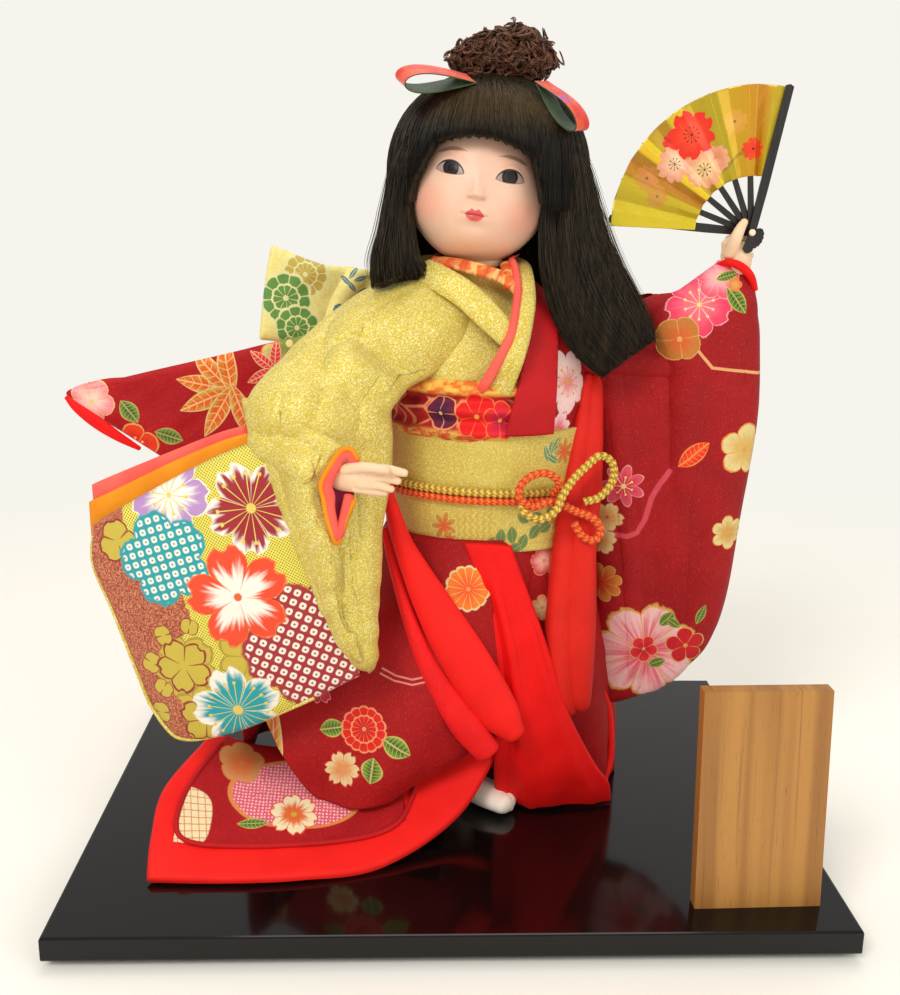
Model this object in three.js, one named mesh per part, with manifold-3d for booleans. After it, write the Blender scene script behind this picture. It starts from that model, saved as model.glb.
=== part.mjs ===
// A dancing ichimatsu doll on a lacquered board, with a folding fan and a standing wooden plaque.
// Millimetres, +Z up, +Y away from the viewer. The origin is the centre of the underside.
import * as THREE from 'three';
import Module from 'manifold-3d';
import { mergeVertices } from 'three/addons/utils/BufferGeometryUtils.js';

const wasm = await Module();
wasm.setup();

// Driving dimensions
const clearance = 0.35; // between touching pieces
const tolerance = 0.28; // how far small facets may be merged
const plinth = { inset: 15, height: 4, corner: 3 };
const board = { width: 370, depth: 275, thick: 12, bevel: 1 };
const plaque = { width: 60, height: 105, thick: 7.5, lean: 5, turn: 1.5, fromSide: 43.5, fromFront: 18.5 };
const rod = { radius: 1.6, x: 36, y: 8, top: 120 };
const neck = { x: 10, y: 0, radius: 9, socketDepth: 26, base: 262 };
const head = { width: 65, depth: 68, above: 42, below: 33, centreHeight: 321, roll: 8, turn: -4 };
const eye = { radius: 6.2, apart: 26.5, up: 11, sink: 5.2 };
const hair = { x: 15.5, y: 3, aboveHead: 12, halfWidth: 50, halfDepth: 43, rise: 49, fringeBottom: 22.5, opening: 58 };
const obi = { bottom: 147, top: 208, x: 17, y: 4, halfWidth: 53, halfDepth: 41, thick: 3 };
const cord = { radius: 1.7, goldHeight: 178.6, orangeHeight: 174.4, sides: 6 };
const fan = {
  x: 144.4, y: -17, height: 306.1, radius: 69.5, leafInner: 27, sticks: 7, first: 79.5, spread: 96,
  stickThick: 0.5, pitch: 1, guardThick: 1.2, stickWidth: 3.2, guardWidth: 4.4, tail: 5.6, guardTail: 7.6,
  rivetRadius: 0.9, leafThick: 0.5, leafGap: 0.25, pleat: 2.2,
};

const rad = THREE.MathUtils.degToRad;
const boardTop = plinth.height + board.thick;

// Materials, one for each finish
const finish = (color, roughness, metalness = 0) => new THREE.MeshStandardMaterial({ color, roughness, metalness });
const looks = {
  lacquer: finish(0x0a0a0b, 0.12),
  wood: finish(0xc9924f, 0.6),
  steel: finish(0x9a9ca0, 0.35, 1),
  straw: finish(0xc2a468, 0.9),
  skin: finish(0xf3d3bd, 0.45),
  tabi: finish(0xf4f2ee, 0.8),
  glass: finish(0x1a1210, 0.08),
  hair: finish(0x1c140c, 0.4),
  curls: finish(0x4a2418, 0.45),
  ribbon: finish(0xd95a2c, 0.5),
  gold: finish(0xc9a83a, 0.38, 0.6),
  brocade: finish(0xbf9b45, 0.5, 0.2),
  crepe: finish(0x7d0b1d, 0.75),
  vermilion: finish(0xe01a14, 0.55),
  orange: finish(0xe8901c, 0.7),
  pink: finish(0xf05a66, 0.7),
  collar: finish(0xd8804a, 0.7),
  obi: finish(0xd6c27c, 0.45, 0.2),
  goldCord: finish(0xd2b23c, 0.4, 0.4),
  orangeCord: finish(0xee5a14, 0.6),
  ebony: finish(0x14100f, 0.4),
  goldLeaf: finish(0xc8a21e, 0.3, 0.7),
};

// Solids

// A closed geometry as a solid, turned right way out.
function solid(geometry) {
  const bare = geometry.clone();
  for (const name of ['normal', 'uv']) bare.deleteAttribute(name);
  const merged = mergeVertices(bare, 1e-4);
  const vertProperties = new Float32Array(merged.attributes.position.array);
  const triVerts = new Uint32Array(merged.index.array);
  const made = new wasm.Manifold(new wasm.Mesh({ numProp: 3, vertProperties, triVerts }));
  if (made.volume() > 0) return made;
  for (let i = 0; i < triVerts.length; i += 3) {
    [triVerts[i + 1], triVerts[i + 2]] = [triVerts[i + 2], triVerts[i + 1]];
  }
  return new wasm.Manifold(new wasm.Mesh({ numProp: 3, vertProperties, triVerts }));
}

function geometryOf(body) {
  const mesh = body.getMesh();
  const n = mesh.numProp;
  const points = new Float32Array(mesh.numVert * 3);
  for (let i = 0; i < mesh.numVert; i++) points.set(mesh.vertProperties.subarray(i * n, i * n + 3), i * 3);
  const geometry = new THREE.BufferGeometry();
  geometry.setAttribute('position', new THREE.BufferAttribute(points, 3));
  geometry.setIndex(new THREE.BufferAttribute(new Uint32Array(mesh.triVerts), 1));
  geometry.computeVertexNormals();
  return geometry;
}

// The same solid with every point moved out, far enough that each face moves out by this much.
function swell(body, by) {
  const geometry = geometryOf(body);
  const points = geometry.attributes.position;
  const index = geometry.index.array;
  const faces = [];
  const sums = Array.from({ length: points.count }, () => new THREE.Vector3());
  const corner = (i) => new THREE.Vector3().fromBufferAttribute(points, index[i]);
  for (let i = 0; i < index.length; i += 3) {
    const p = [corner(i), corner(i + 1), corner(i + 2)];
    const normal = p[1].clone().sub(p[0]).cross(p[2].clone().sub(p[0])).normalize();
    faces.push(normal);
    for (let k = 0; k < 3; k++) {
      const angle = p[(k + 1) % 3].clone().sub(p[k]).angleTo(p[(k + 2) % 3].clone().sub(p[k]));
      sums[index[i + k]].addScaledVector(normal, angle || 0);
    }
  }
  sums.forEach((sum) => sum.normalize());
  const least = new Float32Array(points.count).fill(1);
  for (let i = 0; i < index.length; i++) {
    const normal = faces[Math.floor(i / 3)];
    least[index[i]] = Math.min(least[index[i]], normal.dot(sums[index[i]]));
  }
  for (let i = 0; i < points.count; i++) {
    const out = by / Math.max(least[i], 0.55);
    const at = new THREE.Vector3().fromBufferAttribute(points, i).addScaledVector(sums[i], out);
    points.setXYZ(i, at.x, at.y, at.z);
  }
  return solid(geometry);
}

// The solid and its copies a little to each side, where swelling alone leaves a touch.
const shaken = (body, by) => [0, 1, 2].reduce((all, k) => {
  const step = [0, 0, 0];
  step[k] = by;
  return all.add(body.translate(step)).add(body.translate(step.map((v) => -v)));
}, body);

const largest = (body) => body.decompose().sort((a, b) => b.volume() - a.volume())[0];
const moved = (body, matrix) => solid(geometryOf(body).applyMatrix4(matrix));
const join = (...bodies) => bodies.reduce((a, b) => a.add(b)).asOriginal().simplify(0.1);

// Uniform Catmull-Rom through a list of number lists, at t from 0 to 1.
function spline(points, t) {
  const last = points.length - 1;
  const at = Math.min(Math.max(t, 0), 1) * last;
  const i = Math.min(Math.floor(at), last - 1);
  const f = at - i;
  const p1 = points[i];
  const p2 = points[i + 1];
  const p0 = points[i - 1] ?? p1.map((v, k) => 2 * v - p2[k]);
  const p3 = points[i + 2] ?? p2.map((v, k) => 2 * v - p1[k]);
  return p1.map((v, k) => {
    const a = 2 * v;
    const b = p2[k] - p0[k];
    const c = 2 * p0[k] - 5 * v + 4 * p2[k] - p3[k];
    const d = 3 * v - p0[k] - 3 * p2[k] + p3[k];
    return 0.5 * (a + b * f + c * f * f + d * f * f * f);
  });
}

// A solid through rings of points. Open ends are closed with a fan of triangles.
function loft(rings, closed = false) {
  const n = rings[0].length;
  const points = rings.flat();
  const index = [];
  const last = closed ? rings.length : rings.length - 1;
  for (let i = 0; i < last; i++) {
    for (let j = 0; j < n; j++) {
      const a = i * n + j;
      const b = i * n + ((j + 1) % n);
      const c = ((i + 1) % rings.length) * n + j;
      const d = ((i + 1) % rings.length) * n + ((j + 1) % n);
      index.push(a, b, d, a, d, c);
    }
  }
  if (!closed) {
    for (const [ring, start, turn] of [[rings[0], 0, true], [rings.at(-1), (rings.length - 1) * n, false]]) {
      const centre = points.length;
      points.push([0, 1, 2].map((k) => ring.reduce((sum, p) => sum + p[k], 0) / n));
      for (let j = 0; j < n; j++) {
        const a = start + j;
        const b = start + ((j + 1) % n);
        index.push(...(turn ? [centre, b, a] : [centre, a, b]));
      }
    }
  }
  const geometry = new THREE.BufferGeometry();
  geometry.setAttribute('position', new THREE.Float32BufferAttribute(points.flat(), 3));
  geometry.setIndex(index);
  return solid(geometry);
}

// Level rings, each [height, x, y, half width, half depth], smoothed between.
// fold(angle, share of the height) adds to the radius.
function stack(levels, { sides = 24, steps = 2, fold = () => 0 } = {}) {
  const count = (levels.length - 1) * steps;
  const rings = [];
  for (let i = 0; i <= count; i++) {
    const [h, x, y, rx, ry] = spline(levels, i / count);
    const ring = [];
    for (let j = 0; j < sides; j++) {
      const angle = (j / sides) * 2 * Math.PI;
      const out = fold(angle, i / count);
      ring.push([x + (rx + out) * Math.cos(angle), y + (ry + out) * Math.sin(angle), h]);
    }
    rings.push(ring);
  }
  return loft(rings);
}

// A soft limb along a path. Each stop is [x, y, height, half width, half thickness].
// The thickness lies towards facing, and the ends are domed.
function limb(stops, { facing = [0, -1, 0], sides = 10, steps = 2, closed = false, dome = 0.5 } = {}) {
  const count = (stops.length - (closed ? 0 : 1)) * steps;
  const path = closed ? [...stops, stops[0]] : stops;
  const face = new THREE.Vector3(...facing);
  const ringAt = (t, scale, push) => {
    const at = spline(path, t);
    const step = 0.5 / count;
    const wrap = (s) => (closed ? (s + 1) % 1 : Math.min(Math.max(s, 0), 1));
    const ahead = new THREE.Vector3(...spline(path, wrap(t + step)));
    const along = ahead.sub(new THREE.Vector3(...spline(path, wrap(t - step)))).normalize();
    const across = new THREE.Vector3().crossVectors(along, face).normalize();
    const out = new THREE.Vector3().crossVectors(across, along).normalize();
    const ring = [];
    for (let j = 0; j < sides; j++) {
      const angle = (j / sides) * 2 * Math.PI;
      const a = Math.cos(angle) * at[3] * scale;
      const b = Math.sin(angle) * at[4] * scale;
      ring.push([0, 1, 2].map((k) => {
        return at[k] + along.getComponent(k) * push + across.getComponent(k) * a + out.getComponent(k) * b;
      }));
    }
    return ring;
  };
  const rings = [];
  const ends = [Math.min(...stops[0].slice(3)) * dome, Math.min(...stops.at(-1).slice(3)) * dome];
  if (!closed) rings.push(ringAt(0, 0.55, -ends[0]));
  for (let i = 0; i < count + (closed ? 0 : 1); i++) rings.push(ringAt(i / count, 1, 0));
  if (!closed) rings.push(ringAt(1, 0.55, ends[1]));
  return loft(rings, closed);
}

const ball = (x, y, z, rx, ry, rz, sides = 14) => {
  const geometry = new THREE.SphereGeometry(1, sides, Math.round(sides * 0.7));
  return solid(geometry.scale(rx, rz, ry).rotateX(Math.PI / 2).translate(x, y, z));
};

// A piece of cloth through rows of points, with a padded middle and a thin rim.
// fold(u, v) moves the cloth along its normal; from and to cut out a share of the rows' whole size.
function drape(rows, options) {
  const { thick, rim = 1.2, nu = 10, nv = 10, fold = () => 0, from = [0, 0], to = [1, 1], lift = 0, crown = 4 } = options;
  const at = (u, v) => {
    const U = from[0] + (to[0] - from[0]) * u;
    const W = from[1] + (to[1] - from[1]) * v;
    return new THREE.Vector3(...spline(rows.map((row) => spline(row, U)), W));
  };
  const step = 0.02;
  const front = [];
  const back = [];
  for (let j = 0; j <= nv; j++) {
    for (let i = 0; i <= nu; i++) {
      const u = i / nu;
      const v = j / nv;
      const du = at(Math.min(u + step, 1), v).sub(at(Math.max(u - step, 0), v));
      const dv = at(u, Math.min(v + step, 1)).sub(at(u, Math.max(v - step, 0)));
      const normal = new THREE.Vector3().crossVectors(du, dv).normalize();
      const pad = (1 - Math.abs(2 * u - 1) ** crown) * (1 - Math.abs(2 * v - 1) ** crown);
      const half = (rim + (thick - rim) * Math.sqrt(pad)) / 2;
      const middle = at(u, v).addScaledVector(normal, fold(u, v) + lift);
      front.push(middle.clone().addScaledVector(normal, half).toArray());
      back.push(middle.addScaledVector(normal, -half).toArray());
    }
  }
  const index = [];
  const width = nu + 1;
  const offset = front.length;
  const quad = (a, b, c, d) => index.push(a, b, c, a, c, d);
  for (let j = 0; j < nv; j++) {
    for (let i = 0; i < nu; i++) {
      const a = j * width + i;
      quad(a, a + 1, a + width + 1, a + width);
      quad(offset + a, offset + a + width, offset + a + width + 1, offset + a + 1);
    }
  }
  for (let i = 0; i < nu; i++) {
    const b = nv * width + i;
    quad(i, offset + i, offset + i + 1, i + 1);
    quad(b, b + 1, offset + b + 1, offset + b);
  }
  for (let j = 0; j < nv; j++) {
    const a = j * width;
    const b = a + nu;
    quad(a, a + width, offset + a + width, offset + a);
    quad(b, offset + b, offset + b + width, b + width);
  }
  const geometry = new THREE.BufferGeometry();
  geometry.setAttribute('position', new THREE.Float32BufferAttribute([...front, ...back].flat(), 3));
  geometry.setIndex(index);
  return solid(geometry);
}

// A flat outline in X and Z, given its thickness along Y from y to y + thick.
function plate(shape, y, thick, segments = 6) {
  const geometry = new THREE.ExtrudeGeometry(shape, { depth: thick, bevelEnabled: false, curveSegments: segments });
  return solid(geometry.rotateX(Math.PI / 2).translate(0, y + thick, 0));
}

const halfSpace = (x, tilt, height, size = 400) => {
  const box = new THREE.BoxGeometry(size, size, size).translate(size / 2, 0, 0);
  return solid(box.rotateY(rad(tilt)).translate(x, 0, height));
};

// The pieces, each cut clear of those made before it
const root = new THREE.Group();
root.name = 'ichimatsu_doll';
const dollGroup = new THREE.Group();
dollGroup.position.z = boardTop;
root.add(dollGroup);
const made = [];

function overlaps(a, b) {
  const p = a.boundingBox();
  const q = b.boundingBox();
  return [0, 1, 2].every((k) => p.min[k] < q.max[k] && q.min[k] < p.max[k]);
}

// Whether the surface stays closed when its corners are rounded to a ten-thousandth.
function sound(body) {
  const mesh = body.getMesh();
  const ids = new Map();
  const idOf = Array.from({ length: mesh.numVert }, (_, i) => {
    const at = mesh.vertProperties.subarray(i * mesh.numProp, i * mesh.numProp + 3);
    const key = Array.from(at, (v) => Math.round(v * 1e4)).join();
    if (!ids.has(key)) ids.set(key, ids.size);
    return ids.get(key);
  });
  const edges = new Map();
  for (let i = 0; i < mesh.triVerts.length; i += 3) {
    const t = [0, 1, 2].map((k) => idOf[mesh.triVerts[i + k]]);
    if (new Set(t).size < 3) continue;
    for (let k = 0; k < 3; k++) {
      const [a, b] = [t[k], t[(k + 1) % 3]];
      const key = a < b ? `${a},${b}` : `${b},${a}`;
      edges.set(key, (edges.get(key) ?? 0) + 1);
    }
  }
  return [...edges.values()].every((count) => count === 2);
}

function tidied(body) {
  for (const step of [0.08, 0.11, 0.15, 0.2, 0.25]) {
    const found = largest(body.asOriginal().simplify(step));
    if (sound(found)) return found;
  }
  return body;
}

function add(name, body, look, { ignore = [], parent = dollGroup, swollen = null, tidy = tolerance } = {}) {
  const near = made.filter((other) => !ignore.includes(other.name));
  const cut = (from, key) => near.reduce((left, other) => {
    return overlaps(left, other[key]) ? left.subtract(other[key]) : left;
  }, from);
  const first = largest(largest(cut(body, 'swollen')).asOriginal().simplify(tidy));
  let left = cut(first, 'grown');
  for (const other of near) {
    if (left.intersect(other.body).volume() > 0) left = left.subtract(shaken(other.body, clearance / 2));
  }
  left = tidied(largest(left));
  made.push({
    name, body: left, swollen: swollen ?? swell(left, clearance + 0.1), grown: swollen ?? swell(left, clearance / 3),
  });
  const mesh = new THREE.Mesh(geometryOf(left), looks[look]);
  mesh.name = name;
  parent.add(mesh);
  return left;
}

// Board, plinth and fixing, in the doll's frame, where the board's top is at height 0
function slab(width, depth, thick, bevel, corner = 0) {
  const w = width / 2 - bevel;
  const d = depth / 2 - bevel;
  const shape = new THREE.Shape();
  if (corner) {
    shape.moveTo(-w + corner, -d).lineTo(w - corner, -d).absarc(w - corner, -d + corner, corner, -Math.PI / 2, 0);
    shape.lineTo(w, d - corner).absarc(w - corner, d - corner, corner, 0, Math.PI / 2);
    shape.lineTo(-w + corner, d).absarc(-w + corner, d - corner, corner, Math.PI / 2, Math.PI);
    shape.lineTo(-w, -d + corner).absarc(-w + corner, -d + corner, corner, Math.PI, 1.5 * Math.PI);
  } else {
    shape.moveTo(-w, -d).lineTo(w, -d).lineTo(w, d).lineTo(-w, d);
  }
  const geometry = new THREE.ExtrudeGeometry(shape, {
    depth: thick - 2 * bevel, bevelThickness: bevel, bevelSize: bevel, bevelSegments: 2, bevelEnabled: bevel > 0,
    curveSegments: 4,
  });
  return solid(geometry.translate(0, 0, bevel));
}

function cylinder(x, y, low, high, radius, sides = 16) {
  const geometry = new THREE.CylinderGeometry(radius, radius, high - low, sides);
  return solid(geometry.rotateX(Math.PI / 2).translate(x, y, (low + high) / 2));
}

add('stand_rod', cylinder(rod.x, rod.y, -board.thick + 1.5, rod.top, rod.radius, 12), 'steel');
const plinthSize = [board.width - 2 * plinth.inset, board.depth - 2 * plinth.inset];
const plinthSolid = slab(...plinthSize, plinth.height, 0, plinth.corner).translate([0, 0, -boardTop]);
add('base_plinth', plinthSolid, 'lacquer');
const boardSolid = slab(board.width, board.depth, board.thick, board.bevel).translate([0, 0, -board.thick]);
add('base_board', boardSolid, 'lacquer', { ignore: ['base_plinth'], swollen: boardSolid.translate([0, 0, clearance]) });

// The plaque leans back a little on a foot cut to match
function plaqueSolid() {
  const run = Math.tan(rad(plaque.lean)) * plaque.height;
  const outline = new THREE.Shape();
  outline.moveTo(0, 0).lineTo(plaque.thick, 0).lineTo(plaque.thick + run, plaque.height).lineTo(run, plaque.height);
  const geometry = new THREE.ExtrudeGeometry(outline, { depth: plaque.width, bevelEnabled: false });
  geometry.rotateX(Math.PI / 2).rotateZ(Math.PI / 2).translate(-plaque.width / 2, 0, 0);
  const [x, y] = [board.width / 2 - plaque.fromSide, -board.depth / 2 + plaque.fromFront];
  return solid(geometry.rotateZ(rad(plaque.turn)).translate(x, y, 0));
}
add('name_plaque', plaqueSolid(), 'wood', { ignore: ['base_board'] });

// Body inside the clothes
const coreLevels = [
  [62, 16, 6, 36, 27], [100, 16, 5, 41, 31], [140, 17, 4, 43, 32], [180, 17, 4, 43, 32], [215, 16, 4, 42, 30],
  [240, 14, 4, 41, 27], [256, 12, 4, 35, 23], [268, 10, 3, 22, 17], [278, 10, 1, 15, 14],
];
const socket = cylinder(neck.x, neck.y, neck.base - neck.socketDepth, 300, neck.radius + clearance, 16);
// What the head may sweep through as it turns about the neck
const headSweep = stack(
  [[neck.base, 9.4], [285.5, 9.7], [287.2, 13], [290, 18], [294, 23], [299, 28], [306, 33], [316, 37.5], [330, 38.5]]
    .map(([h, r]) => [h, neck.x, neck.y, r, r]),
  { sides: 16, steps: 1 },
);
const keepHead = join(socket, headSweep);
const body = (levels, options) => stack(levels, options).subtract(keepHead);
add('body_core', body(coreLevels, { sides: 16, steps: 1 }), 'straw');

const leg = (x, y, toeX, toeY) => join(
  limb([[x, y, 66, 12, 11], [x, y, 40, 10, 9], [x, y - 1, 16, 7.5, 7.5], [x, y - 2, 8, 8, 8]], { sides: 8, steps: 1 }),
  limb(
    [[x, y + 5, 6.3, 7, 6], [(x + toeX) / 2, (y + toeY) / 2, 6.2, 8.2, 5.9], [toeX, toeY, 4.9, 6.2, 4.4]],
    { facing: [0, 0, 1], sides: 10, steps: 2, dome: 0.8 },
  ),
);
add('leg_right', leg(rod.x, rod.y, 44, -16), 'tabi');
add('leg_left', leg(7, -13, 27, -34), 'tabi');

const arms = {
  right: [[-20, 5, 256, 13, 13], [-45, -8, 248, 11, 11], [-78, -36, 226, 9, 9], [-84, -50, 213, 8, 8], [-66, -66, 201, 6.5, 6.5]],
  left: [[48, 4, 252, 13, 13], [74, -1, 244, 10, 10], [108, -7, 240, 9, 9], [123, -10, 250, 8, 8], [134, -11, 276, 6, 6]],
};
add('arm_right', limb(arms.right, { sides: 8, steps: 1 }), 'straw');
add('arm_left', limb(arms.left, { sides: 8, steps: 1 }), 'straw');

// Fan: sticks on one rivet, each behind the one before, and one pleated leaf
const stickAngle = (k) => fan.first + (k * fan.spread) / (fan.sticks - 1);
function stickSolid(k) {
  const guard = k === 0 || k === fan.sticks - 1;
  const wide = (guard ? fan.guardWidth : fan.stickWidth) / 2;
  const reach = guard ? fan.radius : fan.radius - 1;
  const tip = guard ? wide * 0.9 : wide * 0.6;
  const tail = k === 0 ? fan.guardTail : fan.tail;
  const shape = new THREE.Shape();
  shape.moveTo(-tail, -2.6).lineTo(-3, -1.7).lineTo(fan.leafInner * 0.8, -wide).lineTo(reach, -tip);
  shape.lineTo(reach + 0.8, 0).lineTo(reach, tip).lineTo(fan.leafInner * 0.8, wide).lineTo(-3, 1.7);
  shape.lineTo(-tail, 2.6).absarc(-tail, 0, 2.6, Math.PI / 2, 1.5 * Math.PI);
  const hole = new THREE.Path().absarc(0, 0, fan.rivetRadius + 0.15, 0, 2 * Math.PI, true);
  shape.holes.push(hole);
  const thick = k === 0 ? fan.guardThick : fan.stickThick;
  const y = k === 0 ? fan.stickThick - fan.guardThick : k * fan.pitch;
  return plate(shape, 0, thick, 5).rotate([0, -stickAngle(k), 0]).translate([fan.x, fan.y + y, fan.height]);
}

// The leaf in plan: flat where it is glued to a stick, folded back between sticks
function leafSolid() {
  const stops = [];
  const flat = 3.1;
  for (let k = 0; k < fan.sticks; k++) {
    const depth = k === 0 ? fan.stickThick + fan.leafGap : k * fan.pitch - fan.leafThick - fan.leafGap;
    if (k > 0) stops.push([stickAngle(k) - flat, depth]);
    if (k < fan.sticks - 1) stops.push([stickAngle(k) + (k ? flat : 4.6), depth]);
    if (k < fan.sticks - 1) stops.push([stickAngle(k + 0.5), depth + fan.pleat]);
    if (k === 0) stops.unshift([stickAngle(0), depth]);
  }
  stops.push([stickAngle(fan.sticks - 1), (fan.sticks - 1) * fan.pitch - fan.leafThick - fan.leafGap]);
  const rings = stops.map(([degrees, depth]) => {
    const at = (r, y) => [
      fan.x + r * Math.cos(rad(degrees)), fan.y + y, fan.height + r * Math.sin(rad(degrees)),
    ];
    const inner = fan.leafInner;
    const outer = fan.radius - 0.6;
    return [at(inner, depth), at(outer, depth), at(outer, depth + fan.leafThick), at(inner, depth + fan.leafThick)];
  });
  return loft(rings);
}

const rivetLength = (fan.sticks - 1) * fan.pitch + fan.guardThick + 0.9;
const rivetFront = fan.stickThick - fan.guardThick - 0.6;
function rivetSolid() {
  const shank = new THREE.CylinderGeometry(fan.rivetRadius, fan.rivetRadius, rivetLength, 12);
  const cap = new THREE.SphereGeometry(1.7, 12, 6, 0, 2 * Math.PI, 0, Math.PI / 2);
  const foot = new THREE.CircleGeometry(1.7, 12).rotateX(Math.PI / 2);
  const shankSolid = solid(shank.translate(fan.x, fan.y + rivetFront + rivetLength / 2, fan.height));
  const dome = loft([0, 0.5, 0.85].map((t) => {
    const r = 1.7 * Math.sqrt(1 - t * t);
    return Array.from({ length: 12 }, (_, j) => {
      const angle = (j / 12) * 2 * Math.PI;
      return [fan.x + r * Math.cos(angle), fan.y + rivetFront + 0.45 - t * 0.9, fan.height + r * Math.sin(angle)];
    });
  }));
  cap.dispose();
  foot.dispose();
  return join(shankSolid, dome);
}
const fanNames = ['fan_guard_front', ...Array.from({ length: fan.sticks - 2 }, (_, i) => `fan_rib_${i + 1}`), 'fan_guard_back'];
fanNames.forEach((name, k) => add(name, stickSolid(k), 'ebony', { ignore: fanNames }));
add('fan_leaf', leafSolid(), 'goldLeaf', { ignore: fanNames });
add('fan_rivet', rivetSolid(), 'steel', { ignore: [...fanNames, 'fan_leaf'] });

// The room that the sticks and their tails need as the fan folds: a sector with a margin along both its edges
function sector(radius, from, to, margin) {
  const edge = (angle, side) => new THREE.Vector2(Math.cos(rad(angle + side)), Math.sin(rad(angle + side)));
  const [start, end] = [edge(from, -90).multiplyScalar(margin), edge(to, 90).multiplyScalar(margin)];
  const outer = Array.from({ length: 13 }, (_, i) => edge(from + ((to - from) * i) / 12, 0).multiplyScalar(radius));
  const shape = new THREE.Shape([start, start.clone().add(outer[0]), ...outer, end.clone().add(outer[12]), end]);
  const low = fan.y + fan.pitch - clearance;
  const deep = (fan.sticks - 2) * fan.pitch + fan.stickThick + 2 * clearance + 0.1;
  return plate(shape, 0, deep).translate([fan.x, low, fan.height]);
}
const stickRoom = fan.guardWidth / 2 + 0.7;
const foldRoom = join(
  sector(fan.radius + 3, stickAngle(0), stickAngle(fan.sticks - 1), stickRoom),
  sector(fan.tail + 3.2, stickAngle(0) + 180, stickAngle(fan.sticks - 1) + 180, 2.6 + 0.7),
  solid(new THREE.CylinderGeometry(4.2, 4.2, 9.5, 16).translate(fan.x, fan.y + 3.4, fan.height)),
);

// Hands
const finger = (...stops) => limb(stops, { sides: 6, steps: 2, dome: 0.7 });
const rightHand = join(
  limb([[-62, -69, 197, 6, 6.2], [-54, -75, 196.5, 7.4, 5.6], [-45, -80, 196.5, 7.2, 4.6], [-38, -82, 196, 6, 4]], { sides: 12 }),
  finger([-44, -83, 200, 2.6, 2.6], [-34, -85, 201.5, 2.3, 2.3], [-25, -86, 200, 1.9, 1.9]),
  finger([-44, -82, 197, 2.5, 2.6], [-35, -84, 197.5, 2.2, 2.3], [-28, -84.5, 196, 1.9, 1.9]),
  finger([-45, -82, 194, 2.4, 2.6], [-37, -83.5, 193.6, 2.2, 2.3], [-31, -83.5, 192, 1.8, 1.9]),
  finger([-47, -80.5, 191.5, 2.3, 2.5], [-39, -82, 190.6, 2.1, 2.2], [-34, -82, 189.6, 1.7, 1.8]),
  finger([-52, -80, 200, 2.8, 2.8], [-42, -86, 202.5, 2.4, 2.4], [-33, -89, 202, 2, 2]),
);
add('hand_right', rightHand, 'skin');
const gripY = fan.y + (fan.sticks - 1) * fan.pitch + fan.stickThick;
const leftHand = join(
  limb([
    [137.5, -11, 277, 5.6, 5.4], [138.5, -11, 285, 6.6, 6], [139.5, -11, 291, 7.6, 6.6], [139, -10.5, 297, 7.6, 6.2],
    [137, -9.5, 302, 5.6, 4.6],
  ], { sides: 12 }),
  finger([134.8, -15, 296, 3.5, 3.4], [135.8, -19.2, 302.5, 3.1, 2.9], [138, -19, 308, 2.5, 2.4], [139.8, -18.5, 311, 1.9, 1.9]),
  finger([136.5, -7.3, 302, 2.7, 2.7], [142, gripY + 2.85, 304.5, 2.4, 2.4], [147, gripY + 2.5, 304.5, 2, 2]),
  finger([136.5, -7.2, 298, 2.7, 2.7], [143, gripY + 2.85, 300, 2.4, 2.4], [148, gripY + 2.5, 299.4, 2, 2]),
  finger([137, -7.2, 293.5, 2.6, 2.6], [143, gripY + 2.75, 295.4, 2.3, 2.3], [147.2, gripY + 2.4, 294.6, 1.9, 1.9]),
  finger([137, -7.2, 289.5, 2.5, 2.5], [142, gripY + 2.7, 291, 2.2, 2.2], [145.6, gripY + 2.2, 290.4, 1.7, 1.7]),
);
add('hand_left', leftHand.subtract(foldRoom), 'skin');

// Head: an egg with full cheeks, on a straight neck peg, tilted as one piece
const headMatrix = new THREE.Matrix4().makeTranslation(neck.x, neck.y - 2, head.centreHeight)
  .multiply(new THREE.Matrix4().makeRotationZ(rad(head.turn)))
  .multiply(new THREE.Matrix4().makeRotationY(rad(head.roll)));

// The skull's surface in the head's own frame, at a share across and up
function skull(grow, { sides = 20, rows = 12, wave = 0 } = {}) {
  const rings = [];
  for (let i = 1; i < rows; i++) {
    const tilt = (i / rows) * Math.PI;
    const z = -Math.cos(tilt);
    const cheek = 1 + 0.05 * Math.exp(-(((z + 0.3) / 0.35) ** 2)) - 0.03 * Math.max(z, 0);
    rings.push(Array.from({ length: sides }, (_, j) => {
      const angle = (j / sides) * 2 * Math.PI;
      const x = Math.sin(tilt) * Math.cos(angle);
      const y = Math.sin(tilt) * Math.sin(angle);
      const front = Math.max(-y, 0);
      const nose = 4.2 * Math.exp(-((x / 0.13) ** 2) - ((z + 0.16) / 0.17) ** 2) * front;
      const ripple = wave * Math.cos(angle * 16);
      return [
        (head.width / 2 + grow + ripple) * x * cheek,
        (head.depth / 2 + grow + ripple) * y * (1 - 0.05 * front) - nose,
        ((z > 0 ? head.above : head.below) + grow) * z,
      ];
    }));
  }
  return loft(rings);
}
const skullSolid = moved(skull(0), headMatrix);
const neckPeg = stack(
  [[neck.base - neck.socketDepth + 1, 5], [neck.base - 8, 5.2], [neck.base - 4, neck.radius], [276, neck.radius],
    [284, neck.radius + 0.3], [300, neck.radius + 2]].map(([h, r]) => [h, neck.x, neck.y, r, r]),
  { sides: 16, steps: 1 },
);
const eyeAt = (side) => new THREE.Vector3((side * eye.apart) / 2, -head.depth / 2 + eye.sink, eye.up).applyMatrix4(headMatrix);
for (const [name, side] of [['eye_right', -1], ['eye_left', 1]]) {
  const at = eyeAt(side);
  add(name, ball(at.x, at.y, at.z, eye.radius, eye.radius * 0.8, eye.radius * 0.72, 10), 'glass');
}
add('head', join(skullSolid, neckPeg), 'skin');

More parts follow.
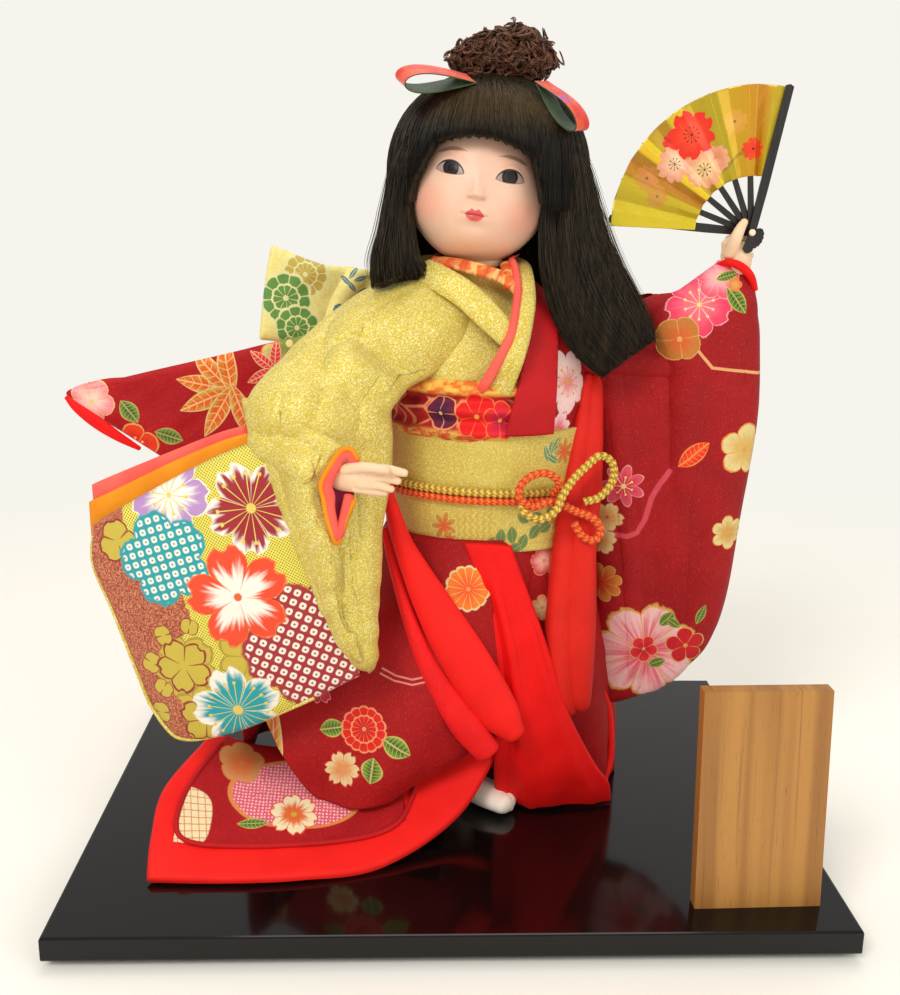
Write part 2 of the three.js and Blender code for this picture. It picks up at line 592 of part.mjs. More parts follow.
// Hair: a crown over the skull, open at the face, and a fringe in the opening
const hairHeight = head.centreHeight + hair.aboveHead;
const crown = ball(hair.x, hair.y, hairHeight, hair.halfWidth, hair.halfDepth, hair.rise, 18);
const opening = (grow) => {
  const width = hair.opening + 2 * grow;
  const box = new THREE.BoxGeometry(width, 60, 24 + 2 * grow).translate(0, -44 + grow, hair.fringeBottom + 12);
  return moved(solid(box), headMatrix);
};
const faceGap = moved(
  solid(new THREE.BoxGeometry(hair.opening, 60, 100).translate(0, -42, hair.fringeBottom - 50)),
  headMatrix,
);
const below = solid(new THREE.BoxGeometry(140, 140, 80).translate(hair.x, 0, hairHeight - 17 - 40));
add('hair_fringe', crown.intersect(opening(0)), 'hair');
add('wig_crown', crown.subtract(faceGap).subtract(opening(clearance)).subtract(below), 'hair');

// A curled hairpiece, as a heap of tight knots of curl
const curlBalls = [];
for (let i = 0; i < 9; i++) {
  const angle = i * 2.4;
  const reach = 4.6 * Math.sqrt(i);
  const size = 9.2 - 0.2 * i;
  curlBalls.push(ball(
    21 + reach * 1.55 * Math.cos(angle), 3 + reach * 0.95 * Math.sin(angle),
    hairHeight + 59 + 2.6 * Math.cos(i * 1.7) - 0.05 * reach * reach + (i % 3), size, size * 0.92, size * 0.86, 7,
  ));
}
add('curl_hairpiece', join(...curlBalls).simplify(0.4), 'curls');

// A ribbon loop: a band bent back on itself, drawn in plan and given the ribbon's width
function ribbonLoop(long, high, width, thick, matrix) {
  const outline = (grow) => {
    const points = [];
    for (let i = 0; i < 22; i++) {
      const t = (i / 22) * 2 * Math.PI;
      const pinch = 0.5 - 0.5 * Math.cos(t);
      points.push([
        (long / 2) * (1 - Math.cos(t)) + grow * -Math.cos(t),
        (high / 2 * pinch ** 0.7 + grow) * Math.sin(t),
      ]);
    }
    return points;
  };
  const shape = new THREE.Shape(outline(0).map(([a, b]) => new THREE.Vector2(a, b)));
  const hole = new THREE.Path(outline(-thick).map(([a, b]) => new THREE.Vector2(a, b)).reverse());
  shape.holes.push(hole);
  const geometry = new THREE.ExtrudeGeometry(shape, { depth: width, bevelEnabled: false });
  return solid(geometry.rotateX(Math.PI / 2).translate(0, width / 2, 0).applyMatrix4(matrix));
}
const place = (x, y, z, turnX, turnY, turnZ) => new THREE.Matrix4().makeTranslation(x, y, z)
  .multiply(new THREE.Matrix4().makeRotationFromEuler(new THREE.Euler(rad(turnX), rad(turnY), rad(turnZ), 'ZYX')));
add('ribbon_right', ribbonLoop(37, 13, 11, 1.2, place(9, -16.5, hairHeight + 45.5, -24, 166, 0)), 'ribbon');
add('ribbon_left', ribbonLoop(30, 13, 10, 1.2, place(40, -16, hairHeight + 43, -20, 52, 0)), 'ribbon');

// Bodice and collars
const goldLevels = [[202, 17, 3, 48, 38], [225, 16, 3, 48, 40], [240, 14, 3, 46, 37], [256, 11, 4, 42, 33], [270, 9, 3, 32, 28], [280, 8, 2, 23, 21], [286, 8, 2, 18, 16]];
const wider = (levels, by) => levels.map(([h, x, y, rx, ry]) => [h, x, y, rx + by, ry + by]);
const gold = add('gold_bodice', body(goldLevels, { sides: 22, steps: 1 }), 'gold');
const band = (stops, options) => limb(stops, { sides: 8, steps: 2, ...options }).subtract(keepHead);
const collarFacing = [-0.1, -1, 0.25];
add('gold_collar_right', band([
  [4, 20, 286, 5.3, 2.4], [-12, 10, 287, 5.3, 2.5], [-17.5, -9, 286.5, 5.3, 2.6], [-9, -22, 284.5, 5.3, 2.8],
  [5, -31, 277.5, 5.3, 2.8], [17, -36, 267, 5.3, 2.6], [25, -38.5, 258, 5, 2.4],
], { facing: collarFacing }), 'gold');
add('inner_collar', band([
  [27, -36, 268, 3.4, 2.4], [15, -29, 281, 3.4, 2.4], [2, -22, 287.5, 3.4, 2.4], [-9, -10, 290.5, 3.4, 2.4], [-6, 8, 291, 3.4, 2.4],
  [8, 16, 291, 3.4, 2.4], [20, 10, 291, 3.4, 2.4], [24.5, -8, 289.5, 3.4, 2.6], [25, -22, 285, 3.4, 2.6], [25.5, -33, 274, 3, 2.4],
], { facing: [0, -0.8, 0.6] }), 'collar');
add('pink_collar', band([
  [27, -6, 291, 1.9, 3], [28, -22, 287, 1.9, 3], [28.6, -31, 278, 1.9, 3.2], [27.2, -37, 267.5, 1.9, 3.2], [25.3, -40, 257.7, 2.1, 3],
  [20.7, -42, 247.8, 2.3, 2.6], [13.5, -43, 233.8, 2.5, 2.4], [10, -43.5, 226, 2.5, 2],
], { facing: collarFacing }), 'pink');
add('gold_collar_left', band([
  [14, 23, 286, 4.6, 2.4], [27, 14, 287, 4.6, 2.5], [32, -6, 287, 4.6, 2.8], [32.6, -22, 283, 4.6, 3],
  [33, -31, 274, 4.6, 3.2], [31.5, -36.5, 264, 4.8, 3.2], [29, -39.5, 253, 5, 3.2], [25.5, -41.5, 243, 5.4, 3], [18, -43, 227, 6, 2.6],
], { facing: collarFacing }), 'gold');

// Clothes at the waist
const waistLevels = [[203, 50, 39.5], [209, 52, 43], [214, 49.8, 40.5], [220, 51.2, 43], [225, 49, 41], [230, 49.5, 42.5], [234, 48, 38.5]]
  .map(([h, rx, ry]) => [h, 17, 3.5, rx, ry]);
const crossing = halfSpace(33, 16, 222);
const obiShell = (low, high, grow) => [
  [low, obi.x, obi.y, obi.halfWidth - 1 + grow, obi.halfDepth - 1 + grow],
  [(low + high) / 2, obi.x, obi.y, obi.halfWidth + grow, obi.halfDepth + grow],
  [high, obi.x, obi.y, obi.halfWidth + grow, obi.halfDepth + grow],
];
const obiBore = stack(obiShell(obi.bottom - 1, obi.top + 1, -obi.thick), { sides: 28, steps: 1 });
add('obi', stack(obiShell(obi.bottom, obi.top, 0), { sides: 28, steps: 1 }).subtract(obiBore), 'obi');
add('waist_folds', body(waistLevels, { sides: 22, steps: 1 }).subtract(crossing), 'crepe');
const redLevels = [[150, 17, 4, 49, 37], [200, 17, 4, 49, 39.5], [225, 17, 4, 51.5, 41.5], [242, 16, 4, 51, 38.5], [258, 14, 4, 46, 34.5], [272, 12, 3, 35, 29], [282, 11, 2, 25, 22]];
const redSide = halfSpace(34.5, 13, 254);
add('red_collar', body(wider(redLevels, 2.6), { sides: 22, steps: 1 }).intersect(redSide)
  .subtract(halfSpace(50, 2, 250)), 'crepe');
add('red_bodice', body(redLevels, { sides: 22, steps: 1 }).intersect(redSide), 'crepe');
const ring = (height, radius, out) => {
  const stops = Array.from({ length: 22 }, (_, i) => {
    const angle = (i / 22) * 2 * Math.PI;
    return [
      obi.x + (obi.halfWidth + out) * Math.cos(angle), obi.y + (obi.halfDepth + out) * Math.sin(angle),
      height - 1.6 * Math.cos(angle), radius, radius,
    ];
  });
  return limb(stops, { facing: [0, 0, 1], sides: cord.sides, steps: 1, closed: true });
};
add('obi_cord_gold', ring(cord.goldHeight, cord.radius, cord.radius + clearance), 'goldCord');
add('obi_cord_orange', ring(cord.orangeHeight, cord.radius, cord.radius + clearance), 'orangeCord');
const cordPath = (points, facing) => limb(points.map((p) => [...p, cord.radius, cord.radius]), { facing, sides: cord.sides, steps: 2 });
add('cord_bow_gold', cordPath([
  [33, -39.5, 177], [34, -44.5, 170.5], [41.5, -46, 167.5], [49, -45, 171], [53, -42.4, 178.5], [58, -39, 185.5],
  [65, -36, 192], [72, -34, 197], [78.5, -33, 193], [79, -33, 184], [73, -34, 176], [65, -35, 173.5],
], [0.1, -1, 0.05]), 'goldCord');
add('cord_bow_orange', cordPath([
  [49, -35.5, 177], [51, -41, 185], [45, -43.4, 190], [37.5, -43.6, 189], [32, -44, 184], [31.5, -44, 177.5],
  [38, -42.6, 172.8], [46, -41, 174.6], [53, -38.6, 173], [61, -37.5, 169], [69, -38, 166], [73.5, -38, 160],
  [70.5, -38, 154.5], [64.5, -38, 156.5], [60, -37.5, 163],
], [0.1, -1, 0.05]), 'orangeCord');

// The tied sash at the back: two wings on a slant, and the wrap that holds them to the obi
const knotY = obi.y + obi.halfDepth + 2;
add('sash_wrap', limb([
  [-8, knotY, 210, 17, 4], [8, knotY + 6, 222, 17, 5], [24, knotY + 8, 200, 17, 6], [34, knotY + 2, 176, 17, 4],
], { facing: [0, 1, 0], sides: 14 }), 'obi');
add('sash_wings', drape([
  [[-98, 49, 296], [-72, 50, 286], [-44, 52, 281], [0, 54, 262], [52, 54, 225], [86, 50, 206], [104, 48, 196]],
  [[-102, 49, 270], [-78, 52, 266], [-50, 54, 258], [2, 56, 232], [46, 56, 200], [76, 52, 182], [92, 49, 170]],
  [[-105, 47, 244], [-82, 50, 241], [-54, 52, 232], [4, 54, 204], [40, 54, 176], [66, 50, 156], [80, 47, 146]],
], { thick: 8, rim: 2.4, nu: 11, nv: 4, fold: (u) => 1.4 * Math.cos(u * 6 * Math.PI) }), 'obi');

// Red sleeve on the raised arm
const redSleeveRows = [
  [[131, -11, 291], [137, -12, 292], [144, -12, 286.5], [149, -11, 278.5]],
  [[102, -7, 271], [119, -12, 275], [136, -14, 274], [151.5, -11, 266]],
  [[64, -1, 262], [92, -8, 262], [124, -13, 258], [154, -10, 250]],
  [[70, -1, 234], [98, -7, 232], [128, -12, 225], [156, -10, 212]],
  [[76, -1, 178], [102, -6, 174], [128, -9, 168], [151.5, -9, 160]],
  [[79, -1, 122], [104, -5, 120], [128, -8, 116], [147.5, -7, 112]],
  [[82, -1, 76], [104, -4, 74], [122, -6, 76], [139, -5, 84]],
  [[88, -1, 50], [98, -3, 52], [108, -4, 56], [117, -4, 63]],
];
const ridge = (u, v, u0, v0, u1, v1, width) => {
  const len = (u1 - u0) ** 2 + (v1 - v0) ** 2;
  const t = Math.min(Math.max(((u - u0) * (u1 - u0) + (v - v0) * (v1 - v0)) / len, 0), 1);
  const off = Math.hypot(u - u0 - t * (u1 - u0), v - v0 - t * (v1 - v0));
  return Math.exp(-((off / width) ** 2));
};
const redSleeveFold = (u, v) => {
  return 4.5 * ridge(u, v, 0.05, 0.34, 0.5, 0.36, 0.1) - 4 * ridge(u, v, 0.42, 0.18, 0.52, 0.4, 0.06)
    + 1.6 * ridge(u, v, 0.35, 0.5, 0.45, 0.9, 0.12);
};
add('red_sleeve', drape(redSleeveRows, { thick: 17, rim: 3, nu: 10, nv: 15, fold: redSleeveFold, crown: 3 }), 'crepe');
add('red_sleeve_lining', drape([
  [[69, -3, 226], [74, -4, 227], [79, -3, 226]],
  [[60, -10, 186], [69, -12, 186], [78, -8, 186]],
  [[57, -12, 140], [67, -14, 140], [79, -9, 140]],
  [[61, -12, 90], [71, -13, 90], [81, -8, 90]],
  [[66, -9, 44], [73, -10, 42], [82, -6, 48]],
], { thick: 10, rim: 4, nu: 6, nv: 8, fold: (u) => 2 * Math.cos(u * 4 * Math.PI) }), 'vermilion');

// Gold sleeve on the lowered arm: plain upper part and drop, patterned bag, and two inner sleeves.
// Its cuff is a slit, with the lining showing round the wrist.
add('cuff_lining', drape([
  [[-65, -80, 208], [-59, -83, 209], [-53, -82, 207]],
  [[-64, -82, 196], [-57, -85.5, 196], [-50, -84, 197]],
  [[-61, -82, 182], [-55, -85, 182], [-49, -84, 184]],
  [[-54, -80, 168], [-51, -82, 167], [-48.5, -81.5, 168]],
], { thick: 3.4, rim: 2.4, nu: 6, nv: 7 }), 'pink');
const goldSleeve = join(
  limb([[-30, 2, 262, 13, 15], [-44, -8, 256, 18, 18], [-62, -24, 246, 22, 20], [-76, -38, 228, 22, 18], [-82, -48, 214, 17, 15]], { sides: 10 }),
  limb([[-86, -50, 214, 15, 12], [-74, -62, 205, 14, 12], [-61, -71, 195, 15, 11]], { sides: 8 }),
  drape([
    [[-40, 0, 268], [-38, -14, 266], [-34, -26, 262], [-32, -34, 256]],
    [[-62, -24, 240], [-48, -38, 238], [-38, -42, 236], [-33, -40, 232]],
    [[-70, -48, 200], [-54, -50, 200], [-42, -50, 200], [-33, -46, 200]],
    [[-62, -56, 160], [-52, -60, 160], [-43, -58, 160], [-34, -52, 160]],
    [[-50, -64, 122], [-47, -68, 122], [-42, -65, 122], [-36, -58, 122]],
    [[-43, -68, 88], [-42, -70, 87], [-40.5, -69, 87], [-38, -66, 88]],
  ], { thick: 11, rim: 4, nu: 5, nv: 7 }),
  drape([
    [[-100, -50, 222], [-88, -62, 218], [-72, -74, 212], [-58, -80, 207]],
    [[-92, -54, 196], [-82, -66, 194], [-72, -76, 192], [-62, -81, 190]],
    [[-78, -58, 160], [-68, -70, 160], [-58, -78, 160], [-49, -80, 162]],
    [[-60, -65, 126], [-55, -72, 126], [-49, -78, 126], [-44, -79, 127]],
    [[-44, -72, 96], [-43, -74, 95], [-41, -75, 95], [-39, -74, 96]],
  ], { thick: 8, rim: 3, nu: 5, nv: 6 }),
);
add('gold_sleeve', goldSleeve, 'gold');

const bagRows = [
  [[-177, -44, 178], [-152, -48, 190], [-125, -52, 203], [-98, -54, 216], [-72, -60, 214]],
  [[-175, -46, 160], [-148, -54, 168], [-118, -58, 178], [-90, -60, 188], [-64, -64, 190]],
  [[-160, -50, 116], [-134, -60, 126], [-106, -64, 138], [-78, -66, 150], [-54, -68, 156]],
  [[-146, -54, 80], [-120, -64, 88], [-94, -68, 100], [-68, -70, 112], [-47, -72, 124]],
  [[-133, -58, 57], [-110, -66, 61], [-86, -69, 69], [-62, -71, 80], [-41, -72, 91]],
];
const bagFold = (u, v) => 1.6 * Math.sin(u * Math.PI * 2.2 + v) * v;
const behind = (rows, x, y, z) => rows.map((row) => row.map(([a, b, c]) => [a + x, b + y, c + z]));
add('gold_sleeve_bag', drape(bagRows, { thick: 9, rim: 2.4, nu: 10, nv: 7, fold: bagFold, to: [0.97, 1] }), 'brocade');
add('orange_inner_sleeve', drape(behind(bagRows, -3, 9.5, 4.5), { thick: 5.5, rim: 3, nu: 6, nv: 5, fold: bagFold, to: [0.86, 0.94] }), 'orange');
add('pink_inner_sleeve', drape(behind(bagRows, -1.5, 16, 9.5), { thick: 6, rim: 3, nu: 6, nv: 5, fold: bagFold, to: [0.84, 0.9] }), 'pink');

// The red sleeve slipped off the right arm, swinging out behind
const slippedRows = [
  [[-193, 28, 226], [-130, 33, 238], [-75, 36, 248], [-24, 32, 252]],
  [[-206, 28, 214], [-136, 33, 216], [-77, 36, 220], [-24, 32, 224]],
  [[-176, 26, 194], [-124, 30, 192], [-72, 33, 192], [-23, 30, 196]],
  [[-152, 24, 179], [-108, 28, 168], [-66, 31, 164], [-22, 28, 168]],
];
const slippedFold = (u, v) => 1.8 * Math.sin(u * 7 + v * 2) * (0.4 + 0.6 * v);
add('slipped_sleeve', drape(slippedRows, { thick: 9, rim: 3, nu: 10, nv: 6, fold: slippedFold }), 'crepe');

// Skirt: a left lobe whose hem swings out, a right lobe that stands on the board
const leftLobe = stack([
  [153, 12, 2, 44, 36.5], [120, 0, -3, 48, 42], [90, -12, -7, 55, 45], [60, -26, -10, 64, 46], [40, -38, -12, 67, 46], [25, -49, -14, 62, 43],
], { sides: 22, steps: 1, fold: (a, t) => t * (2.2 * Math.cos(a * 9 + 1) + 1.4 * Math.cos(a * 5)) });
const rightLobe = stack([
  [153, 20, 5, 46, 35.5], [110, 30, 8, 50, 37], [70, 42, 11, 48, 38], [30, 52, 14, 41.5, 37], [1, 56, 15, 38, 35],
], { sides: 20, steps: 1, fold: (a, t) => t * 1.8 * Math.cos(a * 8) });
const footRoom = ball(16, -22, 8, 24, 24, 20, 10);
add('flap_roll', limb([
  [-29, -42, 168, 6, 4.5], [-12, -46, 146, 8.5, 5], [2, -50, 118, 10, 5.5], [14, -54, 92, 12, 6], [25, -55, 70, 13.5, 6],
], { sides: 14, dome: 0.9 }), 'vermilion');
add('flap_piping', limb([
  [-36, -40, 166, 3, 3.5], [-22, -44, 142, 4, 4], [-8, -49, 112, 5, 4.5], [5, -53, 84, 6, 5], [14, -54, 58, 6.5, 5],
], { sides: 10 }), 'vermilion');
add('skirt_left', leftLobe.subtract(footRoom), 'crepe');
add('lining_panel', drape([
  [[4, -37, 152], [17, -38.5, 152], [30, -36, 152]],
  [[12, -40, 110], [30, -40, 110], [48, -35, 110]],
  [[20, -38, 70], [42, -38, 70], [66, -32, 70]],
  [[27, -28, 30], [54, -30, 30], [82, -22, 30]],
  [[30, -19, 1.2], [60, -22, 1.2], [92, -12, 1.2]],
], { thick: 5, rim: 2, nu: 9, nv: 10, fold: (u, v) => 1.2 * v * Math.sin(u * 7) }), 'vermilion');
add('skirt_right', rightLobe.subtract(footRoom), 'crepe');

// The train that lies on the board at the left, in its padded border
const trainRows = [
  [[-148, -97, 2.4], [-110, -98, 2.2], [-74, -96, 2.2], [-35, -86, 2.2], [4, -56, 13], [29, -25, 40]],
  [[-150, -80, 14], [-112, -78, 8], [-78, -76, 7], [-36, -66, 8], [2, -42, 22], [24, -16, 48]],
  [[-148, -56, 27], [-112, -52, 18], [-80, -50, 16], [-38, -42, 18], [0, -28, 32], [16, -8, 56]],
  [[-130, -20, 38], [-104, -20, 30], [-78, -20, 28], [-40, -20, 30], [-4, -14, 42], [8, 2, 62]],
];
add('train', drape(trainRows, { thick: 6, rim: 4, nu: 14, nv: 8 }).subtract(footRoom), 'vermilion');

// Long hair, last, so that it lies on what it falls over
add('hair_side_right', limb([
  [-22, -8, 347, 5, 14], [-26.5, -9, 333, 6.5, 13], [-28, -10, 318, 7.5, 11], [-28.5, -12, 304, 8.5, 10], [-27.5, -14, 292, 11.5, 9],
  [-28, -16, 283, 12.5, 6],
], { sides: 12 }), 'hair');
add('hair_side_left', limb([
  [50, -4, 348, 7, 16], [52.5, -8, 338, 11, 16], [54, -11, 322, 13.5, 14], [55, -15, 306, 15.5, 12], [57, -18, 291, 19, 11],
  [65.5, -21, 274, 22, 10], [75.5, -24, 255, 22.5, 9], [84, -26, 240, 16, 6],
], { sides: 12 }), 'hair');
add('hair_back', drape([
  [[-26, 22, 322], [-8, 37, 322], [14, 42, 322], [36, 38, 322], [56, 24, 322]],
  [[-30, 18, 305], [-12, 35, 305], [14, 41, 305], [38, 36, 305], [60, 20, 305]],
  [[-34, 18, 285], [-12, 34, 282], [14, 40, 280], [40, 35, 282], [64, 18, 285]],
  [[-30, 24, 258], [-12, 38, 254], [14, 43, 252], [40, 39, 254], [66, 24, 258]],
], { thick: 10, rim: 3, nu: 9, nv: 5, fold: (u) => 0.8 * Math.cos(u * 30) }), 'hair');

export default root;
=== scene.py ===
# The dancing doll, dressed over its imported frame. Shapes are written in millimetres above the board's top.
import math
import bpy
import bmesh
import numpy as np
from mathutils import Matrix, Vector
from mathutils.bvhtree import BVHTree


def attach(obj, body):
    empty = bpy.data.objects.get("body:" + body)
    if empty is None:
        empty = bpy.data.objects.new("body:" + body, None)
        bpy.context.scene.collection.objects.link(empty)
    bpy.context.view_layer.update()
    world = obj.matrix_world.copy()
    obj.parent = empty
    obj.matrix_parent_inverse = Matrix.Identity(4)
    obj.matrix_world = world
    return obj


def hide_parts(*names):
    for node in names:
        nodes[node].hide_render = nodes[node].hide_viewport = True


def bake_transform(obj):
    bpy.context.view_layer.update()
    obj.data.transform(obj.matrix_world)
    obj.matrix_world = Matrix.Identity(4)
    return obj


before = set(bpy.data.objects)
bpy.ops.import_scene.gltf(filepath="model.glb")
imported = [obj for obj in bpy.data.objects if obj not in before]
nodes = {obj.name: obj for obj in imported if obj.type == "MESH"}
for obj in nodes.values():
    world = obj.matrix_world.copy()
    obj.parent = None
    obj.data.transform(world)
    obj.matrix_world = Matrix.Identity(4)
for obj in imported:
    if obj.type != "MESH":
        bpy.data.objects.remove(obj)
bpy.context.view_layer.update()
BOARD_TOP = 16.0
scene = bpy.context.scene


# Curves and grids

def spline(points, t):
    """Uniform Catmull-Rom through rows of numbers, at each t from 0 to 1."""
    p = np.asarray(points, float)
    last = len(p) - 1
    at = np.clip(np.asarray(t, float), 0, 1) * last
    i = np.minimum(at.astype(int), last - 1)
    f = (at - i).reshape(at.shape + (1,) * (p.ndim - 1))
    ext = np.concatenate([2 * p[:1] - p[1:2], p, 2 * p[-1:] - p[-2:-1]])
    p0, p1, p2, p3 = (ext[i + k] for k in range(4))
    return 0.5 * (2 * p1 + (p2 - p0) * f + (2 * p0 - 5 * p1 + 4 * p2 - p3) * f**2 + (3 * p1 - p0 - 3 * p2 + p3) * f**3)


def unit(v):
    return v / np.maximum(np.linalg.norm(v, axis=-1, keepdims=True), 1e-9)


def surface(rows, nu, nv, start=(0, 0), stop=(1, 1)):
    """Points of a sheet through rows of points, with its share across (u) and along (v) at each."""
    u = np.linspace(start[0], stop[0], nu + 1)
    v = np.linspace(start[1], stop[1], nv + 1)
    along = spline(np.asarray(rows, float), v)
    grid = spline(along.transpose(1, 0, 2), u).transpose(1, 0, 2)
    uu, vv = np.meshgrid(np.linspace(0, 1, nu + 1), np.linspace(0, 1, nv + 1))
    return grid, uu, vv


def grid_normals(grid):
    return unit(np.cross(np.gradient(grid, axis=1), np.gradient(grid, axis=0)))


def ridge(u, v, u0, v0, u1, v1, width):
    span = (u1 - u0) ** 2 + (v1 - v0) ** 2
    t = np.clip(((u - u0) * (u1 - u0) + (v - v0) * (v1 - v0)) / span, 0, 1)
    return np.exp(-((np.hypot(u - u0 - t * (u1 - u0), v - v0 - t * (v1 - v0)) / width) ** 2))


def ripple(points, size):
    """A smooth unevenness between about -1 and 1 that lies in space."""
    x, y, z = (points[..., k] / size for k in range(3))
    return (np.sin(x * 2.1 + 1.3 * np.sin(z * 1.7)) * np.cos(z * 1.9 + 1.1 * np.sin(y * 1.5))
            + 0.5 * np.sin(x * 4.3 - z * 3.1) * np.cos(y * 3.7 + z * 2.3)) / 1.5


# Meshes

def add_mesh(name, points, faces, looks, cloth=None, slots=None):
    points = np.asarray(points, float).reshape(-1, 3)
    mesh = bpy.data.meshes.new(name)
    mesh.from_pydata(((points + (0, 0, BOARD_TOP)) / 1000).tolist(), [], [list(map(int, f)) for f in faces])
    for look in looks if isinstance(looks, list) else [looks]:
        mesh.materials.append(look)
    if slots is not None:
        mesh.polygons.foreach_set("material_index", np.asarray(slots, np.int32))
    mesh.polygons.foreach_set("use_smooth", np.full(len(mesh.polygons), True))
    data = mesh.attributes.new("cloth", "FLOAT_VECTOR", "POINT")
    data.data.foreach_set("vector", np.asarray(points if cloth is None else cloth, np.float32).reshape(-1))
    mesh.update()
    made = bpy.data.objects.new(name, mesh)
    scene.collection.objects.link(made)
    return made


def settle(piece):
    """Makes a piece's modifiers part of its mesh."""
    bpy.context.view_layer.update()
    graph = bpy.context.evaluated_depsgraph_get()
    mesh = bpy.data.meshes.new_from_object(piece.evaluated_get(graph), preserve_all_data_layers=True, depsgraph=graph)
    piece.modifiers.clear()
    piece.data = mesh
    return piece


def positions(piece):
    flat = np.zeros(len(piece.data.vertices) * 3, np.float32)
    piece.data.vertices.foreach_get("co", flat)
    return flat.reshape(-1, 3).astype(float) * 1000 - (0, 0, BOARD_TOP)


def move_to(piece, points):
    piece.data.vertices.foreach_set("co", ((points + (0, 0, BOARD_TOP)) / 1000).astype(np.float32).reshape(-1))
    piece.data.update()


def remember(piece):
    """Keeps where each point is before any pose, for the patterns."""
    data = piece.data.attributes.get("cloth") or piece.data.attributes.new("cloth", "FLOAT_VECTOR", "POINT")
    data.data.foreach_set("vector", positions(piece).astype(np.float32).reshape(-1))


def around(points, x, y, radius):
    """Unrolls points about an upright axis, for patterns: along the round, then up."""
    angle = np.arctan2(points[..., 0] - x, -(points[..., 1] - y))
    return np.stack([angle * radius, np.hypot(points[..., 0] - x, points[..., 1] - y), points[..., 2]], -1)


def padded_cloth(name, grid, half, looks, cloth=None):
    """A closed piece of cloth about a grid of middle points, half as thick as half says, with a round edge.

    looks is one material, or a list of the front's and the back's."""
    n = grid_normals(grid)
    rows, cols = grid.shape[:2]
    half = np.broadcast_to(half, (rows, cols))[..., None]
    front, back = grid + n * half, grid - n * half
    index = np.arange(rows * cols).reshape(rows, cols)
    loop = np.concatenate([index[0, :-1], index[:-1, -1], index[-1, :0:-1], index[:0:-1, 0]])
    du, dv = unit(np.gradient(grid, axis=1)), unit(np.gradient(grid, axis=0))
    out = np.zeros_like(grid)
    out[0] -= dv[0]
    out[-1] += dv[-1]
    out[:, 0] -= du[:, 0]
    out[:, -1] += du[:, -1]
    rim = (grid + unit(out) * half).reshape(-1, 3)[loop]
    points = [front.reshape(-1, 3), back.reshape(-1, 3), rim]
    total = rows * cols
    a = index[:-1, :-1].ravel()
    faces = [np.stack([a, a + 1, a + cols + 1, a + cols], 1), total + np.stack([a, a + cols, a + cols + 1, a + 1], 1)]
    i, j = loop, np.roll(loop, -1)
    ri = 2 * total + np.arange(len(loop))
    rj = np.roll(ri, -1)
    faces += [np.stack([i, ri, rj, j], 1), np.stack([ri, total + i, total + j, rj], 1)]
    points = np.concatenate(points)
    kinds = np.concatenate([np.full(len(f), k) for k, f in zip((0, 1, 2, 2), faces)])
    slots = kinds == 1 if isinstance(looks, list) else None
    if cloth is not None:
        flat = cloth.reshape(-1, 3)
        cloth = np.concatenate([flat, flat, flat[loop]])
    return add_mesh(name, points, np.concatenate(faces), looks, cloth, slots)


def pad(u, v, thick, rim, crown=4):
    """Half of a cloth's thickness: full in its middle and thin at its rim."""
    share = (1 - np.abs(2 * u - 1) ** crown) * (1 - np.abs(2 * v - 1) ** crown)
    return (rim + (thick - rim) * np.sqrt(np.maximum(share, 0))) / 2


def drape(name, rows, look, thick, rim=1.2, nu=60, nv=60, fold=None, lift=0.0, crown=4, start=(0, 0), stop=(1, 1),
          wrinkle=0.0, wrinkle_size=14.0):
    """A sheet of cloth through rows of points, pushed out by its fold and its wrinkles."""
    grid, u, v = surface(rows, nu, nv, start, stop)
    shift = np.full(u.shape, float(lift))
    if fold is not None:
        shift = shift + fold(u, v)
    inside = np.clip(6 * np.minimum(np.minimum(u, 1 - u), np.minimum(v, 1 - v)) + 0.3, 0, 1)
    shift = shift + wrinkle * ripple(grid, wrinkle_size) * inside
    grid = grid + grid_normals(grid) * shift[..., None]
    return padded_cloth(name, grid, pad(u, v, thick, rim, crown), look)


def ring_faces(rings, sides, closed=False):
    i = np.arange(rings if closed else rings - 1)[:, None] * sides
    j = np.arange(sides)[None, :]
    a, b = i + j, i + (j + 1) % sides
    c, d = (a + sides) % (rings * sides), (b + sides) % (rings * sides)
    return np.stack([a, b, d, c], -1).reshape(-1, 4)


def loft(name, rings, look, closed=False, caps=True, cloth=None):
    """A skin through rings of points, closed by a fan of triangles at each end unless caps is off."""
    rings = np.asarray(rings, float)
    count, sides = rings.shape[:2]
    faces = [list(f) for f in ring_faces(count, sides, closed)]
    points = rings.reshape(-1, 3)
    if not closed and caps:
        points = np.concatenate([points, rings[:1].mean(1), rings[-1:].mean(1)])
        faces += end_fans(0, count, sides)
        if cloth is not None:
            cloth = np.concatenate([cloth.reshape(-1, 3), cloth[:1].mean(1), cloth[-1:].mean(1)])
    return add_mesh(name, points, faces, look, cloth)


def end_fans(at, count, sides):
    """The end faces of rings that start at point number at and are followed by their two end points."""
    low, high, last = at + count * sides, at + count * sides + 1, at + (count - 1) * sides
    fans = [([low, at + (j + 1) % sides, at + j], [high, last + j, last + (j + 1) % sides]) for j in range(sides)]
    return [face for pair in fans for face in pair]


def stack_rings(levels, sides=120, steps=10, fold=None):
    t = np.linspace(0, 1, (len(levels) - 1) * steps + 1)
    h, x, y, rx, ry = spline(levels, t).T[..., None]
    angle = np.linspace(0, 2 * math.pi, sides, endpoint=False)[None, :]
    out = 0 if fold is None else fold(angle, t[:, None])
    rings = np.stack([x + (rx + out) * np.cos(angle), y + (ry + out) * np.sin(angle), h + 0 * angle], -1)
    return rings, angle, t[:, None]


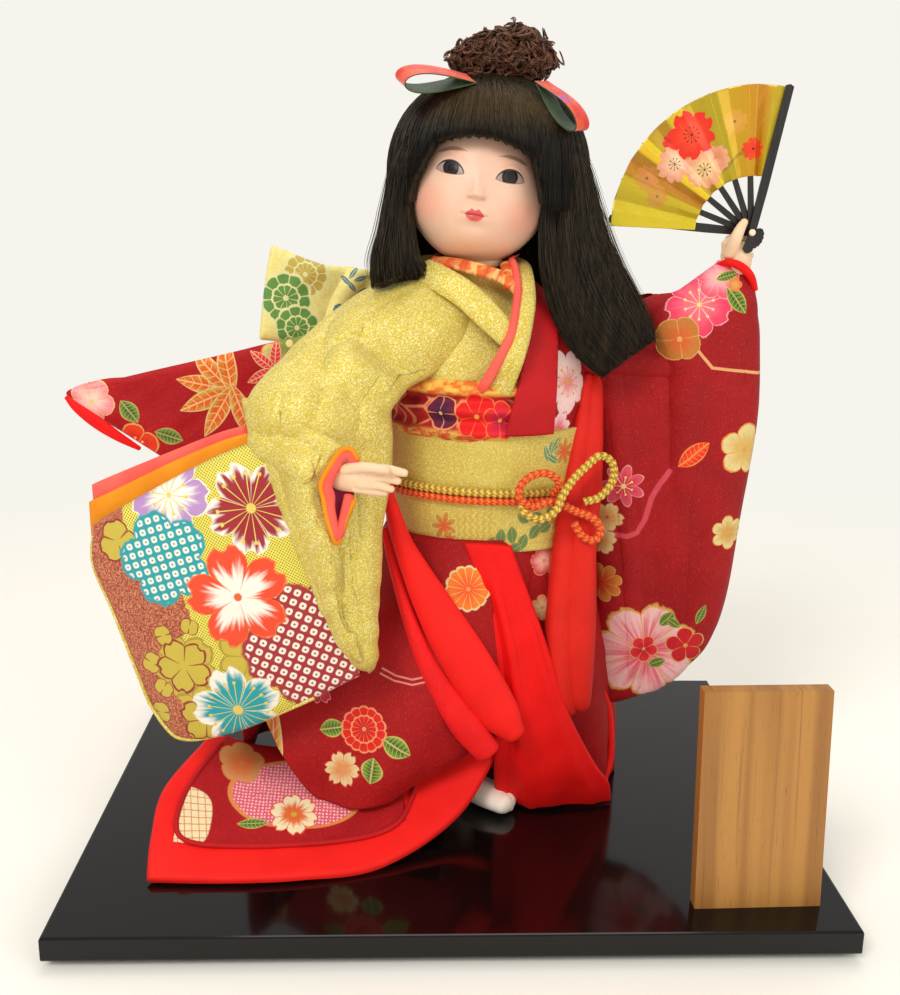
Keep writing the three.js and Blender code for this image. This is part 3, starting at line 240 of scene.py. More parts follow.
def limb_rings(stops, facing=(0, -1, 0), sides=28, steps=8, dome=0.5, cross=None):
    """Rings of a soft limb along a path, each stop [x, y, height, half width, half thickness]."""
    stops = np.asarray(stops, float)
    count = (len(stops) - 1) * steps
    share = np.arange(count + 1) / count
    step = 0.5 / count
    at = spline(stops, share)
    along = unit((spline(stops, share + step) - spline(stops, share - step))[:, :3])
    across = unit(np.cross(along, np.asarray(facing, float)))
    out = unit(np.cross(across, along))
    angle = np.linspace(0, 2 * math.pi, sides, endpoint=False)
    a, b = np.cos(angle) + 0 * share[:, None], np.sin(angle) + 0 * share[:, None]
    if cross is not None:
        a, b = cross(angle, share)

    def rings(i, scale, push):
        centre = at[i, :3] + along[i] * np.reshape(push, (-1, 1))
        wide, deep = (at[i, 3] * scale)[:, None] * a[i], (at[i, 4] * scale)[:, None] * b[i]
        return centre[:, None] + across[i][:, None] * wide[..., None] + out[i][:, None] * deep[..., None]

    body = rings(np.arange(count + 1), np.ones(count + 1), np.zeros(count + 1))
    s = np.sin(np.linspace(0.12, 1, 5)[:-1] * math.pi / 2)
    bulge = dome * np.sqrt(1 - s**2)
    first = rings(np.zeros(4, int), s, -min(stops[0, 3:]) * bulge)
    final = rings(np.full(4, count), s[::-1], min(stops[-1, 3:]) * bulge[::-1])
    return np.concatenate([first, body, final])


def joined(name, parts, look, voxel, soften):
    """Several closed lofts as one skin."""
    points, faces, at = [], [], 0
    for rings in parts:
        count, sides = rings.shape[:2]
        points += [rings.reshape(-1, 3), rings[:1].mean(1), rings[-1:].mean(1)]
        faces += [list(f + at) for f in ring_faces(count, sides)] + end_fans(at, count, sides)
        at += count * sides + 2
    piece = add_mesh(name, np.concatenate(points), faces, look)
    melt = piece.modifiers.new("melt", "REMESH")
    melt.mode = "VOXEL"
    melt.voxel_size = voxel / 1000
    soft = piece.modifiers.new("soften", "SMOOTH")
    soft.iterations = soften
    soft.factor = 0.5
    settle(piece)
    piece.data.polygons.foreach_set("use_smooth", np.full(len(piece.data.polygons), True))
    return piece


def strands(name, paths, radius, look, sides=3, taper=0.45):
    """Thin tubes along many paths, an array of (strand, point, 3)."""
    paths = np.asarray(paths, float)
    count, n = paths.shape[:2]
    along = unit(np.gradient(paths, axis=1))
    lean = np.where(np.abs(along[:, 0, 2:3]) > 0.92, np.array([0, 1.0, 0]), np.array([0, 0, 1.0]))
    across = np.empty_like(along)
    across[:, 0] = unit(np.cross(along[:, 0], lean))
    for j in range(1, n):
        across[:, j] = unit(across[:, j - 1] - along[:, j] * (across[:, j - 1] * along[:, j]).sum(-1, keepdims=True))
    out = np.cross(across, along)
    size = np.reshape(radius, (-1, 1)) * (1 - (1 - taper) * np.linspace(0, 1, n)[None, :] ** 3)
    angle = np.linspace(0, 2 * math.pi, sides, endpoint=False)
    round_it = across[:, :, None] * np.cos(angle)[:, None] + out[:, :, None] * np.sin(angle)[:, None]
    rings = paths[:, :, None] + round_it * size[..., None, None]
    faces = ring_faces(n, sides)
    every = (np.arange(count)[:, None, None] * (n * sides) + faces[None]).reshape(-1, 4)
    first = np.arange(count)[:, None] * (n * sides) + np.arange(sides)[::-1][None]
    last = np.arange(count)[:, None] * (n * sides) + (n - 1) * sides + np.arange(sides)[None]
    return add_mesh(name, rings, [*every, *first, *last], look)


def cut_plane(piece, point, normal):
    """Takes away what lies on the side that normal points to."""
    made = bmesh.new()
    made.from_mesh(piece.data)
    bmesh.ops.bisect_plane(made, geom=made.verts[:] + made.edges[:] + made.faces[:], plane_co=Vector(metres(*point)),
                           plane_no=Vector(normal), clear_outer=True, dist=1e-7)
    made.to_mesh(piece.data)
    made.free()
    piece.data.update()


def shell(piece, thick):
    """Thickens an open skin inwards."""
    solid = piece.modifiers.new("thickness", "SOLIDIFY")
    solid.thickness = thick / 1000
    solid.offset = -1.0
    solid.use_rim = True
    return settle(piece)


def slope(x, tilt, height):
    """A leaning cut through (x, height): its point and the direction it faces."""
    a = math.radians(tilt)
    return (x, 0, height), (math.cos(a), 0, -math.sin(a))


def worn(node, look, bevel=0.0, segments=2):
    """Gives a CAD node its finish and softens its edges."""
    piece = nodes[node]
    piece.data.materials.clear()
    piece.data.materials.append(look)
    if bevel:
        made = piece.modifiers.new("edge", "BEVEL")
        made.width = bevel / 1000
        made.segments = segments
        made.limit_method = "ANGLE"
        made.angle_limit = math.radians(32)


def dress(piece, body, slot, *replaced):
    """Sets the body that carries a piece and the nodes it takes the place of. slot is not used."""
    if body:
        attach(piece, body)
    if replaced:
        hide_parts(*replaced)


def metres(x, y, h):
    return (x / 1000, y / 1000, (h + BOARD_TOP) / 1000)


# Materials

def srgb(*channels):
    shares = [c / 255 for c in channels]
    return tuple(s / 12.92 if s <= 0.04045 else ((s + 0.055) / 1.055) ** 2.4 for s in shares) + (1.0,)


class Field:
    """A value in a node tree, which takes arithmetic."""

    def __init__(self, paint, socket):
        self.paint, self.socket = paint, socket

    def part(self, name):
        return Field(self.paint, self.socket.node.outputs[name])

    def math(self, kind, *others):
        return self.paint.node("Math", self, *others, operation=kind)

    def __add__(self, o): return self.math("ADD", o)
    def __sub__(self, o): return self.math("SUBTRACT", o)
    def __mul__(self, o): return self.math("MULTIPLY", o)
    def __truediv__(self, o): return self.math("DIVIDE", o)
    def __pow__(self, o): return self.math("POWER", o)
    def __radd__(self, o): return self.math("ADD", o)
    def __rmul__(self, o): return self.math("MULTIPLY", o)
    def __rsub__(self, o): return self.paint.node("Math", o, self, operation="SUBTRACT")
    def abs(self): return self.math("ABSOLUTE")
    def sin(self): return self.math("SINE")
    def cos(self): return self.math("COSINE")
    def sqrt(self): return self.math("SQRT")
    def fract(self): return self.math("FRACT")
    def least(self, o): return self.math("MINIMUM", o)
    def most(self, o): return self.math("MAXIMUM", o)

    def step(self, low, high):
        return self.paint.node("MapRange", self, low, high, 0.0, 1.0, interpolation_type="SMOOTHSTEP")


class Paint:
    """The node tree of one material."""

    def __init__(self, name):
        self.material = bpy.data.materials.new(name)
        self.material.use_nodes = True
        self.tree = self.material.node_tree
        self.tree.nodes.clear()
        self.where = None

    def feed(self, value, socket):
        if isinstance(value, Field):
            self.tree.links.new(value.socket, socket)
        else:
            socket.default_value = value

    def node(self, kind, *values, out=0, named=None, **settings):
        made = self.tree.nodes.new("ShaderNode" + kind)
        for key, value in settings.items():
            setattr(made, key, value)
        for socket, value in zip(made.inputs, values):
            if value is not None:
                self.feed(value, socket)
        for key, value in (named or {}).items():
            self.feed(value, made.inputs[key])
        return Field(self, made.outputs[out])

    def cloth(self):
        """Where the point lies on the piece, in millimetres."""
        if self.where is None:
            self.where = self.node("Attribute", attribute_name="cloth", out=1)
        return self.where

    def xyz(self, vector=None):
        made = self.node("SeparateXYZ", vector or self.cloth())
        return made, made.part("Y"), made.part("Z")

    def vector(self, x, y, z):
        return self.node("CombineXYZ", x, y, z)

    def noise(self, scale, vector=None, detail=2.0, rough=0.5, bend=0.0):
        return self.node("TexNoise", named={"Vector": vector or self.cloth(), "Scale": scale, "Detail": detail,
                                            "Roughness": rough, "Distortion": bend})

    def cells(self, scale, vector=None, feature="F1", loose=1.0):
        return self.node("TexVoronoi", feature=feature,
                         named={"Vector": vector or self.cloth(), "Scale": scale, "Randomness": loose})

    def mix(self, share, a, b):
        made = self.tree.nodes.new("ShaderNodeMix")
        made.data_type = "RGBA"
        for socket, value in zip((made.inputs[0], made.inputs[6], made.inputs[7]), (share, a, b)):
            self.feed(value, socket)
        return Field(self, made.outputs[2])

    def use(self, group, **values):
        made = self.tree.nodes.new("ShaderNodeGroup")
        made.node_tree = group
        for key, value in values.items():
            self.feed(value, made.inputs[key])
        return Field(self, made.outputs[0])

    def bump(self, height, distance, strength):
        return self.node("Bump", named={"Height": height, "Distance": distance / 1000, "Strength": strength})

    def done(self, colour, roughness, bump=None, **settings):
        """Ends the material in one shader. settings are the shader's own sockets."""
        named = {"Base Color": colour, "Roughness": roughness}
        named.update({key.replace("_", " "): value for key, value in settings.items()})
        if bump is not None:
            named["Normal"] = bump
        shader = self.node("BsdfPrincipled", named=named)
        end = self.tree.nodes.new("ShaderNodeOutputMaterial")
        self.tree.links.new(shader.socket, end.inputs["Surface"])
        return self.material


class Group(Paint):
    """A part of a node tree that several materials use."""

    def __init__(self, name, floats, colours):
        self.tree = bpy.data.node_groups.new(name, "ShaderNodeTree")
        self.where = None
        for kind, values in (("Float", floats), ("Color", colours)):
            for key, value in values.items():
                self.plug(key, "INPUT", kind).default_value = value
        start = self.tree.nodes.new("NodeGroupInput")
        self.given = {key: Field(self, start.outputs[key]) for key in [*floats, *colours]}

    def plug(self, name, way, kind):
        return self.tree.interface.new_socket(name=name, in_out=way, socket_type="NodeSocket" + kind)

    def end(self, **outputs):
        made = self.tree.nodes.new("NodeGroupOutput")
        for key, (kind, _) in outputs.items():
            self.plug(key, "OUTPUT", kind)
        for key, (_, value) in outputs.items():
            self.tree.links.new(value.socket, made.inputs[key])
        return self.tree


def ramp(p, value, stops):
    """A smooth number that passes through (place, height) pairs."""
    low, high = stops[0][0], stops[-1][0]
    least, most = min(h for _, h in stops), max(h for _, h in stops)
    made = p.tree.nodes.new("ShaderNodeValToRGB")
    scaled = (value - low) / (high - low)
    p.feed(scaled, made.inputs[0])
    marks = made.color_ramp.elements
    while len(marks) < len(stops):
        marks.new(0.5)
    for mark, (place, height) in zip(marks, stops):
        mark.position = (place - low) / (high - low)
        grey = (height - least) / (most - least)
        mark.color = (grey, grey, grey, 1)
    return Field(p, made.outputs[0]) * (most - least) + least


def blossom_group():
    """A flower or leaf of several lobes, drawn over what is under it."""
    white = (1, 1, 1, 1)
    g = Group("blossom", dict(u=0, v=0, x=0, y=0, size=10, turn=0, petals=5, notch=0.35, power=0.6, tip=0, stamens=0,
                              line=0.05, streak=0.3, show=1, from_centre=0.1, fade=0.2, full=0.95, thread=0.42),
              dict(under=white, inner=white, outer=white, edge=white, centre=white))
    i = g.given
    dx, dy = i["u"] - i["x"], i["v"] - i["y"]
    r = (dx * dx + dy * dy).sqrt()
    angle = g.node("Math", dy, dx, operation="ARCTAN2") + i["turn"]
    k = (angle * i["petals"] * 0.5).cos().abs()
    reach = i["size"] * (1.0 - i["notch"] * (1.0 - k ** i["power"])) - i["size"] * i["tip"] * k.step(0.93, 1.0)
    wobble = g.noise(0.35, g.vector(i["u"], i["v"], i["x"]), 2.0)
    t = r / reach + (wobble - 0.5) * 0.10
    mask = (1.0 - t.step(0.97, 1.03)) * i["show"]
    rays = g.noise(1.0, g.vector(angle * 7.0, t * 0.9, i["x"] + i["y"]), 2.0)
    shade = (t + (rays - 0.5) * i["streak"] * 2.0).step(i["fade"], i["full"])
    colour = g.mix(shade, i["inner"], i["outer"])
    split = (1.0 - k.step(0.0, i["line"] * 3.0)) * t.step(0.15, 0.3) * (1.0 - (i["notch"] * 4.0 - 3.0).most(0.0))
    rim = t.step(1.0 - i["line"] * 1.6, 1.0 - i["line"])
    colour = g.mix(split.most(rim) * i["line"].step(0.0, 0.01), colour, i["edge"])
    thread = (angle * i["stamens"] * 0.5).cos().abs()
    run = r / i["size"]
    dots = thread.step(0.86, 0.93) * (1.0 - (run - i["thread"]).abs().step(0.025, 0.045))
    lines = (1.0 - ((1.0 - thread) * run * 30.0).step(0.10, 0.35)) * (1.0 - run.step(i["thread"] - 0.04, i["thread"]))
    on = i["stamens"].step(0.5, 1.0)
    heart = 1.0 - (r / i["size"]).step(i["from_centre"], i["from_centre"] + 0.03)
    colour = g.mix((dots.most(lines) * on).most(heart), colour, i["centre"])
    return g.end(colour=("Color", g.mix(mask, i["under"], colour)), mask=("Float", mask))


def leaf_group():
    """A pointed leaf with a middle rib and slanting veins."""
    white = (1, 1, 1, 1)
    g = Group("leaf", dict(u=0, v=0, x=0, y=0, long=10, wide=4, turn=0, show=1),
              dict(under=white, inner=white, outer=white, edge=white))
    i = g.given
    dx, dy = i["u"] - i["x"], i["v"] - i["y"]
    c, s = i["turn"].cos(), i["turn"].sin()
    a, b = (dx * c + dy * s) / i["long"], (dy * c - dx * s)
    half = i["wide"] * (1.0 - a * a)
    t = b.abs() / half.most(0.01)
    mask = (1.0 - t.step(0.93, 1.05)) * (1.0 - a.abs().step(0.97, 1.0)) * i["show"]
    rib = 1.0 - (b.abs() / i["wide"]).step(0.05, 0.12)
    veins = 1.0 - ((a * 4.0 - t * 0.7).fract() - 0.5).abs().step(0.04, 0.09)
    colour = g.mix(t.step(0.1, 0.9), i["inner"], i["outer"])
    colour = g.mix(rib.most(veins).most(t.step(0.78, 0.88)) * 0.8, colour, i["edge"])
    return g.end(colour=("Color", g.mix(mask, i["under"], colour)), mask=("Float", mask))


def dapple_group():
    """Rows of tie-dyed squares with a dark point in each."""
    white = (1, 1, 1, 1)
    g = Group("dapple", dict(u=0, v=0, pitch=4, turn=0.35, show=1), dict(under=white, ground=white, dot=white))
    i = g.given
    c, s = i["turn"].cos(), i["turn"].sin()
    a = (i["u"] * c + i["v"] * s) / i["pitch"]
    b = (i["v"] * c - i["u"] * s) / i["pitch"]
    fa, fb = (a.fract() - 0.5).abs(), (b.fract() - 0.5).abs()
    square = (fa ** 3.0 + fb ** 3.0) ** 0.333
    dot = (1.0 - square.step(0.30, 0.38)) * square.step(0.07, 0.13)
    colour = g.mix(dot, i["ground"], i["dot"])
    return g.end(colour=("Color", g.mix(i["show"], i["under"], colour)))


BLOSSOM, LEAF, DAPPLE = blossom_group(), leaf_group(), dapple_group()


WHITE, GOLD = srgb(250, 236, 218), srgb(214, 172, 62)


def patterned(p, x, y, z, colour, pattern):
    """The colour with the cloth's own figures drawn over it."""
    if pattern is None:
        return colour
    drawing = Drawing(p, x, z, colour, y)
    pattern(drawing)
    return drawing.colour


def lacquer(name, gloss=0.09):
    p = Paint(name)
    at = p.node("TexCoord", out=3)
    dust, haze = p.noise(900.0, at, 2.0), p.noise(18.0, at, 3.0)
    rough = gloss + haze * 0.05 + dust.step(0.70, 0.78) * 0.12
    colour = p.mix(haze, srgb(7, 5, 5), srgb(14, 10, 9))
    return p.done(colour, rough, p.bump(haze, 0.15, 0.25), Coat_Weight=0.12, Coat_Roughness=0.04,
                  Specular_IOR_Level=0.28)


def wood(name):
    p = Paint(name)
    at = p.node("TexCoord", out=3)
    x, y, z = p.xyz(at)
    bent = x + (p.noise(9.0, p.vector(x, y, z * 0.35), 3.0) - 0.5) * 0.012
    stripe = p.noise(1.0, p.vector(bent * 420.0, y * 60.0, z * 3.0), 4.0, 0.6)
    ring = p.noise(1.0, p.vector(bent * 95.0, y * 20.0, z * 1.6), 2.0)
    pores = p.noise(1.0, p.vector(x * 2600.0, y * 900.0, z * 90.0), 2.0)
    colour = p.mix(ring.step(0.35, 0.68), srgb(180, 126, 56), srgb(152, 100, 40))
    colour = p.mix(stripe.step(0.52, 0.72) * 0.55, colour, srgb(114, 70, 26))
    colour = p.mix(pores.step(0.62, 0.75) * 0.4, colour, srgb(88, 52, 20))
    height = stripe * 0.6 + pores.step(0.6, 0.8) * -0.5
    return p.done(colour, 0.48 + stripe * 0.12, p.bump(height, 0.12, 0.6), Coat_Weight=0.12, Coat_Roughness=0.35)


# The middle, half width and height of the eyes in the head's own axes
EYE_X, EYE_LEVEL, EYE_HALF, EYE_RISE = 14.3, 9.4, 6.7, 4.75
SKIN_DEPTH = dict(Subsurface_Weight=0.12, Subsurface_Radius=(1.0, 0.45, 0.25), Specular_IOR_Level=0.4)


def skin(name, head=False):
    """Polished shell-white finish with rouge. The head's features are painted from its own axes."""
    p = Paint(name)
    x, y, z = p.xyz()
    mottle = p.noise(0.16, detail=3.0)
    if not head:
        colour = p.mix(mottle, srgb(232, 198, 160), srgb(238, 206, 170))
        colour = p.mix(p.noise(0.35).step(0.45, 0.8) * 0.35, colour, srgb(232, 172, 142))
        return p.done(colour, 0.42 + mottle * 0.08, p.bump(p.noise(2.5, detail=2.0), 0.03, 0.5), Subsurface_Scale=0.004,
                      **SKIN_DEPTH)
    colour = p.mix(mottle, srgb(229, 184, 158), srgb(236, 194, 168))
    ax = x.abs()
    front = 1.0 - y.step(-14.0, -4.0)

    def spot(cx, cz, rx, rz, px=ax):
        return (((px - cx) / rx) ** 2.0 + ((z - cz) / rz) ** 2.0).sqrt()

    cheek = 1.0 - spot(23.5, -6.0, 12.5, 11.0).step(0.1, 1.15)
    colour = p.mix(cheek * 0.42, colour, srgb(240, 134, 112))
    lids = 1.0 - spot(14.0, 15.5, 9.5, 5.0).step(0.3, 1.2)
    colour = p.mix(lids * 0.28, colour, srgb(240, 168, 142))
    # painted shade over the chin and lower jaw
    under = 1.0 - spot(1.0, -27.0, 20.0, 12.0, x).step(0.2, 1.1)
    colour = p.mix(under * 0.40, colour, srgb(226, 164, 114))
    # brows: a thin arc of fine strokes, thickest in its middle
    t = (ax - 7.2) / 15.0
    arc = 19.3 + t * 4.6 - t * t * 6.9
    width = t.step(0.0, 0.4) * (1.0 - t.step(0.75, 1.0)) * 0.85 + 0.14
    width = width * t.step(-0.01, 0.05) * (1.0 - t.step(0.93, 1.0))
    hairs = p.noise(1.0, p.vector(x * 5.0, z * 2.0 - ax * 1.2, 0.0), 2.0)
    brow = (1.0 - ((z - arc).abs() / (width + 0.001)).step(0.55, 1.25)) * width.step(0.02, 0.1) * front
    colour = p.mix(brow * (0.55 + hairs * 0.35), colour, srgb(128, 96, 74))
    # lips
    lx = x - 0.4
    al = lx.abs()
    top = -7.1 + (1.0 - ((al - 2.2).abs() / 2.9) ** 1.6) * 1.5
    upper = top.least(-8.5 + (5.0 - al) * 0.9)
    lower = -8.5 - (1.0 - (al / 4.4) ** 2.0).most(0.0).sqrt() * 3.15
    inside = (upper - z).step(-0.05, 0.3) * (z - lower).step(-0.05, 0.35) * (1.0 - al.step(4.5, 4.9)) * front
    tint = p.mix((z - lower).step(0.0, 2.0), srgb(226, 104, 106), srgb(204, 52, 64))
    tint = p.mix(p.noise(1.0, p.vector(x * 3.2, z * 0.5, 0.0)) * 0.5, tint, srgb(236, 110, 108))
    colour = p.mix(inside * 0.95, colour, tint)
    seam_at = -8.45 + (lx * 0.9).cos() * 0.18
    seam = (1.0 - (z - seam_at).abs().step(0.08, 0.42)) * (1.0 - al.step(4.2, 5.4)) * front
    colour = p.mix(seam * 0.75, colour, srgb(120, 16, 26))
    # painted shade in the small dent at each corner of the mouth
    mouth_corner_shade = (1.0 - spot(5.9, -8.3, 0.9, 0.7, al).step(0.2, 1.2)) * front
    colour = p.mix(mouth_corner_shade * 0.35, colour, srgb(196, 128, 96))
    # painted shade in the hollows of the nose
    nostril_shade = (1.0 - spot(3.3, -0.9, 1.5, 0.8).step(0.3, 1.2)) * front
    colour = p.mix(nostril_shade * 0.30, colour, srgb(200, 120, 84))
    # lash lines round the eyes
    e = (ax - EYE_X) / EYE_HALF
    lash_top = EYE_LEVEL + (1.0 - e.abs() ** 2.2).most(0.0) ** 0.75 * EYE_RISE + e * 0.2
    line = (1.0 - ((z - lash_top - 0.1).abs()).step(0.22, 0.62)) * (1.0 - e.abs().step(0.98, 1.04)) * front
    colour = p.mix(line * 0.95, colour, srgb(28, 16, 14))
    lash_low = EYE_LEVEL - (1.0 - e.abs() ** 2.0).most(0.0) * 1.15 + e * 0.2
    line = (1.0 - ((z - lash_low + 0.1).abs()).step(0.10, 0.36)) * (1.0 - e.abs().step(0.96, 1.03)) * front
    colour = p.mix(line * 0.6, colour, srgb(92, 50, 42))
    rough = 0.40 + mottle * 0.06 - inside * 0.14
    return p.done(colour, rough, p.bump(p.noise(1.6, detail=2.0), 0.03, 0.4), Subsurface_Scale=0.005, **SKIN_DEPTH)


def eye_look(name):
    p = Paint(name)
    x, _, z = p.xyz()
    r = (x * x + z * z).sqrt()
    spokes = p.noise(1.0, p.vector(p.node("Math", z, x, operation="ARCTAN2") * 6.0, r * 0.5, 0.0), 2.0)
    colour = p.mix(r.step(3.4, 3.9), p.mix(spokes, srgb(26, 16, 16), srgb(58, 42, 44)), srgb(164, 148, 142))
    colour = p.mix(1.0 - r.step(1.5, 1.9), colour, srgb(8, 5, 5))
    colour = p.mix(r.step(2.8, 3.4) * (1.0 - r.step(3.5, 4.0)), colour, srgb(14, 8, 8))
    colour = p.mix(r.step(4.2, 6.4) * 0.5, colour, srgb(190, 130, 112))
    return p.done(colour, 0.36 + spokes * 0.04, Coat_Weight=0.06, Coat_Roughness=0.12, Specular_IOR_Level=0.2)


def hair_look(name, low=(12, 8, 4), high=(58, 46, 26), stretch=(3.0, 3.0, 0.12), crown=False):
    p = Paint(name)
    x, y, z = p.xyz()
    fine = p.noise(1.0, p.vector(x * stretch[0], y * stretch[1], z * stretch[2]), 3.0, 0.6)
    broad = p.noise(1.0, p.vector(x * 0.5, y * 0.5, z * 0.05), 2.0)
    colour = p.mix((fine * 0.7 + broad * 0.5).step(0.42, 0.85), srgb(*low), srgb(*high))
    if crown:
        # a painted highlight on the crown, and painted shade that darkens the fringe towards its ends below it
        front = 1.0 - y.step(-30.0, -16.0)
        painted_highlight = z.step(350.0, 362.0) * (1.0 - z.step(370.0, 382.0)) * front * (0.12 + fine * 0.3)
        colour = p.mix(painted_highlight, colour, srgb(112, 86, 46))
        # painted shade: the front of the fringe goes near black towards its cut
        colour = p.mix((1.0 - z.step(343.0, 356.0)) * front * 0.72, colour, srgb(5, 4, 3))
    return p.done(colour, 0.36 + fine * 0.16, p.bump(fine, 0.25, 0.7), Specular_IOR_Level=0.28)


def lame(name, low, high, tint, metal, pattern=None):
    """Woven metal thread: a fine painted glitter of highlights over a slant weave."""
    p = Paint(name)
    x, y, z = p.xyz()
    painted_glint = p.node("SeparateXYZ", p.cells(2.1).part("Color"))
    fine = p.noise(3.2, detail=3.0, rough=0.7)
    weave = ((x + z * 0.6) * 5.2).sin() * ((z - x * 0.4) * 6.4).sin()
    soft = p.noise(0.05, detail=2.0)
    colour = p.mix(fine.step(0.36, 0.66), srgb(*low), srgb(*tint))
    # painted highlight: random cells lightened towards the high colour as sparkle
    colour = p.mix(painted_glint.step(0.45, 0.95) * 0.6, colour, srgb(*high))
    colour = p.mix(soft.step(0.35, 0.75) * 0.25, colour, srgb(*low))
    colour = patterned(p, x, y, z, colour, pattern)
    height = painted_glint.part("Y") * 0.6 + weave * 0.25 + fine * 0.5
    return p.done(colour, 0.36 + fine * 0.2, p.bump(height, 0.22, 0.9), Metallic=metal, Sheen_Weight=0.15,
                  Sheen_Roughness=0.4)


def silk(name, base, dark, grain, deep=0.16, specks=0.0, pattern=None, streak=0.0):
    """Crepe and plain silk: a fine pebbled grain, woven with a cloth's slow changes of tone."""
    p = Paint(name)
    x, y, z = p.xyz()
    pebble = p.noise(grain, p.vector(x, y, z * 0.6), 3.0, 0.65, 0.6)
    weave = (x * 7.0).sin() * (z * 7.0).sin()
    soft = p.noise(0.045, detail=2.0)
    colour = p.mix(soft.step(0.3, 0.75) * 0.55, srgb(*base), srgb(*dark))
    if streak:
        thread = p.noise(1.0, p.vector(x * 1.4, y * 1.4, z * 0.08), 2.0)
        colour = p.mix(thread.step(0.4, 0.8) * streak, colour, srgb(*dark))
    colour = patterned(p, x, y, z, colour, pattern)
    colour = p.mix(pebble.step(0.45, 0.75) * 0.22, colour, p.mix(0.5, colour, (0.0, 0.0, 0.0, 1.0)))
    if specks:
        light = p.noise(grain * 1.3, p.vector(x + 9.0, y, z), 2.0, 0.6)
        colour = p.mix(light.step(0.56, 0.72) * specks, colour, srgb(230, 84, 70))
    return p.done(colour, 0.6 + pebble * 0.12, p.bump(pebble * 0.9 + weave * 0.15, deep, 0.8), Sheen_Weight=0.02,
                  Sheen_Roughness=0.35, Specular_IOR_Level=0.25)


def cord_look(name, base, light, dark):
    p = Paint(name)
    x, y, z = p.xyz()
    # the braid's own place: along the cord, round it, and how far a strand stands out
    fibre = p.noise(1.0, p.vector(x * 1.2, y * 8.0, 0.0), 3.0)
    painted_glint = p.node("SeparateXYZ", p.cells(1.4, p.vector(x, y * 2.0, 0.0)).part("Color"))
    # painted shade: darker where a strand sinks into the braid's grooves
    colour = p.mix(z.step(-0.6, 0.75), srgb(*dark), srgb(*base))
    # painted highlight on the strands that stand out
    painted_highlight = (painted_glint.step(0.6, 0.95) * 0.6 + fibre.step(0.55, 0.75) * 0.35) * z.step(-0.2, 0.6)
    colour = p.mix(painted_highlight, colour, srgb(*light))
    return p.done(colour, 0.42 + fibre * 0.15, p.bump(fibre, 0.08, 0.7), Sheen_Weight=0.2, Sheen_Roughness=0.4,
                  Metallic=0.12)


# Woven and dyed patterns, each drawn on its own cloth in millimetres

def tone(value):
    return srgb(*value) if isinstance(value, tuple) and len(value) == 3 else value


class Drawing:
    """Figures laid one over another on a cloth, at its places u and v. deep is the axis through the cloth."""

    def __init__(self, p, u, v, colour, deep=None):
        self.p, self.u, self.v, self.colour, self.deep = p, u, v, colour, deep

    def figure(self, group, **values):
        values = {key: tone(value) for key, value in values.items()}
        return self.p.use(group, u=self.u, v=self.v, under=self.colour, **values)

    def lay(self, share, tint):
        self.colour = self.p.mix(share, self.colour, tone(tint))

    def bloom(self, x, y, size, turn, petals, notch, inner, outer, edge, centre, **more):
        self.colour = self.figure(BLOSSOM, x=x, y=y, size=size, turn=turn, petals=petals, notch=notch, inner=inner,
                                  outer=outer, edge=edge, centre=centre, **more)

    def shapes(self, rows, inner, edge):
        """Plain outlined petals. Each row is x, y, size, turn and petals."""
        for row in rows:
            self.bloom(*row, 0.30, inner, inner, edge, inner, power=0.8, tip=0.10, line=0.07, from_centre=-0.1)

    def leaves(self, rows, inner, outer, edge, *size):
        """Each row is x, y and turn, with the length and width where size doesn't give them."""
        for x, y, turn, *own in rows:
            long, wide = own or size
            self.colour = self.figure(LEAF, x=x, y=y, long=long, wide=wide, turn=turn, inner=inner, outer=outer,
                                      edge=edge)

    def tie_dye(self, x, y, size, turn, ground, pitch, lean, notch=0.28):
        """A blossom of dyed ground, filled with rows of white squares."""
        shape = dict(x=x, y=y, turn=turn, petals=5, notch=notch, power=0.7, tip=0.05, inner=ground, outer=ground,
                     edge=ground, centre=ground, line=0.0, from_centre=-0.1)
        self.colour = self.figure(BLOSSOM, size=size, **shape)
        inside = self.figure(BLOSSOM, size=size - 1.8, **shape).part("mask")
        self.colour = self.figure(DAPPLE, pitch=pitch, turn=lean, ground=ground, dot=(246, 238, 220), show=inside)

    def line(self, points, width, tint):
        """A drawn line through points, each piece of it a straight run."""
        u, v, near = self.u, self.v, None
        for (x0, y0), (x1, y1) in zip(points, points[1:]):
            span = (x1 - x0) ** 2 + (y1 - y0) ** 2
            t = (((u - x0) * (x1 - x0) + (v - y0) * (y1 - y0)) / span).most(0.0).least(1.0)
            dx, dy = u - x0 - t * (x1 - x0), v - y0 - t * (y1 - y0)
            d = (dx * dx + dy * dy).sqrt()
            near = d if near is None else near.least(d)
        self.lay(1.0 - near.step(width * 0.7, width * 1.2), tint)

    def scatter(self, u, v, pitch, seed, size, few, **values):
        """The same flower in random places, about one for each square of this pitch; few is the share left out."""
        p = self.p
        spot = p.cells(1.0 / pitch, p.vector(u + seed, v - seed, 0.0), loose=0.85)
        at = p.node("SeparateXYZ", spot.part("Position"))
        chance = p.node("SeparateXYZ", spot.part("Color"))
        values = {key: tone(value) for key, value in values.items()}
        self.colour = p.use(BLOSSOM, u=u, v=v, under=self.colour, x=at * pitch - seed, y=at.part("Y") * pitch + seed,
                            size=size * (0.6 + chance * 0.7), turn=chance.part("Y") * 6.28,
                            show=chance.part("Z").step(few, few + 0.01), **values)


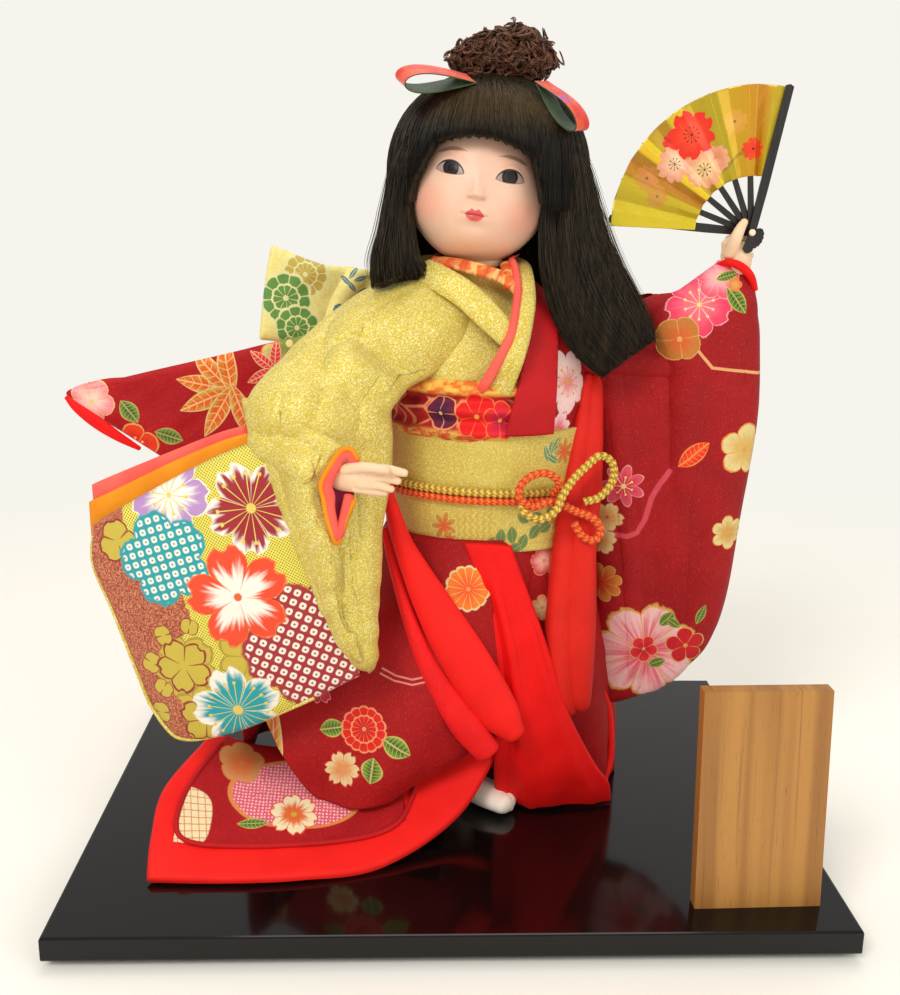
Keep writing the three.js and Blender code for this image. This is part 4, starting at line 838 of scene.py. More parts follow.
def bag_pattern(d):
    p, u, v = d.p, d.u, d.v
    plain, gold, white, teal, crimson = (206, 182, 62), (232, 206, 96), (250, 242, 226), (26, 160, 168), (160, 22, 36)
    dots = ((u * 3.6 + v * 1.1).sin() * (v * 3.6 - u * 1.1).sin()).step(0.05, 0.5)
    d.colour = p.mix(dots * 0.8, srgb(240, 224, 88), srgb(104, 86, 16))
    d.shapes([(-131, 98, 19, 0.4, 5), (-120, 72, 20, 1, 5), (-98, 106, 17, 0, 5)], plain, (176, 150, 44))
    border = ramp(p, v, [(50, -122), (66, -131), (80, -133), (94, -147), (108, -142), (118, -124), (136, -132),
                         (150, -158), (166, -160), (184, -163)])
    fleck = p.noise(1.1, detail=3.0, rough=0.7)
    brick = p.mix(fleck.step(0.42, 0.62), srgb(158, 50, 36), srgb(214, 140, 92))
    d.lay(1.0 - (u - border + (p.noise(0.25) - 0.5) * 4.0).step(-0.4, 0.4), brick)
    d.shapes([(-163, 157, 11, 0.2, 3), (-141, 113, 5.5, 1.2, 2), (-147.5, 98, 6, 2, 2), (-142, 85.5, 5.5, 0.5, 2),
              (-144, 72, 6, 1.4, 2), (-127.5, 119, 5, 0.2, 2), (-131, 98.5, 14.5, 0.4, 5), (-120.5, 72, 14, 1, 5)],
             plain, (146, 34, 26))
    d.tie_dye(-70, 113, 33, 0.3, (170, 40, 46), 4.9, -0.42, 0.18)
    d.bloom(-137, 181, 21, 1.27, 5, 0.36, white, (186, 142, 196), white, gold, tip=0.1, stamens=10, line=0.03,
            streak=0.45, fade=0.35, full=0.75, from_centre=0.04)
    d.tie_dye(-139, 151, 23.5, 0.5, teal, 4.5, 0.36)
    fine = dict(tip=0.12, line=0.02, streak=0.5, from_centre=0.09)
    d.bloom(-96.7, 177.7, 22.5, -0.94, 5, 0.38, crimson, white, white, gold, stamens=16, fade=0.72, full=1.0,
            thread=0.72, **fine)
    d.bloom(-104.8, 78.1, 23, -0.63, 5, 0.38, teal, white, white, gold, stamens=18, fade=0.66, full=0.98,
            thread=0.62, **fine)
    d.bloom(-103.3, 135.5, 26, -0.63, 5, 0.42, white, (240, 72, 30), (240, 110, 50), (236, 96, 40), tip=0.12,
            line=0.03, streak=0.45, fade=0.42, full=0.72, from_centre=0.06)


def wing_pattern(d):
    gold, green, cream, blue = (206, 178, 72), (98, 152, 62), (240, 236, 168), (60, 110, 130)
    d.colour = d.p.mix(d.p.noise(0.9, detail=3.0).step(0.4, 0.7) * 0.5, srgb(252, 240, 150), srgb(232, 214, 104))
    for x, y, size, petals, tint in ((-80, 279, 13, 12, gold), (-91, 266, 15, 10, green), (-85, 250, 13, 10, green),
                                     (60, 208, 15, 12, green), (20, 235, 13, 12, gold), (80, 180, 12, 10, green)):
        for share, turn, line, heart in ((1, 0.2, 0.09, 0.12), (0.55, 0.5, 0.12, 0.18)):
            d.bloom(x, y, size * share, turn, petals, 0.14, tint, tint, cream, cream, power=0.5, line=line,
                    from_centre=heart)
    d.leaves([(-54, 280, 0.9), (-50, 277, 0.3), (-55, 273, 2.2), (-49, 270, 0.5), (-58, 276, 2.4)],
             blue, blue, cream, 4.2, 1.5)
    d.bloom(-61.8, 260, 3.6, 0, 8, 0.05, blue, blue, cream, cream, line=0.06)


def within(value, middle, half, low, high):
    """1 near the middle, falling to 0 between the shares low and high of half."""
    return 1.0 - ((value - middle) / half).abs().step(low, high)


def obi_pattern(d):
    """u runs round the sash from its middle front, v is the height."""
    p, u, v = d.p, d.u, d.v
    green, orange, cream, gold = (62, 124, 74), (222, 92, 36), (234, 226, 160), (196, 156, 52)
    d.lay((1.0 - u.step(-62.0, -34.0)) * 0.55, (196, 130, 40))
    zigzag = (u * 1.6 + (v * 1.6).sin() * 1.2).sin().step(0.1, 0.5)
    d.lay(zigzag * within(u, -8.0, 12.0, 0.8, 1.1) * within(v, 158.0, 1.0, 9.0, 11.0) * 0.6, gold)
    d.leaves([(2, 151, 1.2), (8, 155, 1.5), (15, 156, 1.7), (-3, 149, 0.6), (22, 152, 1.2), (29, 157, 0.9),
              (36, 159, 0.5), (31, 164, 2.4), (22, 165, 2.8), (39, 165, 1.9), (17, 148.5, 0.5)],
             green, (84, 146, 84), gold, 4.8, 3.4)
    d.leaves([(38, 199, 1.4), (41.5, 201, 1), (35, 197, 1.9), (43, 197, 0.5), (39, 194, 2.6)],
             green, (96, 150, 84), cream, 5.0, 2.2)
    for x, y, size in ((-27, 160, 8), (-24, 153, 5), (47, 197, 7.5), (44, 161, 5.5)):
        d.bloom(x, y, size, 0.4, 7, 0.5, orange, gold, cream, orange, power=1.4, line=0.04)
    d.scatter(u, v, 40.0, 12.0, 9.0, 0.75, petals=10, notch=0.2, power=0.6, inner=green, outer=(110, 160, 90),
              edge=cream, centre=gold, line=0.08)
    speck = p.cells(0.9, p.vector(u, v, 0.0))
    region = within(u, -30.0, 16.0, 0.7, 1.2).most(within(u, 24.0, 10.0, 0.7, 1.2)) * v.step(178.0, 186.0)
    d.lay((1.0 - speck.step(0.2, 0.4)) * region * 0.8, gold)


def scarf_pattern(d):
    """u runs round the waist: crimson with gold-outlined shapes between orange and gold rolls."""
    p, u, v = d.p, d.u, d.v
    gold, outline = (238, 190, 84), (240, 120, 70)
    d.colour = p.mix(p.noise(0.12, p.vector(u, v, 0.0)).step(0.45, 0.6), srgb(188, 34, 32), srgb(150, 16, 34))
    mottle = p.noise(0.22, p.vector(u, v * 2.0, 3.0), 3.0)
    d.lay(v.step(226.0, 228.0), p.mix(mottle.step(0.4, 0.6), tone(gold), srgb(236, 116, 44)))
    d.lay(1.0 - v.step(208.0, 211.0), p.mix(mottle.step(0.42, 0.6), srgb(226, 178, 84), srgb(210, 84, 44)))
    boxes = p.cells(0.075, p.vector(u, v * 1.3, 0.0), "DISTANCE_TO_EDGE")
    middle = v.step(210.0, 212.0) * (1.0 - v.step(224.0, 226.0))
    d.lay((1.0 - boxes.step(0.03, 0.07)) * middle * 0.85, (238, 160, 110))
    d.bloom(-8, 217, 12, 0.3, 6, 0.25, (226, 30, 30), (226, 30, 30), outline, gold)
    d.bloom(5, 215, 10, 1, 5, 0.3, (200, 30, 70), (226, 40, 40), outline, gold)
    d.bloom(-27, 218, 9, 0.8, 4, 0.1, (70, 30, 66), (110, 30, 60), (240, 150, 100), gold, line=0.07)


def sleeve_pattern(d):
    gold, cream, rose, pale = (214, 160, 84), (226, 206, 140), (226, 70, 96), (240, 170, 170)
    d.line([(119.4, 249.7), (128.9, 239.6), (151.2, 236.9), (158, 236)], 0.8, (226, 168, 110))
    d.line([(111.9, 184.9), (107.5, 178), (103.8, 170.2), (101, 158), (97.4, 150.9), (92, 148.6), (85.3, 149),
            (78, 150.5)], 1.5, (206, 70, 84))
    d.leaves([(123, 194.5, 0.72, 10, 5)], (238, 70, 30), (226, 40, 26), (240, 150, 70))
    small = dict(tip=0.1, line=0.04)
    d.bloom(120, 271, 17, 0.3, 5, 0.3, (244, 110, 130), (232, 60, 96), pale, cream, tip=0.1, stamens=10, line=0.03,
            from_centre=0.05)
    d.bloom(129, 284, 11, 1, 5, 0.3, pale, (236, 84, 110), pale, cream, line=0.03)
    d.bloom(111, 254, 11.5, 0.6, 4, 0.2, (206, 96, 40), (190, 120, 50), gold, gold, line=0.04)
    d.bloom(150, 197, 14, 2.3, 5, 0.34, (216, 176, 96), cream, (226, 150, 70), gold)
    d.bloom(145, 152, 9.5, 0.4, 6, 0.36, (206, 160, 80), cream, gold, gold)
    d.bloom(89, 176, 11.5, 1.3, 7, 0.42, (206, 40, 60), (214, 80, 96), pale, cream, power=1.2, stamens=7, line=0.03)
    d.bloom(82, 158, 8.5, 0.1, 5, 0.34, gold, cream, (226, 120, 90), rose, **small)
    d.bloom(79.5, 145, 8.5, 0.9, 5, 0.34, gold, cream, (226, 120, 90), rose, **small)
    d.bloom(81, 121, 11, 0.5, 8, 0.3, (196, 70, 30), (206, 130, 50), gold, (226, 40, 40))
    d.bloom(106, 83, 29, 0.5, 7, 0.24, (222, 84, 104), (240, 188, 184), gold, gold, power=0.7, tip=0.04, streak=0.9,
            fade=0.0, full=1.0)
    d.bloom(105, 85, 8, 0.2, 5, 0.4, (190, 20, 40), (214, 40, 50), gold, gold)
    d.bloom(127, 88, 11, 0.8, 5, 0.4, (206, 30, 40), (196, 24, 36), gold, gold)
    d.leaves([(138.5, 273.5, -0.9, 8.5, 4.2), (133.5, 285, 0.3, 6, 2.4), (116, 103, 0.9, 5.5, 3.4),
              (119.5, 101, -0.6, 4.5, 2.6), (112.5, 77, 0.5, 5, 3), (134, 106, 1.2, 6, 2.6)],
             (52, 96, 40), (86, 134, 50), (200, 190, 90))
    d.bloom(137.5, 281, 3.6, 0, 5, 0.3, gold, (226, 120, 60), gold, gold)


def skirt_pattern(d):
    gold, cream, thread = (224, 150, 90), (226, 206, 150), (222, 130, 120)
    d.leaves([(-60.5, 58.5, 0.2, 6.5, 4.6), (-28.3, 51.5, -0.5, 7.5, 5.4), (-40, 38.5, 1.4, 6.5, 5.4)],
             (58, 104, 40), (112, 156, 50), (214, 196, 110))
    for size, turn, line, heart in ((12.0, 0.2, 0.06, 0.08), (7.4, 0.42, 0.09, 0.14)):
        d.bloom(-44.4, 58.5, size, turn, 14, 0.10, (196, 20, 24), (222, 36, 28), (240, 150, 100), gold, power=0.5,
                line=line, from_centre=heart)
    d.bloom(-55.4, 37.5, 10, 0.1, 6, 0.36, gold, cream, (214, 90, 70), gold, tip=0.14, stamens=8)
    d.leaves([(-91, 51, 1.75, 17, 5)], (206, 96, 40), (216, 180, 80), (236, 190, 150))
    d.bloom(-67, 75, 7, 0.7, 5, 0.4, (226, 90, 100), (196, 40, 60), (240, 150, 150), gold, tip=0.1)
    d.line([(-36, 87), (-29, 84), (-20, 83), (-10, 86)], 0.5, thread)
    d.line([(-35, 89.5), (-28, 86.5), (-20, 85.5), (-9, 89)], 0.5, thread)
    d.bloom(46, 140, 8, 0.7, 5, 0.3, (240, 180, 160), (206, 60, 80), gold, gold)
    d.line([(31, 152), (44, 149), (49, 145), (50, 122)], 0.8, (222, 110, 80))
    d.bloom(46, 115, 7, 0.4, 6, 0.3, cream, gold, (236, 120, 90), gold)
    d.bloom(7, 130, 11, 0.3, 14, 0.1, (232, 92, 30), (240, 130, 40), cream, gold, power=0.5, line=0.07,
            from_centre=0.08)
    behind = d.deep.step(-14.0, -4.0)
    d.scatter(d.u + d.deep * 0.4, d.v + 300.0 * behind, 52.0, 33.0, 9.0, 0.72, petals=5, notch=0.34, tip=0.12,
              inner=WHITE, outer=(240, 150, 150), edge=GOLD, centre=GOLD, stamens=10)


def slipped_pattern(d):
    p = d.p
    orange, cream, rose = srgb(232, 96, 26), (244, 214, 140), (226, 40, 66)
    for a in (2.95, 2.35, 3.55, 1.75, 4.2, 5.1):
        tip = p.mix(p.noise(0.3).step(0.35, 0.6), orange, srgb(206, 176, 74))
        d.leaves([(-119 + 14 * math.cos(a), 218 + 12.5 * math.sin(a), a, 16.5, 5.2)], orange, tip, cream)
    d.bloom(-88, 243, 17, 0.5, 6, 0.3, (128, 150, 70), (222, 196, 120), (236, 120, 70), cream)
    d.leaves([(-96 + 7.5 * math.cos(a), 229 + 7.5 * math.sin(a), a, 9, 3.2) for a in (0.5, 1.5, 2.5, 3.6, 4.8)],
             rose, (236, 70, 84), cream)
    d.bloom(-194, 211, 12.5, 0.2, 5, 0.25, (250, 220, 200), (240, 150, 150), cream, cream, line=0.03)
    d.bloom(-172, 186, 14, 0.9, 5, 0.3, (226, 40, 24), (236, 66, 30), (236, 170, 90), cream, stamens=8)
    d.leaves([(-174, 206, -0.9, 7.5, 4.8), (-153, 193, -0.3, 8, 4.4)], (50, 104, 40), (120, 156, 60), (196, 190, 110))


def bodice_pattern(d):
    """u runs round the body, v is the height: cherry petals beside the collar."""
    rose, pale = (236, 110, 130), (250, 216, 212)
    d.bloom(47, 232, 17, 0.4, 5, 0.32, rose, pale, pale, GOLD, tip=0.14, stamens=10, line=0.03, streak=0.4, fade=0.0,
            full=0.6, from_centre=0.05)
    d.bloom(42, 208, 10, 1.2, 5, 0.32, rose, pale, pale, GOLD, tip=0.14, line=0.03)
    d.bloom(66, 222, 8, 1.2, 5, 0.32, (226, 96, 40), (206, 130, 60), GOLD, GOLD, line=0.04)


def train_pattern(d):
    """Seen from above: a fan shape, blossom, leaves and a patch of checks."""
    p, u, v = d.p, d.u, d.deep + 8.5
    d.v = v
    rose, cream, gold, orange = srgb(226, 96, 120), (244, 226, 180), (222, 140, 70), (226, 110, 50)
    fan = (((u + 80.0) / 34.0) ** 2.0 + ((v + 42.0) / 20.0) ** 2.0).sqrt()
    spots = 1.0 - p.cells(0.55, p.vector(u, v, 0.0), loose=0.2).step(0.25, 0.38)
    d.lay(1.0 - fan.step(0.97, 1.02), p.mix(spots, rose, srgb(250, 200, 190)))
    d.lay(1.0 - (fan - 0.99).abs().step(0.02, 0.05), gold)
    a, b = u * 0.98 + v * 0.2, v * 0.98 - u * 0.2
    quilt = (((u + 132.0) / 12.0).abs() ** 3.0 + ((v + 62.0) / 15.0).abs() ** 3.0) ** 0.333
    checks = (a * 0.9).sin().abs().step(0.0, 0.35) * (b * 0.9).sin().abs().step(0.0, 0.35)
    d.lay(1.0 - quilt.step(0.95, 1.02), p.mix(checks, srgb(214, 120, 50), tone(cream)))
    d.bloom(-80, -54, 13, 0.3, 6, 0.34, orange, cream, (226, 90, 60), GOLD, tip=0.12, fade=0.35, full=0.7)
    d.bloom(-110, -26, 12, 0.9, 5, 0.2, (232, 120, 60), (214, 150, 90), gold, gold)
    d.bloom(-46, -80, 10, 0.2, 5, 0.3, cream, (236, 100, 130), cream, gold, line=0.04)
    d.leaves([(-100, -60, 0.1, 8, 3), (-86, -80, 1.5, 8, 3), (-65, -80, 0.4, 7, 4), (-54, -74, 0.9, 8, 2.6)],
             (58, 104, 40), (112, 150, 50), (206, 196, 110))


def collar_pattern(d):
    p = d.p
    d.colour = p.mix(p.noise(0.16, p.vector(d.u, d.v, 0.0)).step(0.46, 0.56), srgb(228, 108, 46), srgb(236, 186, 110))
    d.lay(p.noise(0.2, p.vector(d.u, 9.0, 0.0)).step(0.5, 0.6) * 0.6, (206, 60, 40))


# Board, plaque and fan

LACQUER, MATT_LACQUER = lacquer("lacquer"), lacquer("lacquer_dull", 0.3)
WOOD = wood("plaque_wood")
GOLD_CLOTH = lame("gold_cloth", (190, 158, 32), (255, 255, 200), (240, 220, 88), 0.3)
RED_LINING = silk("red_lining", (242, 12, 8), (218, 8, 6), grain=2.6, deep=0.08, streak=0.35)
EDGE_RED = silk("edge_red", (246, 24, 24), (214, 10, 16), grain=1.2, deep=0.3, specks=0.35)
STRIP_RED = silk("strip_red", (222, 34, 18), (196, 20, 12), grain=2.6, deep=0.08, streak=0.3)
ROLL_RED = silk("roll_red", (246, 28, 20), (226, 18, 14), grain=2.6, deep=0.08)
COLLAR_RED = silk("collar_red", (190, 18, 24), (166, 10, 18), grain=1.7, deep=0.14)
SKIN = skin("plaster_skin")


def ebony(name):
    p = Paint(name)
    at = p.node("TexCoord", out=3)
    x, y, z = p.xyz(at)
    grain = p.noise(1.0, p.vector(x * 900.0, y * 900.0, z * 120.0), 2.0)
    edge = p.noise(420.0, at, 2.0)
    colour = p.mix(grain.step(0.4, 0.8), srgb(16, 12, 11), srgb(38, 28, 24))
    return p.done(colour, 0.28 + edge * 0.16, p.bump(grain, 0.04, 0.6), Coat_Weight=0.35, Coat_Roughness=0.12)


def steel(name):
    p = Paint(name)
    scratch = p.noise(1500.0, p.node("TexCoord", out=3), 3.0)
    colour = p.mix(scratch, srgb(150, 150, 152), srgb(186, 186, 190))
    return p.done(colour, 0.28 + scratch * 0.15, p.bump(scratch, 0.02, 0.5), Metallic=1.0)


def straw(name):
    p = Paint(name)
    x, y, z = p.xyz(p.node("TexCoord", out=3))
    fibre = p.noise(1.0, p.vector(x * 1200.0, y * 1200.0, z * 60.0), 3.0)
    return p.done(p.mix(fibre, srgb(150, 120, 70), srgb(214, 186, 124)), 0.75 + fibre * 0.15, p.bump(fibre, 0.4, 0.8))


def bone(name):
    p = Paint(name)
    mottle = p.noise(700.0, p.node("TexCoord", out=3), 2.0)
    colour = p.mix(mottle, srgb(238, 214, 176), srgb(246, 228, 196))
    return p.done(colour, 0.3 + mottle * 0.1, Coat_Weight=0.3, Coat_Roughness=0.2)


EBONY = ebony("fan_lacquer")
worn("base_board", LACQUER, 0.5)
worn("base_plinth", MATT_LACQUER, 0.4)
worn("name_plaque", WOOD, 0.7, 3)
worn("stand_rod", steel("steel"))
for part in ("body_core", "arm_right", "arm_left"):
    worn(part, straw("straw_" + part))
for part in ["fan_guard_front", "fan_guard_back"] + [f"fan_rib_{k}" for k in range(1, 6)]:
    worn(part, EBONY, 0.12, 2)
worn("fan_rivet", bone("rivet_cream"), 0.15, 2)

FAN = dict(x=144.4, y=-17.0, height=306.1, inner=27.0, outer=68.9, first=79.5)
FOLD, FOLDS = 16, 6
# How bright and how warm the gold looks at each turn about the rivet, in degrees
FAN_LIGHT = [(79.0, 0.45), (84.0, 0.35), (91.0, 0.3), (100.0, 0.45), (108.4, 0.42), (109.4, 0.2), (122.8, 0.3),
             (123.8, 0.75), (130.5, 0.6), (131.5, 0.12), (140.6, 0.2), (141.4, 1.0), (146.4, 0.9), (147.2, 0.0),
             (157.0, 0.1), (157.8, 0.5), (167.0, 0.35), (168.0, 0.62), (178.5, 0.7)]
FAN_WARMTH = [(79.0, 0.0), (84.5, 0.1), (88.0, 0.95), (96.0, 0.7), (108.5, 0.25), (110.0, 0.0), (131.0, 0.1),
              (133.0, 0.55), (141.0, 0.2), (147.0, 0.5), (152.0, 0.95), (157.4, 0.5), (158.4, 0.05), (178.5, 0.0)]
FAN_PALE, FAN_BLUSH, FAN_RED, FAN_RUST = (236, 190, 150), (232, 158, 124), (206, 40, 20), (206, 130, 80)
# Each blossom's x, height, size, turn, two colours, stamens and how far it shows
FAN_BLOSSOMS = [
    (104.6, 347.0, 6.5, 0.9, FAN_RED, FAN_RED, 0, 1.0), (124.5, 340.5, 7.0, 0.3, (222, 140, 90), FAN_BLUSH, 0, 1.0),
    (104.9, 337.8, 9.0, 0.2, FAN_PALE, FAN_BLUSH, 9, 1.0), (119.5, 335.5, 9.5, 1.0, (240, 200, 140), FAN_BLUSH, 9, 1.0),
    (112.0, 351.5, 12.0, 0.35, (248, 70, 30), (232, 44, 24), 11, 1.0),
    (142.0, 345.5, 5.6, 0.8, (240, 50, 20), (226, 70, 20), 0, 1.0),
    (92.0, 331.0, 6.5, 0.5, FAN_RUST, (206, 130, 60), 0, 0.55),
    (97.5, 322.5, 5.6, 1.3, FAN_RUST, (206, 130, 60), 0, 0.6),
    (132.5, 358.0, 6.0, 1.0, (232, 170, 90), (232, 160, 70), 0, 0.5)]


def fan_paper(name):
    """Gold paper: alternate halves of each fold catch the light, with cherry blossom drawn over them."""
    p = Paint(name)
    x, _, z = p.xyz()
    crackle = p.noise(0.9, detail=4.0, rough=0.65)
    turn = p.node("Math", z - FAN["height"], x - FAN["x"], operation="ARCTAN2") * (180.0 / math.pi)
    light, warm = ramp(p, turn, FAN_LIGHT), ramp(p, turn, FAN_WARMTH)
    dim, bright = p.mix(warm, srgb(150, 128, 8), srgb(172, 96, 0)), p.mix(warm, srgb(236, 214, 40), srgb(236, 160, 12))
    colour = p.mix(light, dim, bright)
    colour = p.mix(crackle.step(0.35, 0.75) * 0.3, colour, srgb(196, 160, 30))
    faint = (x * 0.5).sin() * 1.2 + z - 336.0 - (x - 128.0) * 0.75
    branch = (1.0 - faint.abs().step(0.3, 1.6)) * x.step(121.0, 124.0) * (1.0 - x.step(144.0, 147.0))
    drawing = Drawing(p, x, z, p.mix(branch * 0.45, colour, srgb(96, 84, 10)))
    for at_x, at_z, size, turned, inner, outer, stamens, show in FAN_BLOSSOMS:
        drawing.bloom(at_x, at_z, size, turned, 5, 0.34, inner, outer, inner, (70, 30, 20), stamens=stamens, show=show,
                      from_centre=0.03 if stamens else 0.1, power=0.5, tip=0.16, line=0.0, streak=0.12, thread=0.30)
    return p.done(drawing.colour, 0.3 + crackle * 0.14, p.bump(crackle, 0.08, 0.7), Metallic=0.3)


FAN_PAPER = fan_paper("fan_foil")


def fan_panel(k):
    """One fold of the paper, from stick k to the next: flat on each stick and raised between them."""
    depth = [0.75, *(i - 0.75 for i in range(1, FOLDS + 1))]
    on_stick, on_guard, past_guard = 3.1, 4.6, 2.7
    a, b = FAN["first"] + FOLD * k, FAN["first"] + FOLD * (k + 1)
    beyond = past_guard if k == FOLDS - 1 else 0.0
    stops = [(a, depth[k]), (a + (on_stick if k else on_guard), depth[k]), ((a + b) / 2, depth[k] + 2.2),
             (b - on_stick, depth[k + 1]), (b + 3, depth[k + 1])]
    angles, depths = np.array(stops).T
    share = np.linspace(0, 1, 41)
    angle = a + (FOLD + beyond) * share
    y = FAN["y"] + np.interp(angle, angles, depths) + 0.25
    aa, rr = np.meshgrid(np.radians(angle), np.linspace(FAN["inner"], FAN["outer"], 60))
    yy = np.broadcast_to(y, aa.shape) + 0.07 * np.sin(rr * 0.5 + aa * 40) * np.sin(share * math.pi)[None, :]
    grid = np.stack([FAN["x"] + rr * np.cos(aa), yy, FAN["height"] + rr * np.sin(aa)], -1)
    piece = padded_cloth(f"fan_leaf_panel_{k + 1}", grid, 0.2, FAN_PAPER, cloth=grid)
    dress(piece, None, "fan_foil", "fan_leaf")
    inner = FAN["inner"]
    start, end = (metres(FAN["x"] + inner * math.cos(g), FAN["y"] + 2.5, FAN["height"] + inner * math.sin(g))
                  for g in map(math.radians, (a, b)))
    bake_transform(piece)


for k in range(FOLDS):
    fan_panel(k)


# Hands and feet

def finger(*stops):
    return limb_rings(stops, sides=20, dome=0.95)


hand_right = joined("right_hand", [
    limb_rings([[-62, -69, 197, 6, 6.2], [-54, -75, 196.5, 7.4, 5.6], [-45, -80, 196.5, 7.2, 4.6],
                [-38, -82, 196, 6, 4]], sides=30),
    finger([-44, -83, 200, 2.6, 2.6], [-34, -85, 201.5, 2.3, 2.3], [-25, -86, 200, 1.9, 1.9]),
    finger([-44, -82, 197, 2.5, 2.6], [-35, -84, 197.5, 2.2, 2.3], [-28, -84.5, 196, 1.9, 1.9]),
    finger([-45, -82, 194, 2.4, 2.6], [-37, -83.5, 193.6, 2.2, 2.3], [-31, -83.5, 192, 1.8, 1.9]),
    finger([-47, -80.5, 191.5, 2.3, 2.5], [-39, -82, 190.6, 2.1, 2.2], [-34, -82, 189.6, 1.7, 1.8]),
    finger([-52, -80, 200, 2.8, 2.8], [-42, -86, 202.5, 2.4, 2.4], [-33, -89, 202, 2, 2]),
], SKIN, voxel=0.42, soften=3)
remember(hand_right)
dress(hand_right, "doll", "plaster_skin", "hand_right")

GRIP = FAN["y"] + 6.5
hand_left = joined("left_hand", [
    limb_rings([[137.5, -11, 277, 5.6, 5.4], [138.5, -11, 285, 6.6, 6], [139.5, -11, 291, 7.6, 6.6],
                [139, -10.5, 297, 7.6, 6.2], [137, -9.5, 302, 5.6, 4.6]], sides=30),
    finger([134.8, -15, 296, 3.5, 3.4], [135.8, -19.2, 302.5, 3.1, 2.9], [138, -19, 308, 2.5, 2.4],
           [139.8, -18.5, 311, 1.9, 1.9]),
    finger([136.5, -7.3, 302, 2.7, 2.7], [142, GRIP + 2.85, 304.5, 2.4, 2.4], [147, GRIP + 2.5, 304.5, 2, 2]),
    finger([136.5, -7.2, 298, 2.7, 2.7], [143, GRIP + 2.85, 300, 2.4, 2.4], [148, GRIP + 2.5, 299.4, 2, 2]),
    finger([137, -7.2, 293.5, 2.6, 2.6], [143, GRIP + 2.75, 295.4, 2.3, 2.3], [147.2, GRIP + 2.4, 294.6, 1.9, 1.9]),
    finger([137, -7.2, 289.5, 2.5, 2.5], [142, GRIP + 2.7, 291, 2.2, 2.2], [145.6, GRIP + 2.2, 290.4, 1.7, 1.7]),
], SKIN, voxel=0.42, soften=3)


def clear_fan(points):
    """Moves points out of the room that the folding sticks and their tails sweep."""
    low, high = FAN["y"] + 1 - 0.45, FAN["y"] + 5.5 + 0.95
    r = np.hypot(points[:, 0] - FAN["x"], points[:, 2] - FAN["height"])
    angle = np.degrees(np.arctan2(points[:, 2] - FAN["height"], points[:, 0] - FAN["x"])) % 360
    first, last = FAN["first"], FAN["first"] + 96
    ahead = np.radians(np.clip(np.maximum(first - angle, angle - last), 0, 90)) * r < 2.9
    tails = (r < 8.8) & (np.radians(np.clip(np.maximum(first + 180 - angle, angle - last - 180), 0, 90)) * r < 3.3)
    inside = ((ahead & (angle < 270)) | tails | (r < 4.2)) & (points[:, 1] > low) & (points[:, 1] < high)
    to_front = points[:, 1] < (low + high) / 2 - 1.2
    points[:, 1] = np.where(inside, np.where(to_front, low, high), points[:, 1])
    return points


move_to(hand_left, clear_fan(positions(hand_left)))
remember(hand_left)
dress(hand_left, "doll", "plaster_skin", "hand_left")


def tabi(name):
    p = Paint(name)
    x, y, z = p.xyz()
    weave = (x * 9.0).sin() * (y * 9.0).sin() + (z * 9.0).sin() * 0.5
    soft = p.noise(0.12, detail=3.0)
    colour = p.mix(soft.step(0.35, 0.7), srgb(255, 242, 226), srgb(246, 228, 206))
    colour = p.mix((1.0 - z.step(0.3, 3.0)) * 0.4, colour, srgb(190, 176, 158))
    return p.done(colour, 0.72 + soft * 0.1, p.bump(weave * 0.3 + soft, 0.10, 0.8), Sheen_Weight=0.2,
                  Sheen_Roughness=0.5)


def foot(name, x, y, toe_x, toe_y):
    piece = joined(name, [
        limb_rings([[x, y, 66, 12, 11], [x, y, 40, 10, 9], [x, y - 1, 16, 7.5, 7.5], [x, y - 2, 8, 8, 8]]),
        limb_rings([[x, y + 5, 6.3, 7, 6], [(x + toe_x) / 2, (y + toe_y) / 2, 7.2, 9.6, 6.9],
                    [toe_x, toe_y, 6.0, 7.8, 5.5]], facing=(0, 0, 1), dome=0.8),
    ], tabi("tabi_" + name), voxel=0.8, soften=5)
    p = positions(piece)
    along = unit(np.array([toe_x - x, toe_y - y, 0.0]))
    side = np.array([-along[1], along[0], 0.0])
    rel = p - (toe_x, toe_y, 0)
    s, a = rel @ side, rel @ along
    split = np.exp(-(((s - 1.8) / 0.55) ** 2)) * np.clip((a + 9) / 6, 0, 1)
    seam = 0.25 * np.exp(-((s / 0.5) ** 2)) * (a < -9)
    raised = p[:, 2] - 1.3 * split * (p[:, 2] > 2.5) + seam * (p[:, 2] > 8)
    p[:, 2] = np.maximum(raised, 0.15)
    move_to(piece, p)
    remember(piece)
    return piece


dress(foot("foot_right", 36, 8, 44, -16), "doll", "tabi_cloth", "leg_right")
dress(foot("foot_left", 7, -14, 30, -35), "doll", "tabi_cloth", "leg_left")


# Head

HEAD_TURN = np.array(Matrix.Rotation(math.radians(-4), 3, "Z") @ Matrix.Rotation(math.radians(8), 3, "Y"))
HEAD_AT = np.array([10.0, -2.0, 321.0])


def from_head(points):
    return np.asarray(points) @ HEAD_TURN.T + HEAD_AT


def to_head(points):
    return (np.asarray(points) - HEAD_AT) @ HEAD_TURN


def bump(x, z, cx, cz, rx, rz):
    return np.exp(-(((x - cx) / rx) ** 2) - (((z - cz) / rz) ** 2))


def upper_lid(e):
    """The lid's height at each share e of an eye's half width from its middle."""
    return EYE_LEVEL + np.maximum(1 - np.abs(e) ** 2.2, 0) ** 0.75 * EYE_RISE + e * 0.2


